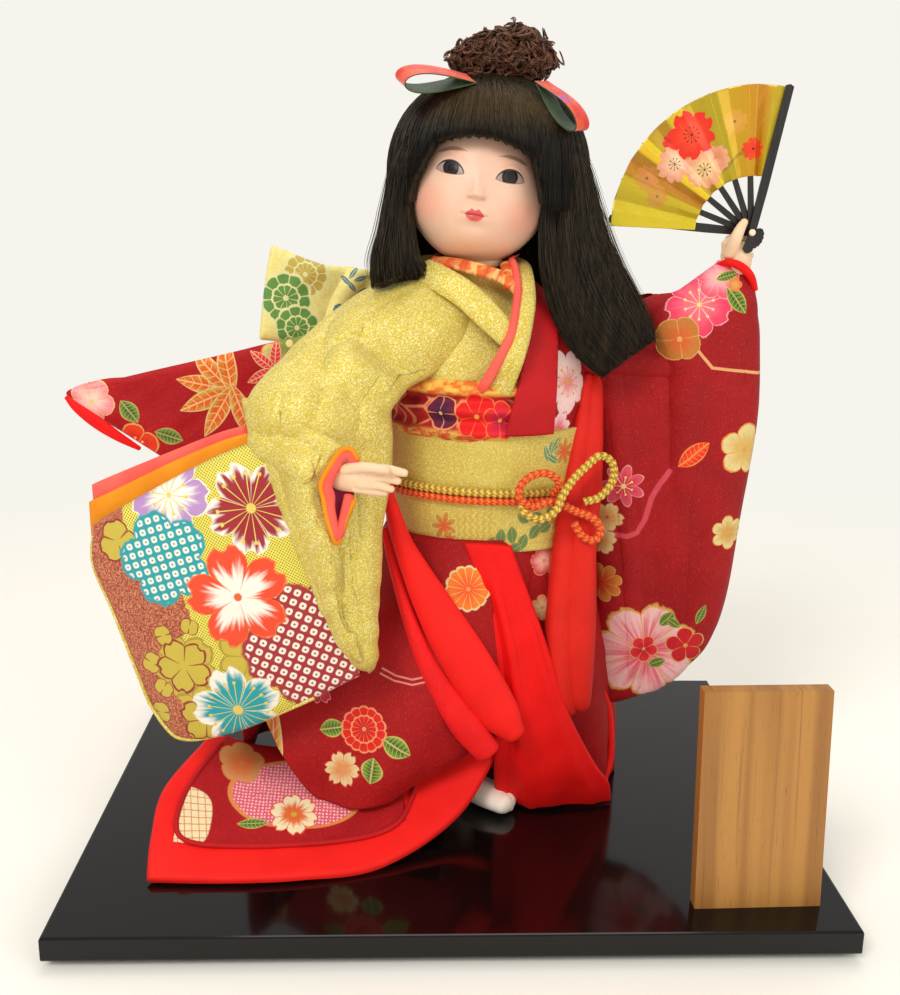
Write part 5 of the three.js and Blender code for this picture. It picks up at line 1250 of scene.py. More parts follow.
def skull():
    """The head's rings in its own axes, with the face in relief."""
    sides, rows = 220, 180
    tilt = (np.arange(1, rows) / rows * math.pi)[:, None]
    angle = np.linspace(0, 2 * math.pi, sides, endpoint=False)[None, :]
    z = -np.cos(tilt)
    cheek = 1 + 0.05 * np.exp(-(((z + 0.3) / 0.35) ** 2)) - 0.03 * np.maximum(z, 0)
    x, y = np.sin(tilt) * np.cos(angle), np.sin(tilt) * np.sin(angle)
    front = np.maximum(-y, 0)
    px = 32.5 * x * cheek
    py = 34 * y * (1 - 0.05 * front)
    pz = np.where(z > 0, 42, 33) * z + 0 * angle
    ax = np.abs(px)
    relief = 3.4 * np.exp(-((px / 3.3) ** 2)) * np.clip((14 - pz) / 13, 0, 1) ** 1.3 / (1 + np.exp(-(pz + 0.6) / 0.55))
    relief += 1.0 * bump(ax, pz, 2.9, 0.4, 1.7, 1.5) - 0.35 * bump(ax, pz, 2.2, -1.6, 1.2, 0.8)
    relief += 1.1 * bump(px, pz, 0.4, -7.5, 4.2, 1.25) + 1.35 * bump(px, pz, 0.4, -10.1, 3.3, 1.5)
    relief += 0.5 * bump(px, pz, 0.4, -8.6, 7.0, 4.0) - 0.75 * bump(px, pz, 0.4, -8.6, 4.6, 0.5)
    relief -= 0.45 * bump(ax, pz, 5.9, -8.4, 1.1, 1.3) + 0.25 * bump(px, pz, 0.4, -4.0, 1.1, 2.0)
    relief += 1.5 * bump(px, pz, 0, -21, 9, 6) + 1.6 * bump(ax, pz, 17, -8, 11, 9) - 0.5 * bump(px, pz, 0.4, -14, 7, 2)
    e = (ax - EYE_X) / EYE_HALF
    top = upper_lid(e)
    relief += -1.1 * bump(ax, pz, 14, 11.5, 8.5, 5) + 0.75 * np.exp(-(((pz - top - 1.0) / 0.9) ** 2) - (e / 1.05) ** 4)
    relief += 0.35 * bump(ax, pz, 14, 7.6, 6, 0.9) - 0.35 * np.exp(-(((pz - top - 3.2) / 0.7) ** 2) - (e / 0.95) ** 4)
    py = py - relief * front ** 0.8
    return np.stack([px, py, pz], -1)


FACE = skin("plaster_face", head=True)
skull_rings = skull()
local_faces = [list(f) for f in ring_faces(*skull_rings.shape[:2])]
face_tree = BVHTree.FromPolygons([Vector(v) for v in skull_rings.reshape(-1, 3)], local_faces)
NECK = [[238, 10, 0, 5, 5], [254, 10, 0, 5.2, 5.2], [259, 10, 0, 8.9, 8.9], [284, 10, 0, 9.1, 9.1],
        [287, 10.5, -1, 11, 11], [290, 11, -1.5, 12.3, 12.3], [302, 11, -2, 12.6, 12.6]]
neck_rings, _, _ = stack_rings(NECK, sides=96, steps=6)
dress(loft("face", from_head(skull_rings), FACE, cloth=skull_rings), "head", "plaster_skin", "head")
dress(loft("neck", neck_rings, SKIN, cloth=neck_rings), "head", "plaster_skin", "head")


def face_y(x, z):
    hit = face_tree.ray_cast(Vector((x, -90, z)), Vector((0, 1, 0)))[0]
    return float(hit.y)


EYE = eye_look("eye_glass")
LASH = ebony("lash")
for side, name in ((-1, "eye_right"), (1, "eye_left")):
    s, q = np.meshgrid(np.linspace(-0.97, 0.97, 49), np.linspace(0.03, 0.97, 21))
    low = EYE_LEVEL - (1 - np.abs(s) ** 2) * 1.15 + s * 0.2
    x, z = side * (EYE_X + s * EYE_HALF), low + (upper_lid(s) - low) * q
    k = (1 - s**2) * np.sin(q * math.pi) ** 0.7
    y = np.vectorize(face_y, otypes=[float])(x, z) - 0.05 - 0.5 * k
    local, half = np.stack([x, y, z], -1), 0.10 + 0.3 * k
    if side < 0:
        local, half = local[:, ::-1], half[:, ::-1]
    cloth = local - (side * 13.9, 0, 11.0)
    dress(padded_cloth("lens_" + name, from_head(local), half, EYE, cloth=cloth), "head", "eye_glass", name)
    e = np.linspace(-1.0, 1.0, 60)
    x, z = side * (EYE_X + e * EYE_HALF), upper_lid(e) + 0.08
    y = np.vectorize(face_y, otypes=[float])(x, z)
    size = 0.18 + 0.38 * np.clip(1 - np.abs(e) ** 3, 0, 1)
    stops = np.stack([*from_head(np.stack([x, y - 0.02, z], -1)).T, size, size], 1)
    dress(loft("lash_" + name, limb_rings(stops, sides=8, steps=2), LASH), "head", "eye_glass")


# Hair: a cap that parts over the face, strands laid over it, and the long locks

HAIR, STRAND = hair_look("hair"), hair_look("hair_strand", (14, 9, 5), (64, 52, 30), (1.2, 1.2, 0.06))
CROWN_HAIR = hair_look("crown_strand", (14, 9, 5), (64, 52, 30), (1.2, 1.2, 0.06), crown=True)
CROWN, SPREAD = np.array([15.5, 3.0, 333.0]), np.array([50.0, 43.0, 49.0])


def on_crown(tilt, turn, grow=0.0):
    tilt, turn = np.broadcast_arrays(tilt, turn)
    out = np.where(tilt > math.pi / 2, 1.0, np.sin(tilt))
    return CROWN + (SPREAD + grow) * np.stack([out * np.sin(turn), -out * np.cos(turn), np.cos(tilt)], -1)


def crown_reach(turn):
    """How far down the cap goes at each turn about it, in radians from its top."""
    tilts = np.linspace(0.3, 2.2, 260)
    points = on_crown(tilts[:, None], turn[None, :])
    local = to_head(points)
    cut = 22.5 + 6 * (1 - (local[..., 0] / 24) ** 2)
    wide = np.interp(local[..., 2], [0, 10, 20, 30], [33, 29.5, 25.5, 24])
    in_face = (np.abs(local[..., 0]) < wide) & (local[..., 2] < cut) & (local[..., 1] < -8)
    over = in_face | (points[..., 2] < 316.5)
    return tilts[np.argmax(over, 0)]


turns = np.linspace(-math.pi, math.pi, 360, endpoint=False)
reach = crown_reach(turns)
jag = np.where(reach < 1.55, 0.012 * np.sin(turns * 61) + 0.010 * np.sin(turns * 143 + 1), 0.0)
share = np.linspace(0.02, 1, 70)[:, None]
tilt = (reach + jag)[None, :] * share
groove = 0.35 * np.sin(turns * 90)[None, :] * share + 0.25 * np.sin(turns * 37 + 1)[None, :]
outer = on_crown(tilt, turns[None, :], -1.2 + groove[..., None])
inner = on_crown(tilt, turns[None, :], -6.0)
cap = loft("wig_cap", np.concatenate([outer, inner[::-1]]), CROWN_HAIR)
dress(cap, "head", "hair", "wig_crown", "hair_fringe")


def crown_strands(name, count, seed, low=0.10, grow=(-1.0, 0.5), radius=(0.16, 0.34), drop=(0.0, 0.03),
                  span=(-math.pi, math.pi)):
    """Strands combed down over the cap. Each pair is the range that a strand's value is drawn from."""
    r = np.random.default_rng(seed)
    turn = r.uniform(*span, count)
    end = crown_reach(turn) + r.uniform(*drop, count) + np.where(np.abs(turn) > 1.3, r.uniform(0.0, 0.34, count), 0.0)
    start = r.uniform(low, low + 0.35, count)
    s = np.linspace(0, 1, 18)[None, :]
    tilt = start[:, None] + (end - start)[:, None] * s
    sway = r.normal(0, 0.012, (count, 1)) * s + 0.006 * np.sin(s * 7 + r.uniform(0, 6, (count, 1)))
    rise = np.clip(s * 2.2, 0, 1) ** 0.6
    lift = (r.uniform(*grow, count)[:, None] * rise - 2.2 * (1 - rise))[..., None]
    paths = on_crown(tilt, turn[:, None] + sway, lift)
    return strands(name, paths, r.uniform(*radius, count), CROWN_HAIR)


dress(crown_strands("crown_strands", 2600, 3), "head", "hair")
fringe = crown_strands("fringe_strands", 1500, 5, 0.12, (-1.4, 0.6), (0.16, 0.30), (-0.02, 0.03), (-0.75, 0.68))
dress(fringe, "head", "hair")

LOCK_RIGHT = [[-22, -8, 347, 5, 14], [-26.5, -9, 333, 6.5, 13], [-28.5, -10, 318, 7.5, 11], [-29.5, -12, 304, 9, 10],
              [-30, -15, 291, 12, 8], [-28, -18, 281, 14.5, 5]]
LOCK_LEFT = [[50, -4, 348, 7, 16], [52.5, -8, 336, 10.5, 16], [54, -11.5, 320, 13.5, 14], [56, -15, 304, 16, 12],
             [60, -18.5, 288, 18.5, 11], [67, -22, 271.5, 20.5, 10], [75.5, -25, 257.5, 19.5, 8.5],
             [84, -27, 246.5, 16.5, 5.5]]


def combed(angle, share):
    angle, share = angle[None, :], share[:, None]
    wave = 1 + 0.030 * np.sin(angle * 23 + share * 2) + 0.022 * np.sin(angle * 51 + share * 3)
    return np.cos(angle) * wave, np.sin(angle) * wave


def lock(name, node, stops, count, seed, ends):
    """A long lock: a combed core, and strands on and in it that end between the shares in ends."""
    inner = np.array(stops, float)
    inner[:, 3:] -= 0.9
    inner[-1, :3] = inner[-2, :3] * 0.45 + inner[-1, :3] * 0.55
    inner[-1, 3:] *= (0.72, 0.5)
    base = loft(name, limb_rings(inner, sides=150, steps=12, cross=combed), HAIR)
    dress(base, None, "hair", node)
    r = np.random.default_rng(seed)
    n = 26
    angle = r.uniform(0, 2 * math.pi, count)[:, None] + r.normal(0, 0.05, (count, 1)) * np.linspace(0, 1, n)
    depth = np.where(r.random(count) < 0.7, r.uniform(0.94, 1.03, count), r.uniform(0.5, 0.95, count))[:, None]
    t = r.uniform(0.0, 0.12, count)[:, None] + (r.uniform(*ends, count)[:, None] - 0.02) * np.linspace(0, 1, n)
    over = np.clip(t - 1, 0, None)
    at = spline(stops, t)
    along = unit(np.gradient(at[..., :3], axis=1))
    across = unit(np.cross(along, np.array([0, -1.0, 0])))
    out = unit(np.cross(across, along))
    spread = 1 + 0.03 * np.sin(t * 9 + r.uniform(0, 6, (count, 1)))
    paths = (at[..., :3] + across * (np.cos(angle) * at[..., 3] * depth * spread)[..., None]
             + out * (np.sin(angle) * at[..., 4] * depth * spread)[..., None] + along * (over * 60)[..., None])
    hair = strands(name + "_strands", paths, r.uniform(0.15, 0.32, count), STRAND)
    dress(hair, None, "hair")
    return base, hair


long_hair = [*lock("side_lock_right", "hair_side_right", LOCK_RIGHT, 800, 21, (0.86, 1.04)),
             *lock("side_lock_left", "hair_side_left", LOCK_LEFT, 1700, 22, (0.84, 1.05))]

BACK_ROWS = [
    [[-30, 6, 324], [-24, 24, 323], [14, 42, 322], [50, 26, 323], [60, 8, 324]],
    [[-31, 4, 305], [-24, 24, 305], [14, 41, 305], [52, 26, 305], [62, 6, 305]],
    [[-33, 6, 285], [-24, 25, 283], [14, 40, 280], [54, 26, 283], [66, 8, 285]],
    [[-31, 16, 258], [-22, 30, 255], [14, 43, 252], [52, 31, 255], [67, 16, 258]],
]
back = drape("back_hair", BACK_ROWS, HAIR, thick=9, rim=2.4, nu=160, nv=40,
             fold=lambda u, v: 0.8 * np.cos(u * 30) + 0.25 * np.sin(u * 170) + 0.15 * np.sin(u * 333 + 1))
dress(back, None, "hair", "hair_back")
long_hair.append(back)
r = np.random.default_rng(31)
count = 900
side = np.where(r.random(count) < 0.6, -1, 1)
u0 = r.uniform(0.01, 0.99, count)[:, None] + r.normal(0, 0.01, (count, 1)) * np.linspace(0, 1, 16)
v0 = r.uniform(0, 0.1, count)[:, None] + r.uniform(0.86, 0.97, count)[:, None] * np.linspace(0, 1, 16)
grid, _, _ = surface(BACK_ROWS, 100, 60)
normal = grid_normals(grid)
iu = np.clip((u0 * 100).round().astype(int), 0, 100)
iv = np.clip((v0 * 60).round().astype(int), 0, 60)
wave = 0.8 * np.cos(u0 * 30)
half = pad(u0, v0, 9, 2.4)
rows_at = spline(BACK_ROWS, np.linspace(0, 1, 61))
exact = np.empty(u0.shape + (3,))
for j in range(u0.shape[1]):
    across_rows = spline(rows_at.transpose(1, 0, 2), u0[:, j])
    exact[:, j] = across_rows[np.arange(count), iv[:, j]]
paths = exact + normal[iv, iu] * (wave + side[:, None] * (half + 0.1))[..., None]
hair = strands("back_strands", paths, r.uniform(0.16, 0.32, count), STRAND)
dress(hair, None, "hair")
long_hair.append(hair)

# a few loose hairs, lifted off the rest
r = np.random.default_rng(44)
loose = []
for k in range(44):
    left = k < 34
    t = np.linspace(0.0, r.uniform(0.75, 1.0) if left else 1.0, 26)
    at = spline(LOCK_LEFT if left else LOCK_RIGHT, t)
    lift = r.uniform(1.04, 1.28) if left else r.uniform(1.03, 1.35)
    reach = at[:, 3] * (1.0 + (lift - 1) * np.sin(t * (2.6 if left else 2.8)))
    x = at[:, 0] + reach + r.normal(0, 0.3) if left else at[:, 0] - reach
    loose.append(np.stack([x, at[:, 1] + r.uniform(-0.8, 0.8) * at[:, 4], at[:, 2]], -1))
flyaway = strands("loose_hairs", np.array(loose), 0.09, STRAND)
dress(flyaway, None, "hair")
long_hair.append(flyaway)
for piece in long_hair:
    metres(30, 0, 262)
    metres(30, 0, 312)
    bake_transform(piece)

# The curled hairpiece: tufts of crinkled hair in loops, heaped over a core of the same hair coloured darker as painted
# shade
CURL_CORE_SHADE = hair_look("curl_core_hair_shade", (20, 10, 6), (58, 34, 22), (1.4, 1.4, 1.4))
CURL = hair_look("curled_hair", (54, 30, 20), (128, 82, 56), (0.5, 0.5, 0.5))
HEAP = np.array([20.8, -4.0, 384.6])
angle = np.linspace(0, 2 * math.pi, 90, endpoint=False)[None, :]
tilt = np.linspace(0.03, 0.97, 50)[:, None] * math.pi
shape = np.stack([np.sin(tilt) * np.cos(angle), np.sin(tilt) * np.sin(angle), -np.cos(tilt) + 0 * angle], -1)
shape = shape * (22.5, 11.5, 8.0)
core = loft("curl_core", HEAP + shape * (1 + 0.10 * ripple(shape, 7.0)[..., None]), CURL_CORE_SHADE)
dress(core, "head", "curled_hair", "curl_hairpiece")
# Each lump's place on the heap, its radii and its share of the tufts
LUMPS = [((0.0, 0.0, 0.0), (24.5, 13.0, 9.0), 0.66), ((4.0, 0.0, 7.5), (13.5, 8.5, 6.5), 0.22),
         ((-12.0, -1.0, 2.5), (9.0, 8.0, 6.0), 0.12)]


def curl_tufts(count, seed, hairs=5, out=(0.86, 1.04), size=(2.6, 5.2), top=False):
    """Loops of hair set on the heap's lumps, each loop a few hairs side by side."""
    r = np.random.default_rng(seed)
    paths = []
    for _ in range(count):
        at, radii, _ = LUMPS[r.choice(3, p=[lump[2] for lump in LUMPS])]
        a, b = r.uniform(0, 2 * math.pi), math.acos(r.uniform(-0.2 if top else -0.95, 0.98))
        seat = np.array([math.sin(b) * math.cos(a), math.sin(b) * math.sin(a), math.cos(b)])
        normal = unit(seat / radii)
        centre = HEAP + at + seat * radii * r.uniform(*out)
        t1 = unit(np.cross(normal, r.normal(0, 1, 3)))
        t2 = unit(np.cross(normal, t1) + normal * r.uniform(-0.9, 0.9))
        big = r.uniform(*size)
        turn = r.uniform(0, 6) + np.linspace(0, r.uniform(0.7, 1.7) * 2 * math.pi, 28)
        s = np.linspace(0, 1, 28)
        drift = r.normal(0, 2.2, 3)
        for _ in range(hairs):
            near = r.normal(0, 0.34, 3)
            wide = big * (1 - 0.35 * s) * (1 + r.normal(0, 0.05)) + 0.22 * np.sin(s * 34 + r.uniform(0, 6))
            loop = t1 * (wide * np.cos(turn))[:, None] + t2 * (wide * 0.8 * np.sin(turn))[:, None]
            paths.append(centre + near + loop + drift * s[:, None])
    return np.array(paths)


tufts = curl_tufts(430, 52)
thickness = np.random.default_rng(5).uniform(0.24, 0.46, len(tufts))
dress(strands("curls", tufts, thickness, CURL, sides=4, taper=0.6), "head", "curled_hair")
wisps = curl_tufts(26, 53, hairs=1, out=(1.0, 1.12), size=(2.6, 4.6), top=True)
dress(strands("curl_wisps", wisps, 0.17, CURL, sides=4, taper=0.7), "head", "curled_hair")


# Ribbon loops: one band bent back on itself, orange outside and green within

def ribbon_look(name, base, other, third):
    p = Paint(name)
    x, y, z = p.xyz()
    blot = p.noise(0.11, detail=2.0)
    rib = (y * 9.0).sin()
    colour = p.mix(blot.step(0.42, 0.6), srgb(*base), srgb(*other))
    colour = p.mix(p.noise(0.09, p.vector(x + 40.0, y, z)).step(0.56, 0.68), colour, srgb(*third))
    fine = p.noise(2.0, detail=3.0)
    return p.done(colour, 0.42 + fine * 0.12, p.bump(rib * 0.4 + fine * 0.3, 0.10, 0.7), Sheen_Weight=0.3,
                  Sheen_Roughness=0.3)


OUTSIDE = ribbon_look("ribbon_silk", (232, 84, 34), (214, 50, 36), (176, 84, 150))
INSIDE = ribbon_look("ribbon_green", (38, 66, 26), (58, 88, 34), (30, 52, 24))


def ribbon(name, node, long, high, width, at, along, over):
    """A loop that leaves its place at along one direction, as near upright to another as can be."""
    t = np.linspace(0.0, 1.0, 121)[:-1] * 2 * math.pi
    pinch = 0.5 - 0.5 * np.cos(t)
    x, z = long / 2 * (1 - np.cos(t)), high / 2 * pinch**0.7 * np.sin(t)
    rows = []
    for s in np.linspace(-0.5, 0.5, 25):
        cup = 0.6 * (1 - (2 * s) ** 2)
        y = np.full_like(x, s * width) + 0.25 * np.sin(t * 3)
        rows.append(np.stack([x + cup * np.cos(t) * 0.6, y, -(z + cup * np.sin(t) * 0.6)], -1))
    grid = np.array(rows)
    closed = np.concatenate([grid, grid[:, :1]], 1)
    x_axis = Vector(along).normalized()
    y_axis = Vector(over).cross(x_axis).normalized()
    where = np.array(Matrix((x_axis, y_axis, x_axis.cross(y_axis))))
    laid = closed @ where + at
    dress(padded_cloth(name, laid, 0.28, [INSIDE, OUTSIDE], cloth=laid), "head", "ribbon", node)


ribbon("ribbon_loop_right", "ribbon_right", 36, 12.5, 11.5, (5, -19, 374.5), (-0.86, -0.36, -0.06), (-0.1, -0.48, 0.87))
ribbon("ribbon_loop_left", "ribbon_left", 31, 12, 11, (38, -19, 374), (0.58, -0.40, -0.70), (0.55, -0.55, 0.62))


# Clothes

def crepe(name, base, dark, pattern):
    return silk(name, base, dark, grain=1.0, deep=0.3, specks=0.3, pattern=pattern)


# The red crepe is one cloth; each piece has its own slightly lighter or darker base tone, as painted light
CREPE = crepe("red_crepe", (180, 12, 21), (156, 9, 18), slipped_pattern)
BODICE_CREPE = crepe("bodice_crepe", (168, 12, 20), (144, 9, 16), bodice_pattern)
SKIRT_CREPE = crepe("skirt_crepe", (168, 10, 14), (146, 7, 11), skirt_pattern)
BROCADE = lame("flower_brocade", (196, 168, 52), (248, 234, 140), (214, 188, 74), 0.15, bag_pattern)
WING_BROCADE = lame("wing_brocade", (236, 214, 96), (255, 250, 186), (250, 236, 140), 0.1, wing_pattern)
OBI = lame("obi_brocade", (198, 172, 62), (246, 232, 146), (220, 198, 88), 0.12, obi_pattern)
ORANGE_CLOTH = silk("orange_lining", (240, 150, 16), (214, 116, 10), grain=2.4)
PINK_CLOTH = silk("pink_lining", (252, 104, 88), (236, 72, 66), grain=2.4)
# a dark tone of the pink lining: painted shade inside the cuff
CUFF_IN_SHADE = silk("cuff_shade", (128, 22, 62), (92, 14, 44), grain=2.4)
COLLAR = silk("collar_cloth", (222, 110, 60), (236, 196, 140), grain=2.2, pattern=collar_pattern)
SCARF = silk("scarf_cloth", (190, 24, 36), (214, 150, 70), grain=1.8, pattern=scarf_pattern)

NECK_X = 10
SWEEP_HEIGHTS = [262, 285.5, 287.2, 290, 294, 299, 306, 316, 330]
SWEEP_RADII = [9.4, 9.7, 13, 18, 23, 28, 33, 37.5, 38.5]
BODY_X, BODY_Y = 17.0, 4.0


def clear_head(points):
    """Keeps cloth out of what the turning head sweeps."""
    margin = 0.25
    flat = points.reshape(-1, 3)
    r = np.hypot(flat[:, 0] - NECK_X, flat[:, 1])
    limit = np.interp(flat[:, 2], SWEEP_HEIGHTS, SWEEP_RADII, left=SWEEP_RADII[0]) + margin
    push = np.where(r < limit, limit / np.maximum(r, 0.1), 1.0)
    flat[:, 0] = NECK_X + (flat[:, 0] - NECK_X) * push
    flat[:, 1] = flat[:, 1] * push
    return flat.reshape(points.shape)


def sheet(piece, slot, node):
    dress(piece, "doll", slot, *node.split())


def tube(name, stops, look, slot, node="", fill=0.7, sides=18, steps=8, **more):
    """A padded roll along a path of stops, as limb_rings takes them."""
    piece = loft(name, limb_rings(stops, sides=sides, steps=steps, **more), look)
    dress(piece, "doll", slot, *node.split())


def creases(*rows):
    """A fold of ridges and valleys: each row is a height, a run from u0, v0 to u1, v1 and a width."""
    return lambda u, v: sum(high * ridge(u, v, *run) for high, *run in rows)


def with_size(path, *size):
    """A path's points as stops that share one size."""
    return np.concatenate([path, np.tile(size, (len(path), 1))], 1)


def robe(name, levels, look, cuts=(), steps=14, thick=1.2, wrinkle=0.5, size=13.0):
    """A layer of cloth about the body, open at both ends."""
    rings, _, _ = stack_rings(levels, sides=150, steps=steps)
    outward = unit((rings - (BODY_X, BODY_Y, 0.0)) * (1, 1, 0))
    rings = clear_head(rings + outward * (wrinkle * ripple(rings, size))[..., None])
    piece = loft(name, rings, look, caps=False, cloth=around(rings, BODY_X, BODY_Y, 48.0))
    for point, normal in cuts:
        cut_plane(piece, point, normal)
    return shell(piece, thick)


def flip(cut):
    return cut[0], tuple(-c for c in cut[1])


GOLD_LEVELS = [[202, 17, 3, 46, 35.5], [225, 16, 3, 46, 37.5], [240, 14, 3, 45.5, 36.6], [256, 11, 4, 42, 33],
               [270, 9, 3, 32, 28], [280, 8, 2, 23, 21], [286, 8, 2, 18, 16]]
RED_LEVELS = [[150, 17, 4, 49, 37], [200, 17, 4, 49, 39.5], [225, 17, 4, 51.5, 41.5], [242, 16, 4, 51, 38.5],
              [258, 14, 4, 46, 34.5], [272, 12, 3, 35, 29], [282, 11, 2, 25, 22]]
COLLAR_EXTRA = (-2, 4.6, 4.6, 3.8, 2.8, 2.6, 2.6)
COLLAR_LEVELS = [[h, x, y, rx + more, ry + more] for (h, x, y, rx, ry), more in zip(RED_LEVELS, COLLAR_EXTRA)]
WAIST_LEVELS = [[h, 17, 3.5, rx, ry] for h, rx, ry in
                [(203, 50, 39.5), (208.5, 52.5, 44), (213.5, 49.8, 40), (219.5, 51.6, 44.5), (224.5, 49, 40.5),
                 (229.5, 50.5, 44.5), (234, 48, 39)]]
OPENING = flip(slope(34.5, 13, 254))
sheet(robe("gold_robe_bodice", GOLD_LEVELS, GOLD_CLOTH), "gold_cloth", "gold_bodice")
sheet(robe("crepe_bodice", RED_LEVELS, BODICE_CREPE, [OPENING]), "red_crepe", "red_bodice")
collar_cuts = [OPENING, slope(50, 2, 250), ((0, 0, 207.6), (0, 0, -1))]
sheet(robe("crepe_collar", COLLAR_LEVELS, COLLAR_RED, collar_cuts, wrinkle=0.1, thick=2.0),
      "red_crepe", "red_collar")
sheet(robe("scarf_folds", WAIST_LEVELS, SCARF, [slope(30, 16, 222)], steps=10, thick=1.4, wrinkle=0.7, size=9.0),
      "scarf_cloth", "waist_folds")


def band(name, node, stops, look, slot, facing=(-0.1, -1, 0.25), crease=0.0):
    """A collar band: a flat roll with squared edges."""
    squareness, sides = 0.75, 48

    def cross(angle, share):
        c, s = np.cos(angle)[None, :], np.sin(angle)[None, :]
        dent = crease * np.exp(-((c / 0.12) ** 2)) * (s < 0)
        along = 0 * share[:, None]
        return np.sign(c) * np.abs(c) ** squareness + along, np.sign(s) * np.abs(s) ** squareness - dent + along

    rings = clear_head(limb_rings(stops, facing=facing, sides=sides, steps=12, cross=cross))
    at = np.asarray(stops)
    length = np.linalg.norm(np.diff(at[:, :3], axis=0), axis=1).sum()
    u = np.broadcast_to(np.linspace(0, length, len(rings))[:, None], rings.shape[:2])
    round_it = np.cos(np.linspace(0, 2 * math.pi, sides, endpoint=False))
    v = np.broadcast_to(round_it * np.mean(at[:, 3]), rings.shape[:2])
    sheet(loft(name, rings, look, cloth=np.stack([u, 0 * u, v], -1)), slot, node)


band("gold_band_right", "gold_collar_right", [
    [4, 20, 286, 5.3, 2.2], [-12, 10, 287, 5.3, 2.2], [-18, -9, 286, 6.2, 2.0], [-10.5, -22, 283, 6.6, 1.9],
    [3, -31.5, 275.5, 6.8, 1.8], [15, -37, 265, 6.6, 1.8], [24, -39.5, 256, 5.6, 1.8]],
     GOLD_CLOTH, "gold_cloth", crease=0.5)
band("under_collar", "inner_collar", [
    [30, -31, 276.5, 2.8, 1.5], [22, -30, 283, 3.2, 1.8], [12, -27, 286.3, 3.4, 2.0], [1, -22, 288.5, 3.4, 2.2],
    [-9, -10, 289.5, 3.4, 2.2], [-6, 8, 290, 3.4, 2.2], [8, 16, 290, 3.4, 2.2], [20, 10, 290, 3.4, 2.2],
    [24.5, -8, 289, 3.4, 2.2], [24.5, -20, 286.5, 3.4, 2.2], [24.5, -29, 279, 3, 2]], COLLAR, "collar_cloth",
     facing=(0, -0.8, 0.6))
band("coral_strip", "pink_collar", [
    [27, -6, 291, 1.9, 3], [28, -22, 287, 1.9, 3], [28.6, -31, 278, 1.9, 3.2], [27.2, -37, 267.5, 1.9, 3.2],
    [25.3, -40, 257.7, 2.1, 3], [20.7, -42, 247.8, 2.3, 2.6], [14.5, -42, 236, 2.5, 2.4], [11.5, -38.5, 230, 2.5, 2]],
     PINK_CLOTH, "pink_lining")
band("gold_band_left", "gold_collar_left", [
    [14, 23, 286, 4.6, 2.4], [27, 14, 287, 4.6, 2.5], [32, -6, 287, 4.6, 2.8], [32.6, -22, 283, 4.6, 3],
    [33, -31, 274, 4.6, 3.2], [31.5, -36.5, 264, 4.8, 3.2], [29, -39.5, 253, 5, 3.2], [25.5, -41.5, 243, 5.4, 3],
    [20.5, -38.5, 230, 6, 2.4]], GOLD_CLOTH, "gold_cloth")

# Sash


def sash_fold(angle, t):
    low_edge, middle_groove = np.exp(-((t / 0.02) ** 2)), np.exp(-(((t - 0.5) / 0.012) ** 2))
    return 0.35 * np.sin(angle * 5 + t * 3) + 0.5 * low_edge - 0.25 * middle_groove


rings, _, _ = stack_rings([[147, 17, 4, 52, 40], [177.5, 17, 4, 53, 41], [208, 17, 4, 53, 41]], 180, 20, sash_fold)
sash = shell(loft("sash", rings, OBI, caps=False, cloth=around(rings, BODY_X, BODY_Y, 50.0)), 2.6)
sheet(sash, "obi_brocade", "obi")

WINGS = [
    [[-98, 49, 293], [-72, 50, 284], [-44, 52, 280], [0, 54, 262], [52, 54, 225], [86, 50, 206], [104, 48, 196]],
    [[-102, 49, 270], [-78, 52, 266], [-50, 54, 258], [2, 56, 232], [46, 56, 200], [76, 52, 182], [92, 49, 170]],
    [[-105, 47, 244], [-82, 50, 241], [-54, 52, 232], [4, 54, 204], [40, 54, 176], [66, 50, 156], [80, 47, 146]]]
wing_creases = creases((-3.4, 0.30, 0.0, 0.26, 0.75, 0.02), (0.8, 0.34, 0.1, 0.36, 0.9, 0.02))
wings = drape("bow_wings", WINGS, WING_BROCADE, thick=8, rim=2.0, nu=150, nv=44, wrinkle=0.6, wrinkle_size=10,
              fold=lambda u, v: 1.4 * np.cos(u * 6 * math.pi) + wing_creases(u, v))
sheet(wings, "obi_brocade", "sash_wings")
wrap = loft("bow_wrap", limb_rings([[-8, 47, 210, 17, 4], [8, 53, 222, 17, 5], [24, 55, 200, 17, 6],
                                    [34, 49, 176, 17, 4]], facing=(0, 1, 0), sides=80, steps=16), OBI)
sheet(wrap, "obi_brocade", "sash_wrap")


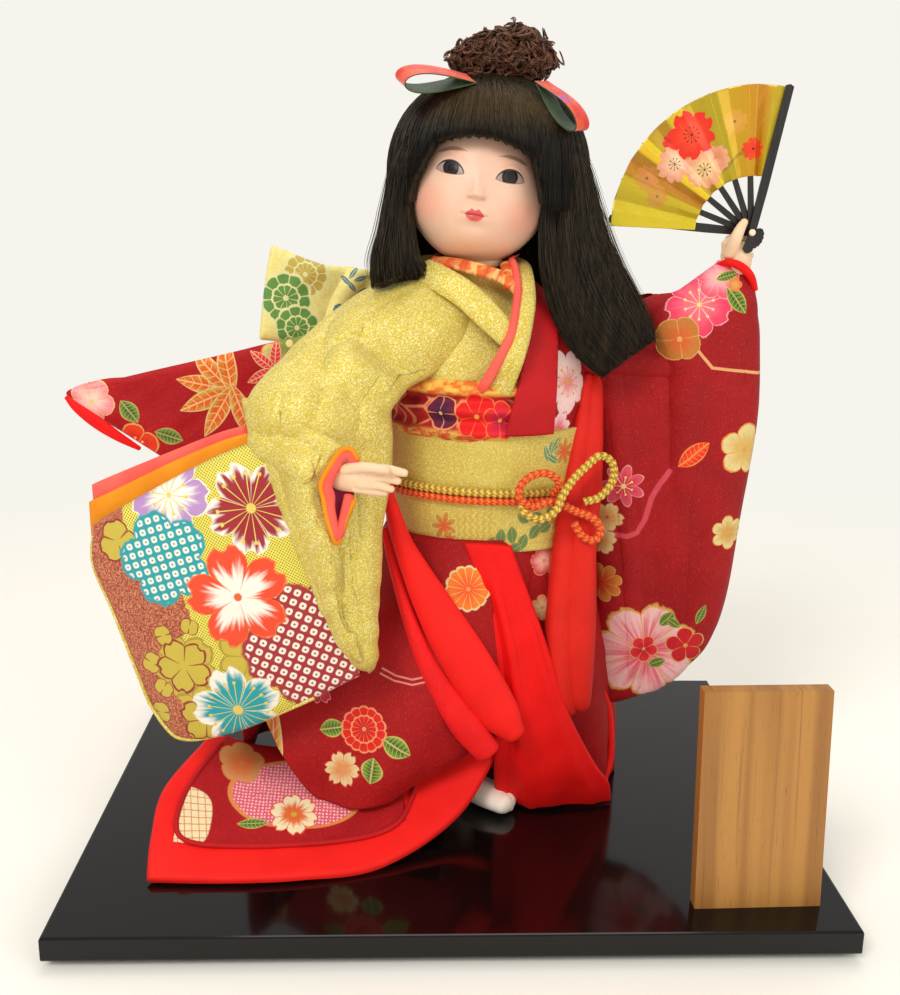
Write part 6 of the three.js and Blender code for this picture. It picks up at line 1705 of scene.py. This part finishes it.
def braid(name, path, look, node, slot, closed=False, facing=(0, 0, 1)):
    """A braided cord: strands that cross in herringbone over a round core."""
    radius, pitch, every, sides = 2.1, 3.1, 0.34, 28
    path = np.asarray(path, float)
    whole = np.concatenate([path, path[:1]]) if closed else path
    dense = spline(whole, np.linspace(0, 1, 60 * len(path)))
    run = np.concatenate([[0], np.cumsum(np.linalg.norm(np.diff(dense, axis=0), axis=1))])
    s = np.linspace(0, run[-1], int(run[-1] / every) + (not closed), endpoint=not closed)
    at = np.stack([np.interp(s, run, dense[:, k]) for k in range(3)], -1)
    along = unit(np.roll(at, -1, 0) - np.roll(at, 1, 0) if closed else np.gradient(at, axis=0))
    across = unit(np.cross(along, np.asarray(facing, float)))
    out = np.cross(across, along)
    angle = np.linspace(0, 2 * math.pi, sides, endpoint=False)
    turns = max(1, round(run[-1] / pitch)) if closed else run[-1] / pitch
    turn = s[:, None] / run[-1] * turns * 2 * math.pi
    zigzag = np.arcsin(np.sin(angle * 2)) / (math.pi / 2)
    other = (np.floor(angle / (math.pi / 2)) % 2) * math.pi
    stand = np.cos(turn + zigzag[None, :] * 2.4 + other[None, :])
    groove = -0.5 * np.exp(-((np.sin(angle * 2) / 0.22) ** 2))[None, :]
    size = radius * (0.90 + 0.11 * stand + 0.10 * groove)
    rings = (at[:, None] + across[:, None] * (np.cos(angle) * size)[..., None]
             + out[:, None] * (np.sin(angle) * size)[..., None])
    cloth = np.stack([np.broadcast_to(s[:, None], size.shape), np.broadcast_to(angle * radius, size.shape),
                      np.clip(stand + groove, -1, 1)], -1)
    dress(loft(name, rings, look, closed=closed, cloth=cloth), "doll", slot, node)


def round_sash(height):
    angle = np.linspace(0, 2 * math.pi, 22, endpoint=False)
    return np.stack([17 + 55.0 * np.cos(angle), 4 + 43.0 * np.sin(angle), height - 1.6 * np.cos(angle)], -1)


GOLD_CORD = cord_look("gold_cord", (226, 190, 58), (252, 240, 140), (168, 126, 34))
ORANGE_CORD = cord_look("orange_cord", (246, 104, 12), (255, 160, 66), (204, 60, 8))
BOW_FACING = (0.1, -1, 0.05)
braid("sash_cord_gold", round_sash(178.6), GOLD_CORD, "obi_cord_gold", "gold_cord", closed=True)
braid("sash_cord_orange", round_sash(174.4), ORANGE_CORD, "obi_cord_orange", "orange_cord", closed=True)
braid("bow_cord_gold", [
    [33, -39.5, 177], [34, -44.5, 170.5], [41.5, -46, 167.5], [49, -45, 171], [53, -42.4, 178.5], [58, -39, 185.5],
    [65, -36, 192], [72, -34, 197], [78.5, -33, 193], [79, -33, 184], [73, -34, 176], [65, -35, 173.5]],
      GOLD_CORD, "cord_bow_gold", "gold_cord", facing=BOW_FACING)
braid("bow_cord_orange", [
    [49, -35.5, 177], [51, -41, 185], [45, -43.4, 190], [37.5, -43.6, 189], [32, -44, 184], [31.5, -44, 177.5],
    [38, -42.6, 172.8], [46, -41, 174.6], [53, -38.6, 173], [61, -37.5, 169], [69, -38, 166], [73.5, -38, 160],
    [70.5, -38, 154.5], [64.5, -38, 156.5], [60, -37.5, 163]],
      ORANGE_CORD, "cord_bow_orange", "orange_cord", facing=BOW_FACING)

# Red sleeve on the raised arm
# the sleeve's own darker tone of the red crepe, as painted shade
SLEEVE_CREPE = crepe("sleeve_crepe", (162, 12, 18), (138, 8, 14), sleeve_pattern)
RED_SLEEVE = [
    [[131, -11, 291], [137, -12, 292], [144, -12, 286.5], [149, -11, 278.5]],
    [[102, -7, 271], [119, -12, 275], [136, -14, 274], [151.5, -11, 266]],
    [[64, -1, 262], [92, -8, 262], [124, -13, 258], [154, -10, 250]],
    [[70, -1, 234], [98, -7, 232], [128, -12, 225], [156, -10, 212]],
    [[76, -1, 178], [102, -6, 174], [128, -9, 168], [151.5, -9, 160]],
    [[79, -1, 122], [104, -5, 120], [128, -8, 116], [147.5, -7, 112]],
    [[82, -1, 76], [104, -4, 74], [122, -6, 76], [139, -5, 84]],
    [[88, -1, 50], [98, -3, 52], [108, -4, 56], [117, -4, 63]]]
red_creases = creases(
    (3.5, 0.05, 0.30, 0.38, 0.31, 0.1), (6.5, 0.36, 0.28, 0.47, 0.35, 0.04), (6.5, 0.47, 0.35, 0.49, 0.50, 0.035),
    (-1.8, 0.46, 0.26, 0.57, 0.36, 0.045), (-1.8, 0.57, 0.36, 0.58, 0.52, 0.04), (1.6, 0.35, 0.5, 0.45, 0.9, 0.12),
    (1.2, 0.5, 0.42, 0.9, 0.36, 0.03), (-1.0, 0.15, 0.45, 0.3, 0.85, 0.03), (0.6, 0.6, 0.5, 0.68, 0.95, 0.03))
sheet(drape("crepe_sleeve_left", RED_SLEEVE, SLEEVE_CREPE, thick=17, rim=3, nu=90, nv=170, fold=red_creases, crown=3,
            wrinkle=0.5, wrinkle_size=12), "red_crepe", "red_sleeve")
tube("crepe_sleeve_arm", [[50, 4, 252, 14.4, 14.4], [74, -1, 244.3, 11.6, 11.6], [108, -7, 240.6, 10.6, 10.6],
                          [123, -10, 250.6, 9.6, 9.6], [133, -11, 272, 7.8, 7.8], [137, -11, 284, 6.4, 6.4]],
     SLEEVE_CREPE, "red_crepe", "red_sleeve", fill=0.3, sides=48, steps=14)
STRIP = [
    [[67, -2, 232], [71, -4, 233], [75, -2, 232]], [[63, -13, 202], [68, -16, 203], [75, -11, 202]],
    [[58, -21, 173], [65, -26, 174], [75, -19, 172]], [[53, -26, 150], [62, -31, 152], [74, -24, 149]],
    [[50, -30, 121], [61, -35, 123], [75, -28, 120]], [[49, -33, 96], [61, -38, 96], [75, -31, 90]],
    [[55, -34, 70], [63, -37, 70], [74, -31, 69]], [[61, -32, 58], [66, -33, 59], [71, -31, 62]]]
sheet(drape("lining_strip_left", STRIP, STRIP_RED, thick=8, rim=2.6, nv=150, wrinkle=0.3,
            fold=lambda u, v: 2.2 * np.cos(u * 4 * math.pi + 0.5 * np.sin(v * 3))),
      "red_lining", "red_sleeve_lining")

# Gold sleeve on the lowered arm
CUFF = [[[-57, -77, 203], [-52, -75.5, 205], [-47, -74, 204]], [[-61, -78, 191], [-55, -76, 191], [-48, -74.5, 191]],
        [[-60, -78.5, 179], [-55, -77.5, 178], [-50, -76, 179]],
        [[-58, -79, 168], [-56, -79, 167], [-54.5, -78.5, 168]]]
# the lining inside the cuff is real cloth, coloured dark as painted shade
sheet(drape("cuff_lining_in_shade", CUFF, CUFF_IN_SHADE, thick=1.2, rim=0.8, nu=30, wrinkle=0.3, wrinkle_size=6),
      "pink_lining", "cuff_lining")
tube("gold_sleeve_arm", [[-21, 4, 257, 14.5, 14.5], [-45, -9, 249, 13.5, 13.5], [-78, -37, 227, 11.5, 11.5],
                         [-85, -50, 213, 10.5, 10.5], [-67, -64, 203, 9, 9]],
     GOLD_CLOTH, "gold_cloth", "gold_sleeve", fill=0.3, sides=48, steps=14)
UPPER = [
    [[-14, -2, 285], [-9, -12, 283], [-1, -19, 279], [8, -23, 272]],
    [[-44, -3, 273], [-37, -18, 267], [-18, -26, 262], [4, -26, 254]],
    [[-63, -14, 261], [-53, -30, 253], [-34, -35, 246], [-10, -25.5, 238]],
    [[-82, -32, 244], [-66, -46, 237], [-49, -47, 232], [-31, -41, 226]],
    [[-99, -50, 224], [-78, -60, 222], [-53, -58, 217], [-32, -48, 207]],
    [[-93, -52, 207], [-74, -58, 202], [-51, -58, 195], [-33, -51, 188]],
    [[-80, -56, 177], [-64, -60, 173], [-48, -62, 171], [-37, -56, 164]],
    [[-68, -62, 146], [-58, -66, 145], [-47, -67, 143], [-38, -62, 136]],
    [[-53, -66, 112], [-49, -69, 112], [-44, -69, 111], [-40, -66, 108]],
    [[-44, -67, 98], [-43, -68, 98], [-42, -68, 97], [-41, -67, 97]]]
upper_creases = creases(
    (2.6, 0.42, 0.22, 0.9, 0.27, 0.035), (-3.6, 0.45, 0.28, 0.95, 0.325, 0.03), (1.6, 0.1, 0.2, 0.5, 0.40, 0.04),
    (2.2, 0.75, 0.36, 0.62, 0.85, 0.05), (-1.8, 0.55, 0.42, 0.45, 0.8, 0.05), (1.4, 0.3, 0.45, 0.3, 0.8, 0.05))
sheet(drape("gold_sleeve_front", UPPER, GOLD_CLOTH, thick=15, rim=3.5, nv=150, wrinkle=1.0, wrinkle_size=11,
            fold=upper_creases), "gold_cloth", "gold_sleeve")
FORE = [
    [[-101, -50, 226], [-82, -57, 223], [-68, -66, 217], [-54, -74, 209]],
    [[-98, -51, 212], [-84, -60, 208], [-71, -69, 203], [-60, -76, 199]],
    [[-93, -53, 202], [-81, -62, 197], [-71, -71, 194], [-64, -77, 191]],
    [[-84, -58, 184], [-76, -66, 182], [-68, -73, 180], [-62, -77, 179]],
    [[-75, -63, 160], [-68, -70, 161], [-62, -75, 162], [-56, -77, 163]],
    [[-65, -67, 138], [-61, -71, 138], [-57, -74, 138], [-54, -75, 138]],
    [[-55, -70, 118], [-54, -72, 119], [-52, -73, 120], [-51, -73, 120]],
    [[-45, -71, 103], [-45, -72, 103], [-44, -72, 103], [-43, -72, 103]]]
fore_creases = creases((2.0, 0.1, 0.04, 0.9, 0.1, 0.05), (-1.8, 0.1, 0.2, 0.8, 0.22, 0.04),
                       (1.6, 0.35, 0.3, 0.35, 0.85, 0.08))
sheet(drape("gold_sleeve_cuff", FORE, GOLD_CLOTH, thick=13, rim=3, nu=50, nv=120, wrinkle=0.8, wrinkle_size=10,
            fold=fore_creases), "gold_cloth", "gold_sleeve")
CUFF_MIDDLE = np.array([-53.5, 190.0])
CUFF_EDGE = np.array([
    [-46, -81, 205], [-49, -81, 209.5], [-53.5, -81.5, 209], [-58, -82.5, 203], [-62.5, -83, 194], [-61.5, -82.5, 187],
    [-60.5, -82, 180], [-58.5, -81, 172], [-56, -80, 165], [-53, -79.5, 172], [-51, -79.5, 178], [-48, -79, 185]])
for name, look, half, inward in (("cuff_edge", ORANGE_CLOTH, 1.2, 0.0), ("cuff_inner_edge", PINK_CLOTH, 2.4, 3.0)):
    ring = CUFF_EDGE.copy()
    ring[:, [0, 2]] += inward * unit(CUFF_MIDDLE - ring[:, [0, 2]])
    ring[:, 1] += inward * 0.3
    tube(name, with_size(ring, half, half), look, "pink_lining", sides=16, steps=6)
SEAM = [[-56, -82, 163], [-56.5, -82, 152], [-55, -80.5, 139], [-53, -79, 126], [-50, -78, 119], [-46, -77, 113],
        [-44, -75.5, 106]]
dashes = [spline(SEAM, np.linspace(k / 30, k / 30 + 0.02, 5)) for k in range(30)]
dress(strands("sleeve_stitches", dashes, 0.32, GOLD_CLOTH, sides=5, taper=1.0), "doll", "gold_cloth")

BAG = [
    [[-176, -44, 162], [-164, -46, 170], [-137, -50, 186], [-111, -54, 200], [-87, -58, 210]],
    [[-177, -46, 144], [-152, -52, 155], [-126, -57, 168], [-103, -60, 180], [-79, -62, 193]],
    [[-168, -50, 122], [-143, -58, 132], [-117, -62, 145], [-92, -65, 158], [-68, -67, 172]],
    [[-159, -54, 98], [-134, -62, 105], [-107, -66, 116], [-83, -69, 128], [-58, -70, 142]],
    [[-150, -57, 73], [-135, -63, 59], [-109, -67, 65], [-76, -70, 80], [-43, -72, 98]]]


def behind_bag(top, shift):
    return [top] + (np.array(BAG[1:]) + shift).tolist()


def bag_fold(u, v):
    return 1.6 * np.sin(u * math.pi * 2.2 + v) * v


sheet(drape("brocade_sleeve", BAG, BROCADE, thick=9, rim=2.2, nu=130, nv=130, fold=bag_fold, stop=(0.97, 1),
            wrinkle=0.4, wrinkle_size=16), "flower_brocade", "gold_sleeve_bag")
grid, _, _ = surface(BAG, 60, 60, stop=(0.97, 1))
hem = np.concatenate([grid[4::6, 0], grid[-1, 2:56:6]]) + (0, -1.0, 0)
tube("bag_edge", with_size(hem, 0.9, 0.9), GOLD_CLOTH, "gold_cloth", sides=12, steps=5)
ORANGE_TOP = [[-180, -34, 171], [-166, -36, 178], [-139, -40, 192], [-113, -44, 204], [-92, -48, 211]]
PINK_TOP = [[-180, -27, 178], [-167, -29, 184], [-140, -33, 196], [-114, -37, 207], [-94, -41, 213]]
for name, top, shift, look, thick, rim, stop, slot, node, length, under in (
        ("orange_sleeve", ORANGE_TOP, (-1.5, 10, 2), ORANGE_CLOTH, 4.5, 2.2, (0.9, 0.90),
         "orange_lining", "orange_inner_sleeve", 110, "brocade_sleeve"),
        ("pink_sleeve", PINK_TOP, (-1.0, 16.5, 5), PINK_CLOTH, 5.0, 2.4, (0.88, 0.86),
         "pink_lining", "pink_inner_sleeve", 105, "orange_sleeve")):
    sheet(drape(name, behind_bag(top, shift), look, thick=thick, rim=rim, nu=80, nv=80, fold=bag_fold, stop=stop,
                wrinkle=0.5, wrinkle_size=10), slot, node)

# Slipped sleeve
SLIPPED = [[[-193, 28, 220], [-130, 33, 234], [-75, 36, 247], [-24, 32, 252]],
           [[-206, 28, 214], [-136, 33, 216], [-77, 36, 220], [-24, 32, 224]],
           [[-176, 26, 194], [-124, 30, 192], [-72, 33, 192], [-23, 30, 196]],
           [[-152, 24, 179], [-108, 28, 168], [-66, 31, 164], [-22, 28, 168]]]
sheet(drape("crepe_sleeve_right", SLIPPED, CREPE, thick=9, rim=2.4, nu=130, nv=70, wrinkle=0.6, wrinkle_size=12,
            fold=lambda u, v: 1.8 * np.sin(u * 7 + v * 2) * (0.4 + 0.6 * v)),
      "red_crepe", "slipped_sleeve")
tube("slipped_sleeve_edge", [[-206, 23, 214, 1.2, 1.2], [-200, 21.5, 208.5, 2.6, 2.0], [-190, 20.5, 201, 3.4, 2.2],
                             [-179, 20, 193.5, 2.6, 2.0], [-168, 20, 187, 1.2, 1.2]],
     RED_LINING, "red_lining", fill=0.6, sides=24)

# Skirt and train
LEFT_LOBE = [[153, 12, 2, 44, 36.5], [120, 0, -3, 48, 42], [90, -12, -7, 55, 45], [60, -26, -10, 64, 46],
             [40, -38, -12, 67, 46], [25, -49, -14, 62, 43]]
RIGHT_LOBE = [[153, 20, 5, 46, 35.5], [110, 30, 8, 50, 37], [70, 42, 11, 48, 38], [30, 52, 14, 41.5, 37],
              [1, 56, 15, 38, 35]]
LOBE_EDGE = [(-112, 86), (-102, 70), (-95, 58), (-88, 46), (-80, 34), (-74, 25), (-69, 20), (-51, 17), (-32, 21),
             (-16, 30), (13, 42)]
FOOT_AT, FOOT_ROOM = (16, -22, 8), (24, 24, 20)


def open_round_foot(points):
    """Leaves room about the forward foot."""
    rel = points - FOOT_AT
    r = np.linalg.norm(rel / FOOT_ROOM, axis=-1, keepdims=True)
    return np.where(r < 1, FOOT_AT + rel / np.maximum(r, 0.05), points)


def skirt(name, levels, fold, edge=None):
    """Half of the skirt, gathered under the sash. edge gives the hem's height at places across its front."""
    rings, _, t = stack_rings(levels, sides=180, steps=14, fold=fold)
    if edge is not None:
        low = np.interp(rings[-1, :, 0], *zip(*edge))
        front = np.clip((rings[-1, :, 1].mean() - 4 - rings[-1, :, 1]) / 12, 0, 1)
        rings[..., 2] += t**3 * (front * (low - rings[-1, :, 2]))[None]
    outward = unit((rings - rings.mean(1, keepdims=True)) * (1, 1, 0))
    rings = open_round_foot(rings + outward * (0.5 * ripple(rings, 15.0))[..., None])
    return shell(loft(name, rings, SKIRT_CREPE, caps=False, cloth=rings), 2.4)


tube("hem_roll", [[-34, -39, 181, 2.4, 2.8], [-31, -42, 171, 3.6, 3.8], [-25, -46, 153, 5.2, 4.6],
                  [-11, -50, 125, 9.4, 5.4], [6, -54, 96, 12, 6], [23, -55.5, 69, 10.5, 6], [31, -56, 58, 6, 4.5]],
     ROLL_RED, "red_lining", "flap_roll", fill=0.8, sides=60, steps=16, dome=0.9)
tube("hem_edge", [[-35, -40, 160, 1.8, 2.6], [-28, -44, 134, 2.8, 3.2], [-18.5, -50, 106, 4.2, 3.8],
                  [-8, -54, 84, 6, 4.4], [6, -56, 63, 8, 5], [18, -55.5, 47, 7, 5]],
     EDGE_RED, "red_lining", "flap_piping", sides=48, steps=16)
sheet(skirt("skirt_front", LEFT_LOBE, lambda a, t: t * (2.2 * np.cos(a * 9 + 1) + 1.4 * np.cos(a * 5)),
            LOBE_EDGE), "red_crepe", "skirt_left")
PANEL = [
    [[6, -38, 152], [17, -40, 152], [28, -39, 151]], [[14, -41, 129], [25, -43, 129], [38, -40, 125]],
    [[20, -43, 103], [33, -45, 101], [48, -41, 98]], [[23, -43, 70], [40, -45, 68], [60, -40, 62]],
    [[24, -38, 36], [47, -42, 34], [76, -35, 30]], [[25, -32, 15], [53, -37, 15], [85, -30, 16]],
    [[28, -27, 2.4], [56, -32, 2.4], [88, -25, 2.4]]]
panel_creases = creases((1.4, 0.55, 0.1, 0.62, 0.95, 0.12), (-1.6, 0.35, 0.2, 0.3, 1.0, 0.05),
                        (1.2, 0.18, 0.2, 0.12, 1.0, 0.06), (-1.0, 0.8, 0.3, 0.84, 1.0, 0.05))
sheet(drape("lining_front", PANEL, RED_LINING, thick=4.5, rim=2, nu=90, nv=130, wrinkle=0.6, wrinkle_size=18,
            fold=panel_creases), "red_lining", "lining_panel")
sheet(skirt("skirt_back", RIGHT_LOBE, lambda a, t: t * 1.8 * np.cos(a * 8)),
      "red_crepe", "skirt_right")
TRAIN = [
    [[-145, -96.5, 2.4], [-110, -98, 2.2], [-74, -96, 2.2], [-35, -86, 2.2], [4, -56, 13], [29, -25, 40]],
    [[-146, -80, 14], [-112, -78, 8], [-78, -76, 7], [-36, -66, 8], [2, -42, 22], [24, -16, 48]],
    [[-144, -56, 27], [-112, -52, 18], [-80, -50, 16], [-38, -42, 18], [0, -28, 32], [16, -8, 56]],
    [[-127, -20, 38], [-104, -20, 30], [-78, -20, 28], [-40, -20, 30], [-4, -14, 42], [8, 2, 62]]]
# the train's own lighter tone of the red crepe, as painted light
TRAIN_CREPE = crepe("train_crepe", (176, 14, 22), (150, 10, 18), train_pattern)
sheet(drape("train_cloth", TRAIN, ROLL_RED, thick=6, rim=4, nu=150, nv=80, wrinkle=0.4, wrinkle_size=18),
      "red_lining", "train")
sheet(drape("train_face", TRAIN, TRAIN_CREPE, thick=1.6, rim=1.2, nu=120, nv=70, lift=3.5, start=(0.055, 0.30),
            stop=(0.66, 1.0), wrinkle=0.35), "red_crepe", "")

# The thin rolled edges
ACROSS, ALONG = 120, 70
grid, _, _ = surface(TRAIN, ACROSS, ALONG)
raised = grid + grid_normals(grid) * 4.0
FACE_EDGE = [(0.055, 1.0), (0.05, 0.6), (0.06, 0.32), (0.2, 0.285), (0.4, 0.29), (0.6, 0.27), (0.66, 0.34),
             (0.70, 0.6), (0.72, 0.85)]
share = spline(FACE_EDGE, np.linspace(0, 1, 60))
iu, iv = (share[:, 0] * ACROSS).round().astype(int), np.clip((share[:, 1] * ALONG).round().astype(int), 0, ALONG)
exact = np.pad(raised[iv, iu], ((3, 3), (0, 0)), mode="edge")
smooth = np.stack([np.convolve(exact[:, k], np.ones(7) / 7, "valid") for k in range(3)], -1)
tube("train_edge", with_size(smooth, 1.3, 1.3), COLLAR_RED, "red_lining", sides=16, steps=2, facing=(0, 0, 1))
tube("sleeve_mouth", [[130, -13, 290, 1.2, 1.2], [134, -18, 291.5, 1.9, 1.9], [140, -19.5, 289.5, 2.1, 2.1],
                      [145, -18.5, 285, 2.1, 2.1], [149, -15, 278.5, 1.4, 1.4]], RED_LINING, "red_lining")
tube("skirt_back_edge", [[84, -10, 60, 1.4, 1.4], [88.5, -5, 48, 2.0, 2.0], [91, -4, 32, 2.2, 2.2],
                         [91.5, -4, 16, 2.2, 2.2], [88, -8, 3.5, 1.8, 1.8]], ROLL_RED, "red_lining")


# Floor, light and camera

def floor_look():
    p = Paint("floor")
    x, y, _ = p.xyz(p.node("NewGeometry"))
    far = (x * x + y * y).sqrt().step(0.42, 1.0)
    ray = p.node("LightPath")
    seen = ray.most(ray.part("Is Glossy Ray")).most(ray.part("Is Transmission Ray"))
    diffuse = p.node("BsdfDiffuse", srgb(245, 242, 233))
    glow = p.node("Emission", srgb(246, 244, 236), 1.0)
    mixed = p.node("MixShader", far * seen, diffuse, glow)
    end = p.tree.nodes.new("ShaderNodeOutputMaterial")
    p.tree.links.new(mixed.socket, end.inputs["Surface"])
    return p.material


FLOOR_RADIUS, FLOOR_SIDES = 3500, 96
turns = np.linspace(0, 2 * math.pi, FLOOR_SIDES, endpoint=False)
disc = [[0, 0, -BOARD_TOP]] + [[FLOOR_RADIUS * math.cos(a), FLOOR_RADIUS * math.sin(a), -BOARD_TOP] for a in turns]
wedges = [[0, 1 + i, 1 + (i + 1) % FLOOR_SIDES] for i in range(FLOOR_SIDES)]
floor = add_mesh("floor", disc, wedges, floor_look())

world = bpy.data.worlds.new("studio")
scene.world = world
world.use_nodes = True
tree = world.node_tree
tree.nodes.clear()
ray = tree.nodes.new("ShaderNodeLightPath")
either = tree.nodes.new("ShaderNodeMath")
either.operation = "MAXIMUM"
tree.links.new(ray.outputs["Is Camera Ray"], either.inputs[0])
tree.links.new(ray.outputs["Is Transmission Ray"], either.inputs[1])
sky = tree.nodes.new("ShaderNodeBackground")
sky.inputs["Color"].default_value = (1.0, 0.985, 0.955, 1)
sky.inputs["Strength"].default_value = 0.62
plain = tree.nodes.new("ShaderNodeBackground")
plain.inputs["Color"].default_value = srgb(246, 244, 236)
plain.inputs["Strength"].default_value = 1.0
blend = tree.nodes.new("ShaderNodeMixShader")
end = tree.nodes.new("ShaderNodeOutputWorld")
tree.links.new(either.outputs[0], blend.inputs[0])
tree.links.new(sky.outputs[0], blend.inputs[1])
tree.links.new(plain.outputs[0], blend.inputs[2])
tree.links.new(blend.outputs[0], end.inputs["Surface"])


LIT = (0, 0, 0.2)


def lamp(name, place, size, power):
    data = bpy.data.lights.new(name, "AREA")
    data.shape = "DISK"
    data.size = size
    data.energy = power
    data.color = (1.0, 0.98, 0.95)
    made = bpy.data.objects.new(name, data)
    scene.collection.objects.link(made)
    made.location = place
    made.rotation_euler = (Vector(LIT) - Vector(place)).to_track_quat("-Z", "Y").to_euler()


lamp("key", (-0.9, -1.5, 1.7), 0.9, 26)
lamp("fill", (1.4, -1.3, 0.9), 1.2, 9)
lamp("above", (0.1, 0.5, 1.9), 1.2, 10)

yaw, pitch, roll = math.radians(2.23), math.radians(14.0), math.radians(0.94)
forward = Vector((math.sin(yaw) * math.cos(pitch), math.cos(yaw) * math.cos(pitch), -math.sin(pitch)))
right = Vector((math.cos(yaw), -math.sin(yaw), 0))
up = Vector((math.sin(yaw) * math.sin(pitch), math.cos(yaw) * math.sin(pitch), math.cos(pitch)))
right, up = right * math.cos(roll) + up * math.sin(roll), up * math.cos(roll) - right * math.sin(roll)
lens = bpy.data.cameras.new("camera")
lens.sensor_width = 36
lens.lens = 40.05
lens.shift_y = -0.015
lens.clip_start = 0.01
camera = bpy.data.objects.new("camera", lens)
scene.collection.objects.link(camera)
axes = Matrix((right, up, -forward)).transposed().to_4x4()
camera.matrix_world = Matrix.Translation((-0.0233, -0.5683, 0.3321)) @ axes
scene.camera = camera
scene.view_settings.view_transform = "Standard"
